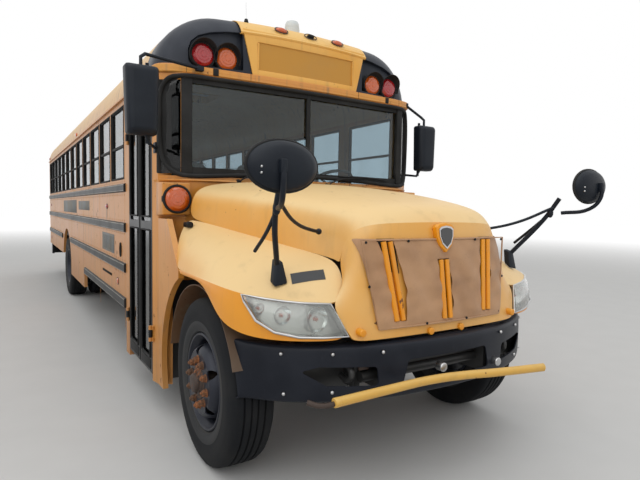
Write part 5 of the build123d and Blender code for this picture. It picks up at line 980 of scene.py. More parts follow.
@dataclass
class Hood:
    """Tilting hood: top, grille surround, fenders and the bands below their creases.

    Rows run from the cowl forward; points run from the middle to the left as (x, station, z).
    """

    thick: float = 0.012
    top: Rows = (
        ((0, .62, 1.81), (.42, .62, 1.805), (.78, .62, 1.782), (.93, .62, 1.752), (1.0, .62, 1.70),
         (1.025, .62, 1.61), (1.03, .62, 1.512)),
        ((0, .40, 1.79), (.41, .40, 1.784), (.74, .40, 1.760), (.87, .40, 1.728), (.935, .40, 1.675),
         (.955, .40, 1.585), (.96, .40, 1.482)),
        ((0, .0, 1.752), (.37, .0, 1.745), (.645, .0, 1.720), (.75, .0, 1.688), (.805, .0, 1.632),
         (.82, .0, 1.53), (.82, .0, 1.419)),
        ((0, -.40, 1.70), (.30, -.40, 1.694), (.54, -.40, 1.670), (.625, -.40, 1.638),
         (.668, -.40, 1.585), (.682, -.40, 1.48), (.685, -.40, 1.357)),
        ((0, -.66, 1.658), (.27, -.655, 1.652), (.465, -.645, 1.632), (.54, -.63, 1.602),
         (.582, -.62, 1.555), (.602, -.612, 1.455), (.612, -.615, 1.325)),
        ((0, -.78, 1.622), (.26, -.772, 1.616), (.445, -.755, 1.598), (.522, -.725, 1.572),
         (.572, -.69, 1.525), (.592, -.665, 1.43), (.602, -.66, 1.312)),
        ((0, -.845, 1.535), (.26, -.84, 1.532), (.42, -.822, 1.526), (.515, -.785, 1.512),
         (.572, -.735, 1.475), (.593, -.695, 1.40), (.604, -.69, 1.303)),
    )
    surround: Rows = (
        top[-1],
        ((0, -.858, 1.48), (.26, -.852, 1.478), (.44, -.834, 1.470), (.54, -.80, 1.445),
         (.590, -.755, 1.39), (.604, -.725, 1.33), (.610, -.715, 1.262)),
        ((0, -.872, 1.36), (.26, -.866, 1.36), (.46, -.848, 1.355), (.565, -.818, 1.33),
         (.606, -.785, 1.28), (.618, -.765, 1.235), (.624, -.757, 1.185)),
        ((0, -.89, 1.15), (.26, -.885, 1.15), (.46, -.872, 1.15), (.58, -.852, 1.142),
         (.64, -.828, 1.13), (.69, -.812, 1.117), (.731, -.803, 1.107)),
        ((0, -.902, 1.02), (.26, -.897, 1.02), (.46, -.887, 1.02), (.57, -.873, 1.018),
         (.622, -.86, 1.015), (.66, -.848, 1.012), (.690, -.842, 1.01)),
        ((0, -.915, .905), (.26, -.91, .905), (.46, -.90, .905), (.56, -.892, .907),
         (.60, -.887, .910), (.625, -.883, .915), (.648, -.878, .922)),
    )
    fender: Rows = (
        ((1.03, .62, 1.512), (1.07, .60, 1.478), (1.11, .56, 1.43), (1.15, .50, 1.365),
         (1.185, .43, 1.28), (1.20, .374, 1.185)),
        ((.96, .40, 1.482), (1.02, .38, 1.458), (1.075, .35, 1.42), (1.13, .31, 1.365),
         (1.18, .27, 1.285), (1.203, .25, 1.185)),
        ((.89, .20, 1.45), (.975, .18, 1.432), (1.05, .16, 1.402), (1.115, .14, 1.352),
         (1.175, .12, 1.275), (1.203, .11, 1.182)),
        ((.82, .0, 1.419), (.92, -.01, 1.405), (1.01, -.02, 1.380), (1.095, -.03, 1.335),
         (1.165, -.04, 1.265), (1.203, -.05, 1.180)),
        ((.752, -.20, 1.388), (.86, -.20, 1.374), (.97, -.20, 1.350), (1.07, -.20, 1.308),
         (1.155, -.20, 1.248), (1.202, -.20, 1.177)),
        ((.685, -.40, 1.357), (.79, -.395, 1.342), (.91, -.385, 1.318), (1.02, -.37, 1.283),
         (1.12, -.36, 1.232), (1.195, -.36, 1.172)),
        ((.612, -.615, 1.325), (.715, -.59, 1.302), (.835, -.565, 1.277), (.955, -.54, 1.245),
         (1.07, -.52, 1.206), (1.165, -.52, 1.16)),
        ((.606, -.69, 1.27), (.69, -.68, 1.25), (.785, -.67, 1.228), (.885, -.655, 1.20),
         (.99, -.64, 1.17), (1.09, -.635, 1.142)),
        ((.612, -.725, 1.22), (.69, -.73, 1.197), (.77, -.73, 1.173), (.85, -.725, 1.15),
         (.93, -.715, 1.135), (1.0, -.705, 1.127)),
        ((.622, -.765, 1.165), (.68, -.775, 1.146), (.74, -.778, 1.132), (.80, -.776, 1.123),
         (.86, -.768, 1.118), (.91, -.752, 1.118)),
        ((.65, -.79, 1.128), (.675, -.797, 1.118), (.70, -.80, 1.113), (.73, -.802, 1.108),
         (.78, -.795, 1.110), (.82, -.783, 1.112)),
    )
    band: Rows = (
        ((1.20, .374, 1.185), (1.203, .30, 1.178), (1.203, .30, 1.168), (1.20, .30, 1.158)),
        ((1.203, .11, 1.182), (1.205, .11, 1.174), (1.205, .11, 1.166), (1.20, .11, 1.158)),
        ((1.203, -.05, 1.180), (1.205, -.06, 1.172), (1.205, -.07, 1.165), (1.20, -.08, 1.158)),
        ((1.202, -.20, 1.177), (1.206, -.20, 1.16), (1.206, -.20, 1.14), (1.20, -.20, 1.12)),
        ((1.195, -.36, 1.172), (1.204, -.34, 1.13), (1.205, -.325, 1.09), (1.20, -.31, 1.055)),
        ((1.165, -.52, 1.16), (1.182, -.49, 1.10), (1.192, -.46, 1.035), (1.192, -.435, .975)),
        ((1.09, -.635, 1.142), (1.118, -.615, 1.08), (1.135, -.60, 1.01), (1.14, -.585, .940)),
        ((1.0, -.705, 1.127), (1.03, -.70, 1.07), (1.05, -.70, 1.0), (1.055, -.70, .930)),
        ((.91, -.752, 1.118), (.935, -.76, 1.06), (.945, -.77, .99), (.945, -.78, .925)),
        ((.82, -.783, 1.112), (.825, -.80, 1.05), (.822, -.82, .98), (.815, -.835, .922)),
        ((.731, -.803, 1.107), (.712, -.825, 1.05), (.695, -.85, .98), (.68, -.870, .92)),
    )
    lamp_top: tuple[Point, ...] = (
        (1.14, -.565, 1.150), (1.06, -.66, 1.137), (.97, -.72, 1.124), (.88, -.762, 1.114),
        (.80, -.788, 1.109), (.738, -.803, 1.104))
    lamp_foot: tuple[Point, ...] = (
        (1.135, -.59, 1.115), (1.10, -.66, 1.025), (1.03, -.735, .972), (.92, -.79, .945),
        (.80, -.835, .938), (.668, -.873, .938))

    def build(self) -> None:
        """Builds the painted panels, the headlights and the latches."""
        self._panels()
        self._headlights()
        self._trim()

    def _panel(self, name: str, rows: Rows, finish: Finish) -> Piece:
        """One painted panel of the left half, mirrored and given its thickness."""
        piece = BENCH.skin(name, moved(rows), (0.4, -0.4, 1.0))
        if rows[0][0][0] == 0:
            BENCH.mirror(piece)
        BENCH.soften(piece)
        BENCH.wall(piece, self.thick)
        return BENCH.paint(piece, finish)

    def _panels(self) -> None:
        """Top, surround, fenders and bands."""
        top = self._panel("hood_top", self.top, Finish.HOOD)
        BENCH.finish(top, "hood", "hood_yellow", ("hood_shell",), 50.0)
        surround = self._panel("grille_surround", self.surround, Finish.HOOD)
        BENCH.finish(surround, "hood", "hood_yellow", angle=50.0)
        for side, name in reversed(SIDES):
            fender = self._panel(f"fender_{name}", mirror_rows(self.fender, side), Finish.HOOD)
            BENCH.finish(fender, "hood", "hood_yellow", angle=50.0)
            if side < 0:
                self._tape(fender)
            BENCH.finish(BENCH.join("arch_liner_" + name, [self._liner(side)]), "hood", "hood_yellow",
                         angle=50.0)
            band = self._panel(f"fender_band_{name}", mirror_rows(self.band, side), Finish.CREASE)
            outline = [*self.lamp_top, *reversed(self.lamp_foot)]
            front = [(side * x, at(y) - 0.12, z) for x, y, z in outline]
            back = [(side * x * 0.97, at(y) + 0.10, z) for x, y, z in outline]
            BENCH.cut(band, BENCH.prism("lamp_hole", front, back))
            BENCH.finish(band, "hood", "hood_yellow", angle=50.0)

    def _headlights(self) -> None:
        """Lens, bezel, reflector and bulbs of each headlight."""
        for side, name in reversed(SIDES):
            top = [(side * x, y, z) for x, y, z in self.lamp_top]
            foot = [(side * x, y, z) for x, y, z in self.lamp_foot]
            rows = [[lerp(a, b, t) for a, b in zip(top, foot)] for t in (0, .25, .5, .75, 1)]
            bulge = [0.0, 0.014, 0.018, 0.014, 0.0]
            lens_rows = [[(x, at(y) - b - 0.004, z) for x, y, z in row] for row, b in zip(rows, bulge)]
            lens = BENCH.soften(BENCH.skin("lens", lens_rows, (0, -1, 0)))
            BENCH.wall(lens, 0.004)
            BENCH.paint(lens, Finish.CLEAR)
            BENCH.finish(lens, "hood", "headlamp_clear", ("headlights",))
            lens.name = f"headlight_lens_{name}"
            back = [[(x * .985, at(y) + 0.07 + 0.02 * math.sin(3 * i), z) for i, (x, y, z) in enumerate(row)]
                    for row in rows]
            tray = BENCH.paint(BENCH.skin("tray", back, (0, -1, 0)), Finish.STEEL)
            rim_line = [(x, at(y) - 0.004, z) for x, y, z in [*top, *reversed(foot)]]
            rim = BENCH.paint(BENCH.hoop("rim", rim_line, 0.006), Finish.STEEL)
            wall_rows = [rim_line + rim_line[:1],
                         [(x * .985, y + 0.078, z) for x, y, z in rim_line + rim_line[:1]]]
            wall = BENCH.paint(BENCH.skin("wall", wall_rows), Finish.STEEL)
            parts = [tray, rim, wall]
            for x, y, z, r in ((.80, -.775, 1.022, .066), (.965, -.70, 1.045, .05),
                               (1.06, -.62, 1.075, .03)):
                parts.append(self._bowl((side * x, at(y), z), r))
            lamp = BENCH.join(f"headlight_bowls_{name}", parts)
            BENCH.finish(lamp, "hood", "headlamp_clear")

    def _bowl(self, centre: Point, radius: float) -> Piece:
        """Bright dish with a bulb cap in its middle."""
        profile = [(radius, 0.0), (radius * .8, -.022), (radius * .5, -.036), (radius * .2, -.042)]
        dish = BENCH.lathe("dish", profile, (0, 0, 0), 1.0, 24)
        BENCH.wall(dish, 0.002)
        BENCH.paint(dish, Finish.PLATE)
        bulb = BENCH.paint(BENCH.ball("bulb", (-0.018, 0, 0), (.022, .012, .012), 12, 8), Finish.AMBER)
        bowl = BENCH.join("bowl", [dish, bulb])
        bowl.data.transform(Matrix.Rotation(math.radians(-90), 4, "Z"))
        bowl.data.transform(Matrix.Translation(centre))
        return bowl

    def surface(self, piece: Piece, x: float, y: float) -> float:
        """Height of a panel above a place of the ground."""
        hit, place, _, _ = piece.ray_cast(Vector((x, y, 3.0)), Vector((0.0, 0.0, -1.0)))
        return place.z if hit else 0.0

    def _tape(self, fender: Piece) -> None:
        """Grey tape stuck over a crack of the right fender."""
        edges = ((-.885, -.655), (-.705, -.705), (-.690, -.655), (-.865, -.595))
        rows = []
        for j in range(3):
            row = []
            for i in range(7):
                a, b = lerp(edges[0], edges[1], i / 6), lerp(edges[3], edges[2], i / 6)
                x, y = lerp(a, b, j / 2)
                row.append((x, at(y), self.surface(fender, x, at(y)) + .0015))
            rows.append(row)
        tape = BENCH.skin("fender_tape", rows, (0, 0, 1))
        BENCH.wall(tape, .001, 1.0)
        BENCH.finish(BENCH.paint(tape, Finish.TAPE), "hood", "black_trim")

    def _liner(self, side: int) -> Piece:
        """Inner arch over one front wheel: dark brown paint as painted shade under the fender, with dirt
        streaks and rust.
        """
        rows = []
        for x in (.80, .95, 1.10, 1.17):
            rows.append([(side * x, at(.03 + .60 * math.cos(a)), .53 + .585 * math.sin(a))
                         for a in (math.radians(8 + 152 * i / 20) for i in range(21))])
        liner = BENCH.skin("liner", rows)
        # The dark brown is painted shade under the fender.
        return BENCH.paint(BENCH.wall(liner, .004, 0.0), Finish.LINER)

    def _trim(self) -> None:
        """Rubber hood latches at the cowl."""
        for side, word in reversed(SIDES):
            strap = BENCH.slab("strap", side * 1.075, .014, (.50, .60), (1.455, 1.49), .006)
            knob = BENCH.drum("knob", (side * 1.075, at(.50), 1.475), (0, 1, 0), .022, .05, 16, soft=.005)
            BENCH.fit("hood_latch_" + word, [strap, knob], Finish.RUBBER, "hood", "black_trim")


def mirror_rows(rows: Rows, side: int) -> list[list[Point]]:
    """Rows of points on one side of the bus."""
    return [[(side * x, y, z) for x, y, z in row] for row in rows]


@dataclass
class Grille:
    """Winter cover stretched over the grille, the bars in its slots and the blank shield."""

    top_half: float = .577
    foot_half: float = .489
    top_z: float = 1.443
    foot_z: float = .954
    slots: tuple[tuple[float, float, float, float], ...] = (
        (-.414, 1.432, -.346, .993), (-.008, 1.322, .004, .976), (.374, 1.432, .346, .993))
    slot_half: float = .05
    proud: float = .010

    def face(self, x: float, z: float) -> float:
        """Station of the grille surround's face at a place on it."""
        return -.915 + .10 * (z - .905) + .11 * x * x + .28 * max(0.0, abs(x) - .42) ** 2

    def build(self) -> None:
        """Builds cover, bars and shield."""
        surround = bpy.data.objects["grille_surround"]
        self._cover(surround)
        self._bars()
        self._shield()
        self._hinge_feet()

    def _cover(self, surround: Piece) -> None:
        """Tan sheet laid on the surround with slots, a hem and pulled wrinkles."""
        rows = []
        for j in range(25):
            t = j / 24
            half = self.top_half + (self.foot_half - self.top_half) * t
            z = self.top_z + (self.foot_z - self.top_z) * t
            rows.append([(half * (2 * i / 40 - 1), at(-1.15), z) for i in range(41)])
        sheet = BENCH.skin("winter_cover", rows, (0, -1, 0))
        BENCH.modify(sheet, "SHRINKWRAP", target=surround, wrap_method="PROJECT", use_project_z=False,
                     use_project_y=True, use_positive_direction=True, use_negative_direction=False,
                     offset=self.proud)
        for vertex in sheet.data.vertices:
            x, z = vertex.co.x, vertex.co.z
            edge = min(1.0, (self.top_half - abs(x)) / .05, (z - self.foot_z) / .05, (self.top_z - z) / .04)
            pull = sum(math.exp(-((x - a) ** 2) / .012) for a, *_ in self.slots)
            ripple = (.006 * math.sin(31 * x + 19 * z) * math.sin(13 * z + 5 * x)
                      + .005 * math.sin(55 * z - 21 * x) * pull)
            crease = (.007 * math.exp(-((z - 1.19 - .10 * x) ** 2) / .0007) * (1 - pull * .4)
                      + .006 * math.exp(-((z - 1.08 + .3 * abs(x)) ** 2) / .0006))
            vertex.co.y -= max(0.0, edge) * (ripple + crease + .004)
        for x0, z0, x1, z1 in self.slots:
            half = self.slot_half
            outline = [(x0 - half, z0), (x0 + half * .9, z0), (x1 + half * 1.05, (z0 + z1) / 2 - .06),
                       (x1 + half * .85, z1), (x1 - half * .8, z1), (x1 - half * .75, (z0 + z1) / 2)]
            BENCH.cut(sheet, BENCH.plug("slot", outline, -1.3, -.7))
        BENCH.wall(sheet, 0.003, 1.0)
        BENCH.soften(sheet, 1)
        BENCH.paint(sheet, Finish.COVER)
        BENCH.finish(sheet, "hood", "tan_vinyl", ("grille_cover",), 60.0)
        hem = []
        for x, z in ((-1, 1), (1, 1), (1, 0), (-1, 0)):
            half = self.top_half if z else self.foot_half
            level = self.top_z if z else self.foot_z
            hem.append((x * half * .99, level - (.006 if z else -.006)))
        line = []
        for a, b in zip(hem, hem[1:] + hem[:1]):
            line += [lerp(a, b, t / 8) for t in range(8)]
        cord = [(x, at(self.face(x, z) - self.proud - .006), z) for x, z in line]
        edge = BENCH.paint(BENCH.hoop("cover_hem", cord, .005), Finish.COVER)
        BENCH.finish(edge, "hood", "tan_vinyl")
        studs = [(-.545, 1.425), (-.27, 1.43), (.27, 1.43), (.545, 1.425), (-.535, 1.19), (.535, 1.19),
                 (-.47, .975), (-.16, .965), (.16, .965), (.47, .975)]
        places = [(x, at(self.face(x, z) - self.proud - .010), z) for x, z in studs]
        stud = BENCH.paint(BENCH.drum("stud", (0, 0, 0), (0, 1, 0), .008, .006, 10, soft=.002),
                           Finish.RUBBER)
        BENCH.finish(BENCH.scatter(stud, "cover_studs", places), "hood", "black_trim")

    def _bars(self) -> None:
        """Dark rubber sheet behind each slot as painted shade of an opening, with two painted bars in it."""
        for number, (x0, z0, x1, z1) in enumerate(self.slots):
            # The dark sheet on the solid surround is painted shade standing in for the deep opening behind
            # the slot.
            backing = [[(x, at(self.face(x, z0) - .003), z0 + .012),
                        (x + x1 - x0, at(self.face(x, z1) - .003), z1 - .012)]
                       for x in (x0 - .058, x0 - .02, x0 + .02, x0 + .058)]
            dark = BENCH.paint(BENCH.skin("dark", backing, (0, -1, 0)), Finish.RUBBER)
            parts = [dark]
            for shift in (-.022, .024):
                top = (x0 + shift, at(self.face(x0, z0) - .014), z0 - .004)
                foot = (x1 + shift, at(self.face(x1, z1) - .014), z1 + .004)
                bar = BENCH.sweep("bar", [top, lerp(top, foot, .5), foot], .0155, False, 4)
                parts.append(BENCH.paint(bar, Finish.CREASE))
            piece = BENCH.join(f"grille_bars_{number + 1}", parts)
            BENCH.finish(piece, "hood", "hood_yellow")

    def _shield(self) -> None:
        """Blank shield with a raised rim above the middle slot."""
        outline = [(0, 1.356), (.045, 1.395), (.068, 1.45), (.072, 1.505), (.05, 1.522), (0, 1.530),
                   (-.05, 1.522), (-.072, 1.505), (-.068, 1.45), (-.045, 1.395)]
        station = self.face(0, 1.44)
        base = BENCH.plate("shield", outline, 1, at(station) - .034, at(station) + .004)
        BENCH.bevel(base, .006, 3, 50)
        BENCH.paint(base, Finish.CREASE)
        inner = [(x * .78, 1.448 + (z - 1.448) * .78) for x, z in outline]
        rim = BENCH.plate("rim", inner, 1, at(station) - .040, at(station) - .03)
        BENCH.paint(rim, Finish.STEEL)
        field_line = [(x * .64, 1.448 + (z - 1.448) * .64) for x, z in outline]
        middle = BENCH.paint(BENCH.plate("field", field_line, 1, at(station) - .043, at(station) - .036),
                             Finish.TANK)
        piece = BENCH.join("blank_shield", [base, rim, middle])
        piece.data.transform(Matrix.Translation((0, at(station), 1.44)) @ Matrix.Rotation(-.1, 4, "X")
                             @ Matrix.Translation((0, -at(station), -1.44)))
        BENCH.finish(piece, "hood", "hood_yellow")

    def _hinge_feet(self) -> None:
        """Painted hinge feet and bolt bosses under the surround."""
        places = [(x, at(-.905), .915) for x in (-.122, .122)] + [(x, at(-.893), .955) for x in (-.60, .60)]
        foot = BENCH.paint(BENCH.drum("foot", (0, 0, 0), (0, 1, 0), .021, .05, 16, soft=.006), Finish.CREASE)
        BENCH.finish(BENCH.scatter(foot, "surround_bosses", places), "hood", "hood_yellow")


@dataclass
class Bumper:
    """Wrapped steel bumper with its cut-outs, bolts and the crossing gate."""

    plan: tuple[tuple[float, float, float], ...] = (
        (0, -.968, 0), (.25, -.956, 0), (.475, -.926, 0), (.70, -.852, 0), (.87, -.768, 0),
        (1.0, -.668, 0), (1.085, -.56, 0), (1.125, -.49, .5), (1.14, -.43, 1))
    top: float = .885
    foot: float = .575
    skin: float = .008

    def front(self, x: float) -> float:
        """Station of the bumper's face at a distance from the middle."""
        return along(self.plan, x)

    def build(self) -> None:
        """Builds the bumper, what shows through it and the gate."""
        self._bumper()
        self._behind()
        self._bolts()
        self._gate()

    def _bumper(self) -> None:
        """Pressed sheet with a rolled top and foot, and three cut-outs."""
        shape = ((-.075, .0, 1.0), (-.045, .0, 1.0), (-.010, -.006, .99), (.0, -.028, .975),
                 (.003, -.10, .97),
                 (.004, -.20, .97), (.0, -.285, .97), (-.012, -.305, .965), (-.05, -.31, .955))
        rows = []
        for inset, drop, spread in shape:
            row = []
            for x, y, slant in self.plan:
                back = slant * (-.115) * (-drop / .31)
                row.append((x * (1 if spread > .98 else .985 + .015 * spread), at(y - inset + back),
                            self.top + drop))
            rows.append(row)
        piece = BENCH.skin("front_bumper_skin", rows, (0, -1, 0))
        BENCH.mirror(piece)
        BENCH.soften(piece, 2)
        BENCH.wall(piece, self.skin)
        holes = [((-.345, .650), (.345, .650), (.31, .785), (-.31, .785))]
        holes += [tuple((s * x, z)
                        for x, z in ((.49, .660), (.76, .672), (.885, .75), (.80, .775), (.50, .765)))
                  for s in (1, -1)]
        for outline in holes:
            front = [(x, at(-1.1), z) for x, z in outline]
            back = [(x, at(self.front(x) + .06), z) for x, z in outline]
            cutter = BENCH.prism("hole", front, back)
            BENCH.bevel(cutter, .02, 3, 30)
            BENCH.cut(piece, cutter)
        BENCH.paint(piece, Finish.BUMPER)
        BENCH.finish(piece, "bus_body", "black_trim", ("front_bumper",), 40.0)

    def _behind(self) -> None:
        """Frame horns, tow hooks and a cross tube in the dark behind the cut-outs."""
        dark = []
        for side in (1, -1):
            dark.append(BENCH.slab("horn", side * .39, .04, (-.90, -.60), (.60, .80), .008))
            hook = placed([(.62, -.72, .74), (.62, -.80, .76), (.62, -.845, .72), (.62, -.80, .68),
                           (.62, -.74, .69)], side)
            dark.append(BENCH.sweep("hook", hook, .017, True, 3))
            dark.append(BENCH.slab("brace", side * .55, .02, (-.80, -.66), (.62, .86), .005))
        dark.append(BENCH.drum("tube", (0, at(-.82), .69), (1, 0, 0), .03, 1.1, 20))
        dark.append(BENCH.box("pan", (-.95, at(-.70), .60), (.95, at(-.69), .87), .004))
        BENCH.fit("bumper_inner", dark, Finish.CHASSIS, "bus_body", "chassis_black")
        rust = BENCH.box("hinge_strap", (-.585, at(-.865), .74), (-.52, at(-.85), .80), .004)
        clamp = BENCH.box("clamp", (.46, at(-.885), .70), (.50, at(-.87), .81), .004)
        BENCH.fit("bumper_clamps", [rust, clamp], Finish.HUB, "bus_body", "spring_steel")

    def _bolts(self) -> None:
        """Round-headed bolts and the two bright sensors."""
        spots = [(s * x, z) for s in (1, -1) for x, z in
                 ((.475, .843), (.737, .843), (.968, .843), (.737, .64), (.955, .63))]
        places = [(x, at(self.front(x) - .002), z) for x, z in spots]
        bolt = BENCH.ball("bolt", (0, 0, 0), (.0105, .009, .0105), 12, 8)
        BENCH.paint(bolt, Finish.STEEL)
        BENCH.finish(BENCH.scatter(bolt, "bumper_bolts", places), "bus_body", "spring_steel")
        knobs = [BENCH.drum("knob", (x, at(-.985), .725), (0, 1, 0), .026, .05, 20, soft=.006)
                 for x in (-.10, .40)]
        knobs[1].data.transform(Matrix.Translation((0, .03, -.05)))
        BENCH.fit("bumper_knobs", knobs, Finish.STEEL, "bus_body", "spring_steel")

    def _gate(self) -> None:
        """Bent yellow gate tube on its rusty pivot rod."""
        line = [(-.863, -1.067, .69), (-.55, -1.055, .69), (-.25, -1.05, .69), (-.03, -1.082, .69),
                (.18, -1.14, .69), (.505, -1.212, .69)]
        tube = BENCH.sweep("gate_tube", placed(line), .021, True, 4)
        for vertex in tube.data.vertices:
            vertex.co.z = .69 + (vertex.co.z - .69) * 1.15
        BENCH.paint(tube, Finish.GATE)
        cap = BENCH.drum("cap", (-.865, at(-1.067), .69), (1, 0, 0), .024, .03, 20, soft=.004)
        rod = BENCH.sweep("rod", placed([(-1.0, -1.02, .70), (-.95, -1.055, .685), (-.86, -1.067, .685)]),
                          .013)
        BENCH.paint(rod, Finish.HUB)
        BENCH.paint(cap, Finish.GATE)
        BENCH.finish(BENCH.join("crossing_gate_tube", [tube, rod, cap]), "gate", "gate_yellow",
                     ("crossing_gate",))


@dataclass
class Mirrors:
    """Oval cross-view mirrors on the hood and long mirrors at the doors."""

    disc: Point = (1.160, -1.033, 1.781)
    disc_size: tuple[float, float, float] = (.171, .058, .110)

    def build(self) -> None:
        """Builds both pairs."""
        self._cross_view(-1)
        self._cross_view(1)
        self._door_mirror(-1, (1.40, .50, 2.29), (.108, .225))
        self._door_mirror(1, (1.30, .70, 2.20), (.10, .215))

    def _cross_view(self, side: int) -> None:
        """One convex oval head with its arm, legs and fender base."""
        x, y, z = self.disc
        wide, _, tall = self.disc_size
        rows = []
        for radius, depth in ((1.0, .0), (.985, .010), (.93, .025), (.75, .042), (.45, .054), (.1, .058)):
            ring = oval((side * x, at(y) - .02 - depth, z), (wide * radius, 0, 0), (0, 0, tall * radius), 32)
            rows.append(ring + ring[:1])
        shell = BENCH.skin("shell", rows, (0, -1, 0))
        BENCH.modify(shell, "WELD", merge_threshold=.001)
        with BENCH.editing(shell):
            BENCH.pick(shell, lambda e: e.is_boundary and abs(e.verts[0].co.x - side * x) < .05, "EDGE")
            bpy.ops.mesh.edge_face_add()
        BENCH.paint(BENCH.wall(shell, .004), Finish.SHELL)
        loop = oval((side * x, at(y) - .018, z), (wide, 0, 0), (0, 0, tall), 32)
        rim = BENCH.paint(BENCH.hoop("rim", loop, .009, 3), Finish.RUBBER)
        glass = BENCH.ball("glass", (side * x, at(y) - .018, z), (wide - .006, .035, tall - .005))
        with BENCH.editing(glass):
            BENCH.pick(glass, lambda f: f.calc_center_median().y < at(y) - .018)
            bpy.ops.mesh.delete(type="FACE")
        BENCH.paint(glass, Finish.PLATE)
        screws = [(side * x + dx, at(y) - .062, z + dz) for dx, dz in
                  ((-.12, -.01), (-.12, -.035), (-.03, -.01), (.075, .01), (.075, -.03))]
        screw = BENCH.paint(BENCH.ball("screw", (0, 0, 0), (.006, .008, .006), 8, 6), Finish.STEEL)
        pieces = [shell, rim, glass, BENCH.scatter(screw, "screws", screws)]
        pieces += [BENCH.paint(p, Finish.SHELL) for p in self._arms(side)]
        piece = BENCH.join("crossview_mirror_" + SIDE_NAMES[side], pieces)
        replaced = ("crossview_mirrors",) if side > 0 else ()
        BENCH.finish(piece, "hood", "mirror_black", replaced, 40.0)

    def _arms(self, side: int) -> list[Piece]:
        """Tubes of one cross-view mirror, in stations, and the base on the fender."""
        lines = [
            (((1.192, -1.122, 1.79), (1.19, -1.118, 1.70), (1.165, -1.06, 1.63), (1.10, -.90, 1.60)), .013),
            (((1.09, -.89, 1.70), (1.065, -.80, 1.56), (.955, -.61, 1.30)), .015),
            (((1.075, -.84, 1.60), (1.06, -.70, 1.48), (1.06, -.56, 1.372)), .010),
            (((1.08, -.86, 1.64), (.90, -.70, 1.53), (.71, -.58, 1.478), (.665, -.56, 1.472)), .010),
        ]
        parts = [BENCH.sweep("arm", placed(line, side), radius, True, 3)
                 for line, radius in lines]
        foot = [(.905, -.60, 1.20), (.985, -.60, 1.185), (.99, -.55, 1.21), (.905, -.55, 1.235)]
        crown = [(.925, -.625, 1.315), (.965, -.625, 1.315), (.965, -.57, 1.33), (.925, -.57, 1.33)]
        base = BENCH.prism("base", [(side * x, at(y) - .045, z) for x, y, z in foot],
                           placed(crown, side))
        BENCH.bevel(base, .008, 2)
        parts.append(base)
        parts.append(BENCH.ball("joint", (side * 1.075, at(-.835), 1.60), (.02, .02, .035), 12, 8))
        parts.append(BENCH.ball("tip", (side * .665, at(-.56), 1.472), (.018, .018, .018), 12, 8))
        parts.append(BENCH.slab("clip", side * 1.192, .016, (-1.134, -1.095), (1.745, 1.805), .006))
        return parts

    def _door_mirror(self, side: int, middle: Point, half: tuple[float, float]) -> None:
        """One long mirror: moulded shell, two glasses and its arms."""
        x, y, z = middle
        low = (side * x - half[0], at(y) - .055, z - half[1])
        high = (side * x + half[0], at(y) + .045, z + half[1])
        head = BENCH.box("head", low, high)
        with BENCH.editing(head):
            BENCH.pick(head, lambda f: f.normal.y < -.9)
            bpy.ops.mesh.inset(thickness=.03)
            bpy.ops.transform.translate(value=(0, -.03, 0))
        BENCH.bevel(head, .028, 5, 20)
        for vertex in head.data.vertices:
            taper = 1 - .12 * max(0.0, (z - vertex.co.z) / half[1])
            vertex.co.x = side * x + (vertex.co.x - side * x) * taper
        BENCH.paint(head, Finish.SHELL)
        for dz0, dz1 in ((-.10, half[1] - .03), (-half[1] + .03, -.12)):
            plate = BENCH.box("glass", (side * x - half[0] + .025, at(y) + .038, z + dz0),
                              (side * x + half[0] - .025, at(y) + .049, z + dz1), .008)
            BENCH.paint(plate, Finish.PLATE)
            head = BENCH.join("head", [head, plate])
        trim_x, trim_y = (.93, .72) if side < 0 else (1.14, .80)
        upper = [(side * x, at(y), z + half[1] - .02), (side * x, at(y), z + half[1] + .06),
                 (side * (x - .03), at(y) + .01, z + half[1] + .085), (side * trim_x, at(trim_y), 2.62)]
        lower = [(side * (x - .03), at(y), z - half[1] + .02),
                 (side * (x - .06), at(y) + .02, z - half[1] - .05),
                 (side * 1.21, at(.90), z - half[1] - .03)]
        pole = [(side * (x - .045), at(y) + .02, z + half[1] + .03),
                (side * (x - .045), at(y) + .02, z - half[1] - .05)]
        arms = [BENCH.sweep("arm", line, .012, False, 3) for line in (upper, lower, pole)]
        arms.append(BENCH.box("foot", (side * trim_x - .03, at(trim_y) - .02, 2.60),
                              (side * trim_x + .03, at(trim_y) + .02, 2.635), .006))
        arms.append(BENCH.box("foot", (side * 1.205 - .012, at(.87), z - half[1] - .07),
                              (side * 1.205 + .012, at(.93), z - half[1] + .01), .004))
        arms = [BENCH.paint(arm, Finish.SHELL) for arm in arms]
        piece = BENCH.join("door_mirror_" + SIDE_NAMES[side], [head, *arms])
        replaced = ("side_mirrors",) if side > 0 else ()
        BENCH.finish(piece, "bus_body", "mirror_black", replaced, 40.0)


class Side(Enum):
    """Way that a lamp looks."""

    AHEAD = -1
    BACK = 1


def lamp(name: str, middle: Point, side: Side, finish: Finish, radius: float = .086) -> list[Piece]:
    """Round lamp: stepped lens, dark rim and its can.

    Args:
        name: Name of the pieces.
        middle: Middle of the lens where it meets its seat.
        side: Way that it looks.
        finish: Finish of the lens.
        radius: Radius of the lens.

    Returns:
        The lens and the rim with its can.
    """
    turn = Matrix.Rotation(math.radians(90 * side.value), 4, "Z")
    k = radius / .086
    lens = BENCH.lathe(name, [(r * k, w) for r, w in (
        (0, .031), (.022, .030), (.024, .0275), (.045, .0265), (.047, .024), (.064, .021), (.066, .018),
        (.078, .011), (.083, .004), (.086, -.004))], (0, 0, 0), 1.0, 40)
    rim = BENCH.lathe(name + "_rim", [(r * k, w) for r, w in (
        (.084, -.002), (.084, .006), (.088, .010), (.095, .009), (.099, .003), (.100, -.03), (.0, -.03))],
                      (0, 0, 0), 1.0, 40)
    made = []
    for piece, look in ((lens, finish), (rim, Finish.RUBBER)):
        made.append(BENCH.paint(BENCH.copy(piece, piece.name + "_set", middle, turn), look))
        bpy.data.objects.remove(piece)
    return made


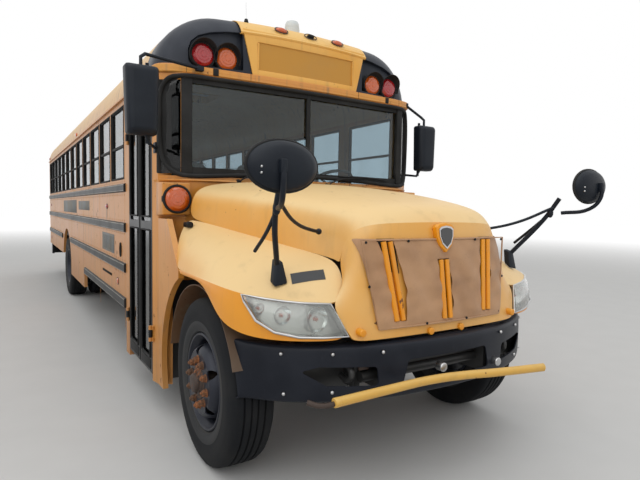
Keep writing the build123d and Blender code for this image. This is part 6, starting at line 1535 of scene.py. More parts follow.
@dataclass
class FrontCap:
    """Rounded black cap over the windshield with its lamps, sign frame and trim."""

    half: float = 1.219
    eaves: float = 2.58
    corner: float = .50
    crown: float = 3.10
    crown_radius: float = 13.434
    edge: float = .20
    foot: float = 2.570
    rear: float = 1.15
    station: float = .72
    bulge: float = .10
    reach: float = 1.299
    lamp_seat: float = .762
    lamp_height: float = 2.737
    red_x: float = .892
    amber_x: float = .704
    pocket: tuple[tuple[float, float], ...] = (
        (.572, 2.664), (.972, 2.655), (.997, 2.685), (1.0, 2.77), (.978, 2.83), (.925, 2.878), (.83, 2.915),
        (.70, 2.942), (.61, 2.952), (.578, 2.945))

    def front(self, x: float) -> float:
        """Station of the cap's face at a distance from the middle."""
        return self.station + self.bulge * (x / self.reach) ** 2

    def outline(self, inset: float) -> list[tuple[float, float]]:
        """Half section of the roof, from the middle to the foot.

        Args:
            inset: How far inside the skin it runs.

        Returns:
            Pairs of distance from the middle and height.
        """
        corner_x = self.half - self.corner
        meet = math.asin(corner_x / (self.crown_radius - self.corner))
        big, small = self.crown_radius - inset, self.corner - inset
        base = self.crown - self.crown_radius
        places = [(big * math.sin(meet * i / 8), base + big * math.cos(meet * i / 8)) for i in range(9)]
        for i in range(1, 15):
            a = (math.pi / 2 - meet) * (1 - i / 14)
            places.append((corner_x + small * math.cos(a), self.eaves + small * math.sin(a)))
        places.append((self.half - inset, self.foot))
        return places

    def height(self, x: float, inset: float) -> float:
        """Height of the roof near the middle, that far inside the skin."""
        return self.crown - self.crown_radius + math.sqrt((self.crown_radius - inset) ** 2 - x * x)

    def build(self) -> None:
        """Builds the shell, the lamps, the sign frame, the trim and what stands on top."""
        self._shell()
        self._lamps()
        self._sign()
        self._brow()
        self._trim()
        self._top()

    def _shell(self) -> None:
        """Rounded moulding with a recess for each pair of lamps."""
        inner = self.outline(self.edge)
        rows = [[(x, at(self.front(x)), self.foot + (z - self.foot) * t) for x, z in inner]
                for t in (0, .3, .6, .85, 1)]
        for k in range(1, 8):
            a = math.radians(90 * k / 7)
            ring = self.outline(self.edge * (1 - math.sin(a)))
            rows.append([(x, at(self.front(x) + self.edge * (1 - math.cos(a))), z) for x, z in ring])
        skin = self.outline(0.0)
        rows.append([(x, at((self.front(x) + self.edge + self.rear) / 2), z) for x, z in skin])
        rows.append([(x, at(self.rear), z) for x, z in skin])
        shell = BENCH.skin("cap_shell", rows, (0, -1, .3))
        BENCH.mirror(shell)
        BENCH.modify(shell, "WELD", merge_threshold=.0006)
        BENCH.wall(shell, .004)
        liners = []
        for side in (-1, 1):
            outline = [(side * x, z) for x, z in self.pocket]
            cutter = BENCH.plug("cut", outline, .6, .79)
            BENCH.cut(shell, BENCH.bevel(cutter, .012, 3, 25))
            liner = BENCH.prism("liner",
                                [(x, at(self.front(x)) + .001 + 2.3 * max(0.0, z - 2.88) ** 2, z)
                                 for x, z in outline],
                                [(x * .985, at(.80), .015 * 2.8 + .985 * z) for x, z in outline])
            with BENCH.editing(liner):
                BENCH.pick(liner, lambda f: f.normal.y < -.6)
                bpy.ops.mesh.delete(type="FACE")
                bpy.ops.mesh.select_all(action="SELECT")
                bpy.ops.mesh.flip_normals()
            liners.append(BENCH.wall(liner, .004))
        BENCH.fit("front_cap_shell", [shell, *liners], Finish.CAP, "bus_body", "black_trim", ("front_cap",),
                  40.0)

    def _lamps(self) -> None:
        """Warning lamps with their hoods in front, and all lamps of the rear wall."""
        pieces = []
        for side in (-1, 1):
            for x, finish in ((self.red_x, Finish.RED), (self.amber_x, Finish.AMBER)):
                pieces += lamp("warning_lamp", (side * x, at(self.lamp_seat), self.lamp_height), Side.AHEAD,
                               finish)
                pieces.append(self._hood_over(side * x, .055 if x > .8 else .04))
                pieces += lamp("rear_warning_lamp", (side * x, at(10.616), 2.757), Side.BACK, finish)
            for x, finish in ((1.02, Finish.RED), (.80, Finish.AMBER)):
                pieces += lamp("tail_lamp", (side * x, at(10.616), 1.54), Side.BACK, finish, .084)
        BENCH.finish(BENCH.join("body_lamps", pieces), "bus_body", "lens_red", ("lamp_lenses",), 40.0)

    def _hood_over(self, x: float, reach: float) -> Piece:
        """Black eyebrow over one warning lamp."""
        rows = []
        for forward, flare in ((0.0, .097), (.5, .103), (1.0, .106)):
            row = []
            for i in range(21):
                a = math.radians(-25 + 230 * i / 20)
                out = (.022 + reach * max(0.0, math.sin(a)) ** .7) * forward
                row.append((x + flare * math.cos(a), at(self.lamp_seat) - .004 - out,
                            self.lamp_height + flare * math.sin(a)))
            rows.append(row)
        hood = BENCH.skin("lamp_hood", rows)
        BENCH.wall(hood, .004, 0.0)
        return BENCH.paint(hood, Finish.RUBBER)

    def _sign(self) -> None:
        """Yellow frame round the blank sign in front, and the blank board behind."""
        rows = []
        for t in (0, .06, .3, .6, .9, 1):
            z, wide = 2.640 + t * .345, .498 + .085 * t
            rows.append([(wide * k / 8, at(self.front(wide * k / 8)) - .012, z) for k in range(9)])
        frame = BENCH.skin("sign_frame", rows, (0, -1, 0))
        BENCH.mirror(frame)
        BENCH.wall(frame, .024)
        hole = [(-.455, 2.685), (.455, 2.685), (.462, 2.90), (-.462, 2.90)]
        cutter = BENCH.plug("hole", hole, .6, .79)
        BENCH.bevel(cutter, .012, 3, 60)
        BENCH.cut(frame, cutter)
        BENCH.bevel(frame, .004, 2, 50)
        BENCH.paint(frame, Finish.CREST)
        rows = [[(x / 8 * .47, at(self.front(x / 8 * .47)) - .003, z) for x in range(9)]
                for z in (2.675, 2.79, 2.91)]
        board = BENCH.mirror(BENCH.skin("sign_board", rows, (0, -1, 0)))
        # The board's brown ochre is partly painted shade of its recess.
        BENCH.paint(BENCH.wall(board, .006), Finish.SIGN)
        strips = [BENCH.slab("strip", s * .453, .005, (.717, .735), (2.69, 2.895), .002)
                  for s in (-1, 1)]
        back = BENCH.box("rear_board", (-.52, at(10.62), 2.63), (.52, at(10.634), 2.89), .01, 3)
        edge = [(x, at(10.634), z) for x, z in rectangle(-.51, 2.64, .51, 2.88)]
        rim = BENCH.hoop("rear_rim", edge, .006, 3)
        pieces = [frame, board, BENCH.paint(back, Finish.SIGN), BENCH.paint(rim, Finish.CREST)]
        pieces += [BENCH.paint(strip, Finish.CREST) for strip in strips]
        BENCH.finish(BENCH.join("sign_frames", pieces), "bus_body", "sign_ochre", ("sign_boards",), 40.0)

    def _brow(self) -> None:
        """Yellow moulding over the sign that runs on across the cap's top."""
        rows = []
        xs = [.60 * k / 10 for k in range(11)]

        def row(y: Callable[[float], float], z: Callable[[float], float]) -> None:
            """Adds one row of points by its station and height at each distance."""
            rows.append([(x, at(y(x)), z(x)) for x in xs])

        def skin(a: float, off: float, drop: float = 0.0) -> None:
            """Adds the row that lies at one angle of the cap's rounded edge."""
            row(lambda x: self.front(x) + self.edge * (1 - math.cos(a)) - off,
                lambda x: self.height(x, self.edge * (1 - math.sin(a))) + .006 * math.sin(a) - drop)

        start = math.radians(18.5)
        skin(start, .004, .010)
        skin(start, .026, .008)
        skin(start, .031, -.004)
        for k in range(1, 8):
            a = start + (math.pi / 2 - start) * k / 7
            skin(a, .034 * math.cos(a) ** 2)
        row(lambda x: 1.10, lambda x: self.height(x, 0) + .006)
        row(lambda x: 1.125, lambda x: self.height(x, 0) + .001)
        brow = BENCH.mirror(BENCH.skin("brow", rows, (0, -1, .5)))
        BENCH.wall(brow, .005)
        BENCH.finish(BENCH.paint(brow, Finish.CREST), "bus_body", "body_yellow")

    def _trim(self) -> None:
        """Yellow strip in lengths between the cap and the windshield."""
        plan = [(0, .700), (.25, .706), (.50, .716), (.75, .728), (.95, .742), (1.05, .757), (1.12, .775),
                (1.17, .798), (1.205, .835), (1.222, .88), (1.227, .94), (1.228, 1.0)]
        section = ((.06, 2.641), (.004, 2.643), (-.004, 2.636), (-.004, 2.612), (-.0025, 2.611),
                   (-.004, 2.610), (-.004, 2.590), (.004, 2.583), (.06, 2.583))
        rows = []
        for depth, z in section:
            rows.append([(max(0.0, x - depth * min(1.0, x / 1.25) ** 6),
                          at(y) + depth * (1 - .8 * (x / 1.22) ** 8), z)
                         for x, y in plan])
        strip = BENCH.mirror(BENCH.skin("cap_trim", rows, (0, -1, 0)))
        BENCH.paint(BENCH.wall(strip, .003), Finish.TRIM)
        clips = [BENCH.paint(BENCH.box("clip", (x - .022, at(y) - .009, 2.588),
                                       (x + .022, at(y) + .01, 2.640), .005),
                             Finish.RUBBER) for x, y in ((-.80, .731), (.86, .738))]
        seams = [BENCH.paint(BENCH.box("seam", (x - .0015, at(y) - .0052, 2.586),
                                       (x + .0015, at(y) + .01, 2.6405), .0005), Finish.HUB)
                 for x, y in ((-1.02, .753), (-.52, .716), (.52, .716), (1.02, .753))]
        BENCH.finish(BENCH.join("cap_trim_strip", [strip, *clips, *seams]), "bus_body", "body_yellow")

    def _top(self) -> None:
        """Clearance lamps, the empty hole of the lost one, the strobe and the aerial."""
        pieces = []
        for x in (-.243, .304):
            y, z = at(self.front(x)) + .022, self.height(x, 0) - .062
            pieces.append(BENCH.paint(BENCH.ball("marker", (x, y, z), (.052, .022, .024), 20, 12),
                                      Finish.AMBER))
            loop = oval((x, y - .004, z), (.058, 0, 0), (0, .020, .026), 24)
            pieces.append(BENCH.paint(BENCH.hoop("marker_rim", loop, .0045), Finish.HUB))
        x = .030
        y, z = at(self.front(x)) + .022, self.height(x, 0) - .064
        # A dark ball sunk in the empty hole, as painted shade of the hollow.
        pieces.append(BENCH.paint(BENCH.ball("marker_hole", (x, y - .002, z - .001), (.036, .014, .018), 20,
                                             10),
                                  Finish.SOOT))
        loop = oval((x, y - .004, z), (.058, 0, 0), (0, .020, .026), 24)
        pieces.append(BENCH.paint(BENCH.hoop("hole_rim", loop, .004), Finish.HUB))
        BENCH.finish(BENCH.join("clearance_lamps", pieces), "bus_body", "lens_red", (), 50.0)
        rise = Matrix.Rotation(math.radians(-90), 4, "Y")
        foot = BENCH.lathe("strobe_foot", [(0, .018), (.055, .018), (.068, .012), (.074, 0), (.074, -.02)],
                           (0, 0, 0), 1, 32)
        glass = BENCH.lathe("strobe_lens",
                            [(0, .135), (.03, .134), (.05, .126), (.060, .108), (.064, .07), (.063, .066),
                             (.066, .062), (.067, .02), (.067, .015)], (0, 0, 0), 1, 32)
        spot = (0.0, at(1.01), 3.103)
        parts = [BENCH.paint(BENCH.copy(foot, "strobe_a", spot, rise), Finish.SHELL),
                 BENCH.paint(BENCH.copy(glass, "strobe_b", spot, rise), Finish.STROBE)]
        bpy.data.objects.remove(foot)
        bpy.data.objects.remove(glass)
        parts.append(BENCH.paint(BENCH.drum("aerial_foot", (-.5, at(.86), 3.095), (0, 0, 1), .02, .03, 16,
                                            .012, .004),
                                 Finish.RUBBER))
        parts.append(BENCH.paint(BENCH.sweep("aerial",
                                             [(-.5, at(.86), 3.10), (-.5, at(.862), 3.17),
                                              (-.5, at(.866), 3.24)],
                                             .002, True, 2), Finish.STEEL))
        BENCH.finish(BENCH.join("strobe_and_aerial", parts), "bus_body", "hatch_white")


@dataclass
class Windshield:
    """Rubber gasket, posts and wipers of the wrapped windshield."""

    top: float = 2.560
    plan: tuple[tuple[float, float], ...] = ((0, .697), (.5, .714), (1.03, .732), (1.12, .785), (1.19, .842))

    def front(self, x: float) -> float:
        """Station of the glass line at a distance from the middle."""
        return along(self.plan, x)

    def build(self) -> None:
        """Builds the gasket, the posts and corner panes, and the wipers."""
        half = [(0, 1.868), (.30, 1.862), (.60, 1.850), (.90, 1.832), (1.0, 1.830), (1.06, 1.836),
                (1.115, 1.862),
                (1.155, 1.91), (1.18, 1.99), (1.19, 2.10), (1.192, 2.30), (1.188, 2.42), (1.165, 2.50),
                (1.13, 2.54), (1.06, 2.556), (1.02, 2.558), (.80, 2.560), (.60, 2.560), (.30, 2.560)]
        ring = half + [(0, 2.560)] + [(-x, z) for x, z in half[:0:-1]]
        loop = [(x, at(self.front(x)) - .004, z) for x, z in ring]
        gasket = BENCH.sweep("gasket", loop, .017, True, 3, True)
        pane = [(min(1.0, x), max(1.895, min(2.512, z))) for x, z in half] + [(0, 2.512)]
        inner = pane + [(-x, z) for x, z in pane[-2:0:-1]]
        band = BENCH.skin("band",
                          [[(x, at(self.front(x)) + .001, z) for x, z in path + path[:1]]
                           for path in (ring, inner)],
                          (0, -1, 0))
        BENCH.wall(band, .006)
        pieces = [gasket, band]
        for side in (-1, 1):
            x0, x1 = side * .982, side * 1.058
            faces = [placed([(x0, y0, 1.85), (x1, y1, 1.84), (x1, y1, 2.55), (x0, y0, 2.55)])
                     for y0, y1 in ((.720, .738), (.765, .78))]
            post = BENCH.prism("post", *faces)
            pieces.append(BENCH.bevel(post, .006, 2))
            pieces.append(BENCH.slab("rear_post", side * 1.185, .02, (.845, .90), (1.84, 2.56), .012))
        pieces.append(BENCH.box("middle_post", (-.018, at(.694), 1.87), (.018, at(.72), 2.56), .006))
        BENCH.fit("windshield_gasket", pieces, Finish.RUBBER, "bus_body", "black_trim", (), 50.0)
        self._corner_panes()
        self._wipers()

    def _corner_panes(self) -> None:
        """Dark bent panes at the corners."""
        panes = []
        for side in (-1, 1):
            rows = []
            for z in (1.845, 1.95, 2.2, 2.45, 2.55):
                rows.append([(side * x, at(y), z)
                             for x, y in ((1.05, .752), (1.10, .782), (1.145, .815), (1.183, .852))])
            pane = BENCH.skin("corner_pane", rows, (side, -1, 0))
            panes.append(BENCH.wall(pane, .005))
        BENCH.fit("corner_panes", panes, Finish.SMOKE, "bus_body", "glass")

    def _wipers(self) -> None:
        """Two wiper arms parked along the foot of the glass."""
        pieces = []
        for x, tip in ((.19, .86), (-.62, .02)):
            arm = [(x, at(self.front(x)) - .03, 1.80), (x + .05, at(self.front(x)) - .035, 1.835),
                   (tip - .25, at(self.front(tip - .25)) - .03, 1.89 if x > 0 else 1.90)]
            pieces.append(BENCH.sweep("arm", arm, .006, True, 2))
            blade = [(tip - .55, at(self.front(tip - .55)) - .018, 1.885),
                     (tip - .25, at(self.front(tip - .25)) - .022, 1.888),
                     (tip, at(self.front(tip)) - .018, 1.872)]
            pieces.append(BENCH.sweep("blade", blade, .007, True, 2))
            pieces.append(BENCH.drum("pivot", (x, at(self.front(x)) - .014, 1.80), (0, -1, 0), .022, .03, 20,
                                     .016, .004))
        BENCH.fit("wipers", pieces, Finish.RUBBER, "bus_body", "black_trim", (), 50.0)


@dataclass
class Wheels:
    """Ribbed tyres, pressed steel discs, rusty hubs and nuts."""

    radius: float = .5175
    half: float = .1393
    front_x: float = 1.0275
    outer_x: float = 1.0685
    inner_x: float = .7255
    rear_station: float = 7.010
    height: float = .518
    nut_circle: float = .138
    nut_parts: tuple[tuple[Any, ...], ...] = (
        ("nut", .013, .024, .028, 6, .022, .005), ("stud", .020, .012, .036, 12, .010, .004),
        ("seat", .002, .027, .006, 18, .025, .001))
    hole_circle: float = .196
    hole_radius: float = .028

    def build(self) -> None:
        """Builds the front wheels and the twin wheels behind."""
        for side, word in SIDES:
            body = "wheel_front_" + word
            tyre = self._tyre((side * self.front_x, at(0), self.height), side)
            BENCH.finish(tyre, body, "tyre", ("front_tyre_" + word,), 30.0).name = "front_tyre_skin_" + word
            self._front_disc(side, word, body)
            body = "wheel_rear_" + word
            pair = [self._tyre((side * x, at(self.rear_station), self.height), side)
                    for x in (self.outer_x, self.inner_x)]
            twin = BENCH.join("rear_tyre_skins_" + word, pair)
            BENCH.finish(twin, body, "tyre", ("rear_tyres_" + word,), 30.0)
            self._rear_discs(side, word, body)

    def _tyre(self, centre: Point, side: int) -> Piece:
        """One tyre with five ribs and rings on its sidewalls."""
        wall = [(.284, .106), (.296, .108), (.306, .114), (.312, .124), (.318, .124), (.328, .1285),
                (.345, .1335),
                (.368, .1365), (.373, .1350), (.40, .1390), (.43, .1393), (.455, .1380), (.459, .1365),
                (.475, .1340), (.492, .1265), (.505, .1180), (.5105, .1085)]
        tread = [(.5140, .1), (.5155, .070), (.5035, .0665), (.5035, .0595), (.5160, .056), (.5172, .0265),
                 (.505, .023), (.505, .016), (.5173, .0125), (.5175, .0)]
        half = wall + tread
        profile = half + [(r, -w) for r, w in half[-2::-1]]
        tyre = BENCH.lathe("tyre", profile, centre, side, 96, True)
        BENCH.paint(tyre, Finish.TYRE)
        tyre.data.materials.append(Finish.SIDEWALL.material())
        for face in tyre.data.polygons:
            reach = math.hypot(face.center.y - centre[1], face.center.z - centre[2])
            face.material_index = int(.302 < reach < .372 and abs(face.center.x - centre[0]) > .1)
        return tyre

    def _rim(self, centre: Point, side: int) -> Piece:
        """Rim barrel with rolled flanges."""
        outer = [(.298, .108), (.299, .117), (.294, .1225), (.286, .1215), (.280, .112), (.276, .100),
                 (.264, .088),
                 (.257, .060), (.253, -.03), (.257, -.06), (.268, -.095), (.280, -.112), (.286, -.1215),
                 (.294, -.1225),
                 (.299, -.117), (.298, -.108), (.288, -.106), (.282, -.10), (.274, -.092), (.262, -.062),
                 (.258, -.03), (.262, .060), (.269, .090), (.282, .102), (.288, .106)]
        return BENCH.lathe("rim", outer, centre, side, 64, True)

    def _circle(self, centre: Point, out: float, radius: float, count: int,
                turn: float = 0.0) -> list[Point]:
        """Places evenly round a wheel, that far out along its axis."""
        angles = [math.tau * (i + turn) / count for i in range(count)]
        x, y, z = centre
        return [(x + out, y + radius * math.cos(a), z + radius * math.sin(a)) for a in angles]

    def _nuts(self, centre: Point, side: int, face: float) -> list[Piece]:
        """Ten rusty nuts with their studs, and washers under them."""
        pieces = []
        for x, y, z in self._circle(centre, side * face, self.nut_circle, 10, .3):
            for name, out, *size in self.nut_parts:
                pieces.append(BENCH.drum(name, (x + side * out, y, z), (side, 0, 0), *size))
        return [BENCH.paint(p, Finish.NUT) for p in pieces]

    def _holes(self, disc: Piece, centre: Point, count: int) -> None:
        """Cuts the hand holes into a disc."""
        for place in self._circle(centre, 0.0, self.hole_circle, count, .12):
            BENCH.cut(disc, BENCH.drum("hole", place, (1, 0, 0), self.hole_radius, .5, 24))

    def _front_disc(self, side: int, word: str, body: str) -> None:
        """Front wheel: dished disc, nuts, hub with its cap."""
        centre = (side * self.front_x, at(0), self.height)
        disc = BENCH.lathe("disc",
                           [(.256, -.012), (.252, .010), (.243, .032), (.233, .07), (.220, .112),
                            (.206, .136),
                            (.192, .145), (.165, .1435), (.158, .145), (.100, .145), (.100, .137),
                            (.189, .137),
                            (.200, .130), (.212, .108), (.225, .067), (.235, .028), (.246, .004),
                            (.250, -.016)],
                           centre, side, 64, True)
        self._holes(disc, centre, 5)
        plate = [BENCH.paint(self._rim(centre, side), Finish.DISC), BENCH.paint(disc, Finish.DISC)]
        hub = BENCH.lathe("hub",
                          [(0, .190), (.040, .190), (.052, .186), (.058, .178), (.060, .162), (.074, .160),
                           (.078, .156), (.080, .151), (.100, .150), (.106, .144), (.106, .05),
                           (.07, .02), (.07, -.02), (0, -.02)], centre, side, 40)
        bolts = [BENCH.drum("cap_bolt", place, (side, 0, 0), .008, .010, 6, .007)
                 for place in self._circle(centre, side * .163, .068, 6, .5)]
        rust = [BENCH.paint(p, Finish.HUB) for p in [hub, *bolts]] + self._nuts(centre, side, .145)
        piece = BENCH.join("front_wheel_disc_" + word, plate + rust)
        BENCH.finish(piece, body, "wheel_black", ("front_wheel_" + word,), 35.0)

    def _rear_discs(self, side: int, word: str, body: str) -> None:
        """Twin wheels: two rims with discs back to back, nuts and the axle hub."""
        outer = (side * self.outer_x, at(self.rear_station), self.height)
        inner = (side * self.inner_x, at(self.rear_station), self.height)
        shape = [(.254, -.055), (.246, -.075), (.236, -.10), (.219, -.132), (.200, -.149), (.188, -.152),
                 (.100, -.152),
                 (.100, -.160), (.190, -.160), (.204, -.157), (.225, -.138), (.242, -.104), (.252, -.078),
                 (.259, -.06)]
        parts = []
        for centre, way in ((outer, side), (inner, -side)):
            disc = BENCH.lathe("disc", shape, centre, way, 64, True)
            self._holes(disc, centre, 5)
            parts += [BENCH.paint(self._rim(centre, side), Finish.DISC), BENCH.paint(disc, Finish.DISC)]
        hub = BENCH.lathe("hub",
                          [(0, 0), (.055, 0), (.075, -.004), (.088, -.010), (.088, -.022), (.092, -.03),
                           (.104, -.05), (.106, -.15), (.106, -.20), (.10, -.262), (0, -.262)], outer,
                          side, 40)
        bolts = [BENCH.drum("axle_bolt", place, (side, 0, 0), .009, .012, 6, .008)
                 for place in self._circle(outer, -side * .006, .07, 8)]
        rust = [BENCH.paint(p, Finish.HUB) for p in [hub, *bolts]] + self._nuts(outer, side, -.152)
        piece = BENCH.join("rear_wheel_discs_" + word, parts + rust)
        BENCH.finish(piece, body, "wheel_black", ("rear_wheels_" + word,), 35.0)


@dataclass
class Cowl:
    """Turn lamps on their plates, ledges and seams beside the hood."""

    face: float = .735
    lamp: Point = (1.104, .66, 1.654)

    def build(self) -> None:
        """Builds both sides of the cowl's fittings."""
        for side, word in SIDES:
            yellow = [self._plate(side), self._ledge(side)]
            seam = placed([(1.03, .712, 1.52), (1.205, .84, 1.52)], side)
            yellow.append(BENCH.sweep("seam", seam, .004, False, 2))
            BENCH.fit("cowl_trim_" + word, yellow, Finish.BODY, "bus_body", "body_yellow", (), 40.0)
            x, y, z = self.lamp
            parts = lamp("turn_lamp", (side * x, at(y) + .03, z), Side.AHEAD, Finish.AMBER, .092)
            BENCH.finish(BENCH.join("turn_lamps_" + word, parts), "bus_body", "lens_red", (), 40.0)

    def _plate(self, side: int) -> Piece:
        """Raised square plate that carries the turn lamp."""
        x, y, z = self.lamp
        front = [(side * a, at(y) + .034, b) for a, b in rectangle(x - .098, z - .115, x + .104, z + .118)]
        stations = {1.0: .80, 1.212: .87}
        rear = [(side * a, at(stations[a]), b) for a, b in rectangle(1.0, z - .125, 1.212, z + .128)]
        plate = BENCH.prism("plate", front, rear)
        return BENCH.bevel(plate, .010, 3)

    def _ledge(self, side: int) -> Piece:
        """Folded ledge over the turn lamp, below the windshield."""
        rows = []
        for depth, z in ((.02, 1.812), (-.012, 1.806), (-.016, 1.796), (-.004, 1.788), (.02, 1.786)):
            rows.append([(side * x, at(y) + depth, z - .02 * max(0.0, x - .95)) for x, y in
                         ((.62, .713), (.85, .722), (1.03, .733), (1.12, .785), (1.19, .842), (1.217, .92))])
        ledge = BENCH.skin("ledge", rows, (0, -1, 0))
        return BENCH.wall(ledge, .003)


@dataclass
class BodySides:
    """Rail edges, seams, rivets, window trim, markers, drip rail and patches."""

    half: float = 1.219
    rails: tuple[tuple[float, float, float], ...] = (
        (1.806, .080, 10.56), (1.441, .090, 10.56), (1.064, .090, 10.56), (.739, .095, 4.67))
    start: float = 1.925
    arch: tuple[float, float] = (6.35, 7.67)
    bays: float = 1.95
    pitch: float = .7112

    def spans(self, top: float, height: float, end: float) -> list[tuple[float, float]]:
        """Stretches of a rail beside the rear wheel opening."""
        if top - height < 1.18 and end > 7.01:
            return [(self.start, self.arch[0]), (self.arch[1], end)]
        return [(self.start, end)]

    def build(self) -> None:
        """Builds the fittings of both sides."""
        for side, word in SIDES:
            self._rails(side, word)
            self._seams(side, word)
            self._rivets(side, word)
            self._windows(side, word)
        self._markers()
        self._curb_side()

    def _rails(self, side: int, word: str) -> None:
        """Pale strips painted as highlights along the edges of the rub rails."""
        pale = []
        # Two pale strips per rail, painted highlights along its top and foot edges.
        for top, height, end in self.rails:
            for a, b in self.spans(top, height, end):
                x0, x1 = side * (self.half + .0192), side * (self.half + .0206)
                for z0, z1 in ((top - .017, top - .009), (top - height + .010, top - height + .015)):
                    pale.append(BENCH.box("edge", (min(x0, x1), at(a + .003), z0),
                                          (max(x0, x1), at(b - .003), z1), .0006, 1))
        BENCH.fit("rail_edges_" + word, pale, Finish.WORN, "bus_body", "black_trim")

    def _seams(self, side: int, word: str) -> None:
        """Lapped joints between the side panels and the drip rail over the windows."""
        lines = []
        for i in range(0, 13, 2):
            y = self.bays + self.pitch * i + .02
            low = .455 if y < 4.7 else (1.2 if self.arch[0] < y < self.arch[1] else .71)
            lines.append(BENCH.box("lap", (side * self.half - .0012, at(y - .0015), low),
                                   (side * self.half + .0012, at(y + .0015), 1.84), .0005, 1))
        rail = []
        for depth, z in ((.0, 2.600), (.016, 2.594), (.022, 2.586), (.022, 2.574), (.016, 2.578),
                         (.0, 2.576)):
            rail.append([(side * (self.half + depth - .001), at(y), z)
                         for y in (.96, 2.5, 4.5, 6.5, 8.5, 10.6)])
        drip = BENCH.skin("drip", rail, (side, 0, 0))
        lines.append(BENCH.wall(drip, .002))
        BENCH.fit("side_seams_" + word, lines, Finish.SIDE, "bus_body", "body_yellow")

    def _rivets(self, side: int, word: str) -> None:
        """Rows of rivets along the rails, the skirt and the panel joints."""
        places = []
        for z in (1.825, 1.70, 1.46, 1.335, 1.085, .955):
            for i in range(int((10.5 - self.start) / .1)):
                y = self.start + .06 + i * .1
                if z > 1.2 or not self.arch[0] < y < self.arch[1]:
                    places.append((side * (self.half + .0005), at(y), z))
        rivet = BENCH.ball("rivet", (0, 0, 0), (.0035, .0062, .0062), 8, 5)
        BENCH.paint(rivet, Finish.SIDE)
        piece = BENCH.scatter(rivet, "side_rivets_" + word, places)
        BENCH.finish(piece, "bus_body", "body_yellow", (), 60.0)

    def _windows(self, side: int, word: str) -> None:
        """Rounded black edge and latch knobs of every side window."""
        pieces = []
        starts = [self.bays + self.pitch * i + .0356 for i in range(12)]
        spans = [(y, y + .64) for y in starts] + ([(1.06, 1.80)] if side > 0 else [])
        for a, b in spans:
            loop = [(side * (self.half - .002), at(y), z)
                    for y, z in rectangle(a + .008, 1.853, b - .008, 2.522)]
            pieces.append(BENCH.hoop("edge", loop, .0085))
            for y in (a + .16, b - .16):
                pieces.append(BENCH.box("latch", (side * (self.half - .012) - .006, at(y) - .018, 2.148),
                                        (side * (self.half - .012) + .006, at(y) + .018, 2.164), .003))
        BENCH.fit("window_edges_" + word, pieces, Finish.RUBBER, "bus_body", "sash_metal", (), 50.0)

    def _markers(self) -> None:
        """Side markers, reflectors and roof-side clearance lamps."""
        pieces = []
        for side in (-1, 1):
            face = side * self.half
            for y, z, radii, finish in ((2.32, .85, (.012, .032, .032), Finish.AMBER),
                                        (2.91, 1.59, (.018, .05, .022), Finish.RED),
                                        (10.2, 1.59, (.018, .05, .022), Finish.RED),
                                        (10.2, .85, (.012, .032, .032), Finish.RED)):
                pieces.append(BENCH.paint(BENCH.ball("marker", (face, at(y), z), radii, 18, 10), finish))
                across, up = (0, radii[1] + .004, 0), (0, 0, radii[2] + .004)
                loop = oval((face + side * .001, at(y), z), across, up, 20)
                pieces.append(BENCH.paint(BENCH.hoop("marker_rim", loop, .003), Finish.RUBBER))
            bar = BENCH.box("reflector", (face - .004, at(2.65), .862), (face + .004, at(3.21), .888), .002)
            pieces.append(BENCH.paint(bar, Finish.SOOT))
            for y, finish in ((5.5, Finish.AMBER), (10.45, Finish.RED)):
                body = BENCH.box("roof_lamp", (side * 1.212 - .022, at(y) - .05, 2.625),
                                 (side * 1.212 + .022, at(y) + .05, 2.672), .012, 3)
                pieces.append(BENCH.paint(body, finish))
        BENCH.finish(BENCH.join("side_markers", pieces), "bus_body", "lens_red", (), 50.0)

    def _curb_side(self) -> None:
        """Grey panel, latch and over-painted patches seen on the door side; the panel's slits and the latch
        dish are painted shade.
        """
        face = -self.half
        grey = BENCH.box("grey_panel", (face - .003, at(2.50), 1.108), (face + .003, at(3.22), 1.302), .002)
        # Dark strips on the grey panel: painted shade of its slits.
        slots = [BENCH.box("slot", (face - .0045, at(2.54 + .08 * i), 1.13),
                           (face, at(2.545 + .08 * i), 1.28), .001, 1)
                 for i in range(8)]
        worn = [BENCH.box("patch", (face - .0015, at(a), z0), (face + .001, at(b), z1), .0006, 1)
                for a, b, z0, z1 in ((5.56, 7.45, 1.475, 1.675), (4.22, 5.32, 1.53, 1.655))]
        rust = BENCH.box("drip", (face - .0012, at(2.905), 1.47), (face + .001, at(2.915), 1.57), .0004, 1)
        pieces = [BENCH.paint(grey, Finish.PATCH), *[BENCH.paint(s, Finish.SOOT) for s in slots],
                  *[BENCH.paint(p, Finish.PATCH) for p in worn], BENCH.paint(rust, Finish.HUB)]
        handle = oval((face - .006, at(2.16), 1.175), (0, .028, 0), (0, 0, .065), 20)
        pieces.append(BENCH.paint(BENCH.hoop("latch_rim", handle, .006), Finish.RUBBER))
        # Dark dish inside the latch rim: painted shade of its recess.
        pieces.append(BENCH.paint(BENCH.ball("latch_dish", (face, at(2.16), 1.175), (.004, .026, .062), 20,
                                             10), Finish.SOOT))
        BENCH.finish(BENCH.join("curb_side_fittings", pieces), "bus_body", "black_trim", (), 50.0)


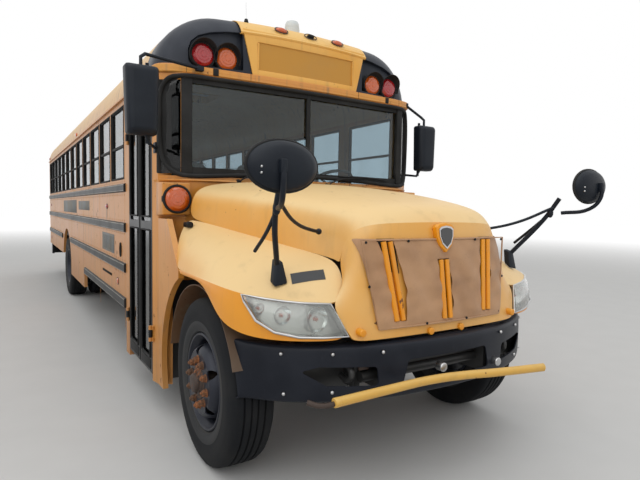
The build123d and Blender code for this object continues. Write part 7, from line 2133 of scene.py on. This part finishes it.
@dataclass
class Cabin:
    """Padded benches, driver's seat, steering wheel and dash."""

    floor: float = 1.07
    seat_top: float = 1.520
    back_top: float = 2.105
    first: float = 2.45
    pitch: float = .7112
    rows: int = 11
    bench_x: float = .670
    bench_width: float = .960
    wheel_at: Point = (.52, 1.160, 1.850)
    wheel_radius: float = .221

    def build(self) -> None:
        """Builds what is seen of the cabin through its windows."""
        self._seats()
        self._steering()
        self._dash()

    def _pad(self, name: str, low: Point, high: Point, crown: float, face: int) -> Piece:
        """One crowned pad whose edges pull in.

        Args:
            name: Name of the pad.
            low: Lowest corner.
            high: Highest corner.
            crown: How far its large faces swell.
            face: Axis on which those faces look.

        Returns:
            The pad.
        """
        pad = BENCH.box(name, low, high)
        with BENCH.editing(pad):
            bpy.ops.mesh.select_all(action="SELECT")
            bpy.ops.mesh.subdivide(number_cuts=5)
        centre = [(a + b) / 2 for a, b in zip(low, high)]
        half = [(b - a) / 2 for a, b in zip(low, high)]
        for vertex in pad.data.vertices:
            unit = [(vertex.co[i] - centre[i]) / half[i] for i in range(3)]
            others = [i for i in range(3) if i != face]
            fall = (1 - unit[others[0]] ** 4) * (1 - unit[others[1]] ** 4)
            vertex.co[face] = centre[face] + unit[face] * (half[face] - crown + crown * fall)
            for i in others:
                pull = 1 - .03 * abs(unit[face]) ** 3
                vertex.co[i] = centre[i] + unit[i] * half[i] * pull
        return BENCH.soften(pad, 1)

    def _seats(self) -> None:
        """Eleven rows of benches on both sides and the driver's seat."""
        x0, x1 = -self.bench_width / 2, self.bench_width / 2
        cushion = self._pad("cushion", (x0, -.20, self.seat_top - .10), (x1, .20, self.seat_top), .016, 2)
        back = self._pad("back", (x0, .21, self.seat_top - .02), (x1, .29, self.back_top), .014, 1)
        welt = BENCH.sweep("welt", [(x0 + .02, .215, self.seat_top), (x0 + .012, .215, self.back_top - .03),
                                    (x0 + .04, .215, self.back_top - .006),
                                    (x1 - .04, .215, self.back_top - .006),
                                    (x1 - .012, .215, self.back_top - .03), (x1 - .02, .215, self.seat_top)],
                           .004, True, 1)
        bench = BENCH.paint(BENCH.join("bench", [cushion, back, welt]), Finish.SEAT)
        places = [(side * self.bench_x, at(self.first + self.pitch * i), 0.0)
                  for side in (-1, 1) for i in range(self.rows)]
        benches = BENCH.scatter(bench, "bench_pads", places)
        pads = [self._pad("driver_cushion", (.27, at(1.30), self.seat_top - .10),
                          (.77, at(1.72), self.seat_top + .005), .02, 2),
                self._pad("driver_back", (.28, at(1.72), self.seat_top - .02),
                          (.76, at(1.82), self.back_top - .05), .02, 1)]
        driver = BENCH.paint(BENCH.join("driver_pads", pads), Finish.SEAT)
        piece = BENCH.join("seat_padding", [benches, driver])
        BENCH.finish(piece, "bus_body", "seat_vinyl", ("seat_pads",), 60.0)

    def _steering(self) -> None:
        """Steering wheel with three spokes, its boss and column."""
        tilt = Matrix.Rotation(math.radians(-30), 4, "X")
        ring = oval((0, 0, 0), (self.wheel_radius, 0, 0), (0, self.wheel_radius, 0), 36)
        parts = [BENCH.hoop("ring", ring, .0145, 4)]
        for angle in (90, 210, 330):
            a = math.radians(angle)
            spoke = [(.05 * math.cos(a), .05 * math.sin(a), -.03),
                     (.13 * math.cos(a), .13 * math.sin(a), -.022),
                     (.215 * math.cos(a), .215 * math.sin(a), 0.0)]
            parts.append(BENCH.sweep("spoke", spoke, .010, True, 3))
        boss = BENCH.drum("boss", (0, 0, -.025), (0, 0, 1), .062, .04, 32, .050, .008)
        column = BENCH.drum("column", (0, 0, -.16), (0, 0, 1), .027, .26, 24, .022, .004)
        stalk = BENCH.sweep("stalk", [(0, 0, -.08), (-.10, .02, -.07), (-.17, .03, -.055)], .006, True, 2)
        wheel = BENCH.join("wheel", [*parts, boss, column, stalk])
        x, y, z = self.wheel_at
        piece = BENCH.copy(wheel, "steering_wheel_rim", (x, at(y), z), tilt)
        bpy.data.objects.remove(wheel)
        BENCH.finish(BENCH.paint(piece, Finish.DASH), "bus_body", "dash_plastic", ("steering_wheel",), 50.0)

    def _dash(self) -> None:
        """Dash with its rounded cowl, a sunken top and vents."""
        low, high = (-.98, at(.785), 1.07), (.98, at(.955), 1.75)
        body = BENCH.box("dash", low, high)
        with BENCH.editing(body):
            BENCH.pick(body, lambda f: f.normal.z > .9)
            bpy.ops.mesh.inset(thickness=.03)
            bpy.ops.transform.translate(value=(0, 0, -.012))
        BENCH.bevel(body, .022, 4, 30)
        parts = [body]
        for i in range(5):
            parts.append(BENCH.box("vent", (-.80 + .30 * i, at(.82), 1.735),
                                   (-.62 + .30 * i, at(.86), 1.744), .003))
        BENCH.fit("dash_body", parts, Finish.DASH, "bus_body", "dash_plastic", ("dash_panel",), 40.0)


@dataclass
class Doors:
    """Rubber seals and pane edges of the entry door and the emergency door."""

    half: float = 1.219
    front: float = .950
    rear: float = 1.780
    low: float = .300
    top: float = 2.492
    bar: tuple[float, float] = (1.42, 1.48)

    def build(self) -> None:
        """Builds the seals of every door, each on its own leaf."""
        width = (self.rear - self.front) / 2 - .012
        for body, a in (("door_front_leaf", self.front + .008),
                        ("door_rear_leaf", self.rear - .008 - width)):
            pieces = []
            for z0, z1 in ((self.low + .11, self.bar[0]), (self.bar[1] + .03, self.top - .05)):
                loop = [(-self.half - .001, at(y), z)
                        for y, z in rectangle(a + .058, z0 + .008, a + width - .058, z1 - .008)]
                pieces.append(BENCH.hoop("pane_seal", loop, .009))
            y = a + width - .004 if body == "door_front_leaf" else a + .004
            seal = [(-self.half + .006, at(y), self.low + .01), (-self.half + .006, at(y), self.top - .01)]
            pieces.append(BENCH.sweep("edge_seal", seal, .010, False, 3))
            kick = BENCH.box("kick_bar", (-self.half - .004, at(a + .05), self.low + .02),
                             (-self.half + .004, at(a + width - .05), self.low + .10), .003)
            pieces.append(kick)
            BENCH.fit(body + "_seals", pieces, Finish.RUBBER, body, "black_trim", (), 50.0)
        self._rear_door()

    def _rear_door(self) -> None:
        """Pane seals and handle bar on the emergency door, and the rear windows' rubbers."""
        pieces = []
        for z0, z1 in ((1.23, 1.64), (1.84, 2.40)):
            loop = [(x, at(10.6205), z) for x, z in rectangle(-.332, z0 + .01, .332, z1 - .01)]
            pieces.append(BENCH.paint(BENCH.hoop("pane_seal", loop, .011), Finish.RUBBER))
        bar = [(.25, at(10.628), 1.74), (.26, at(10.640), 1.74), (.42, at(10.640), 1.74),
               (.43, at(10.628), 1.74)]
        pieces.append(BENCH.paint(BENCH.sweep("handle", bar, .010, True, 3), Finish.STEEL))
        BENCH.finish(BENCH.join("rear_door_fittings", pieces), "emergency_door", "black_trim", (), 50.0)
        pieces = []
        for side in (-1, 1):
            x, z = side * .80, 2.15
            loop = [(x + dx, at(10.6215), z + dz) for dx, dz in rectangle(-.232, -.302, .232, .302)]
            pieces.append(BENCH.hoop("window_seal", loop, .011))
        loop = [(x, at(10.6205), z) for x, z in rectangle(-.456, 1.066, .456, 2.504)]
        pieces.append(BENCH.hoop("door_seal", loop, .006))
        BENCH.fit("rear_rubbers", pieces, Finish.RUBBER, "bus_body", "black_trim", (), 50.0)


def main() -> None:
    """Builds the dressed bus around its frame."""
    logging.basicConfig(level=logging.INFO, format="%(message)s")
    bpy.context.scene.view_settings.view_transform = "Standard"
    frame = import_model()
    Studio().build()
    dress_nodes(frame["nodes"])
    for part in (Hood(), Grille(), Bumper(), Mirrors(), FrontCap(), Windshield(), Cowl(), BodySides(),
                 Wheels(), Cabin(), Doors()):
        part.build()


if __name__ == "__main__":
    main()
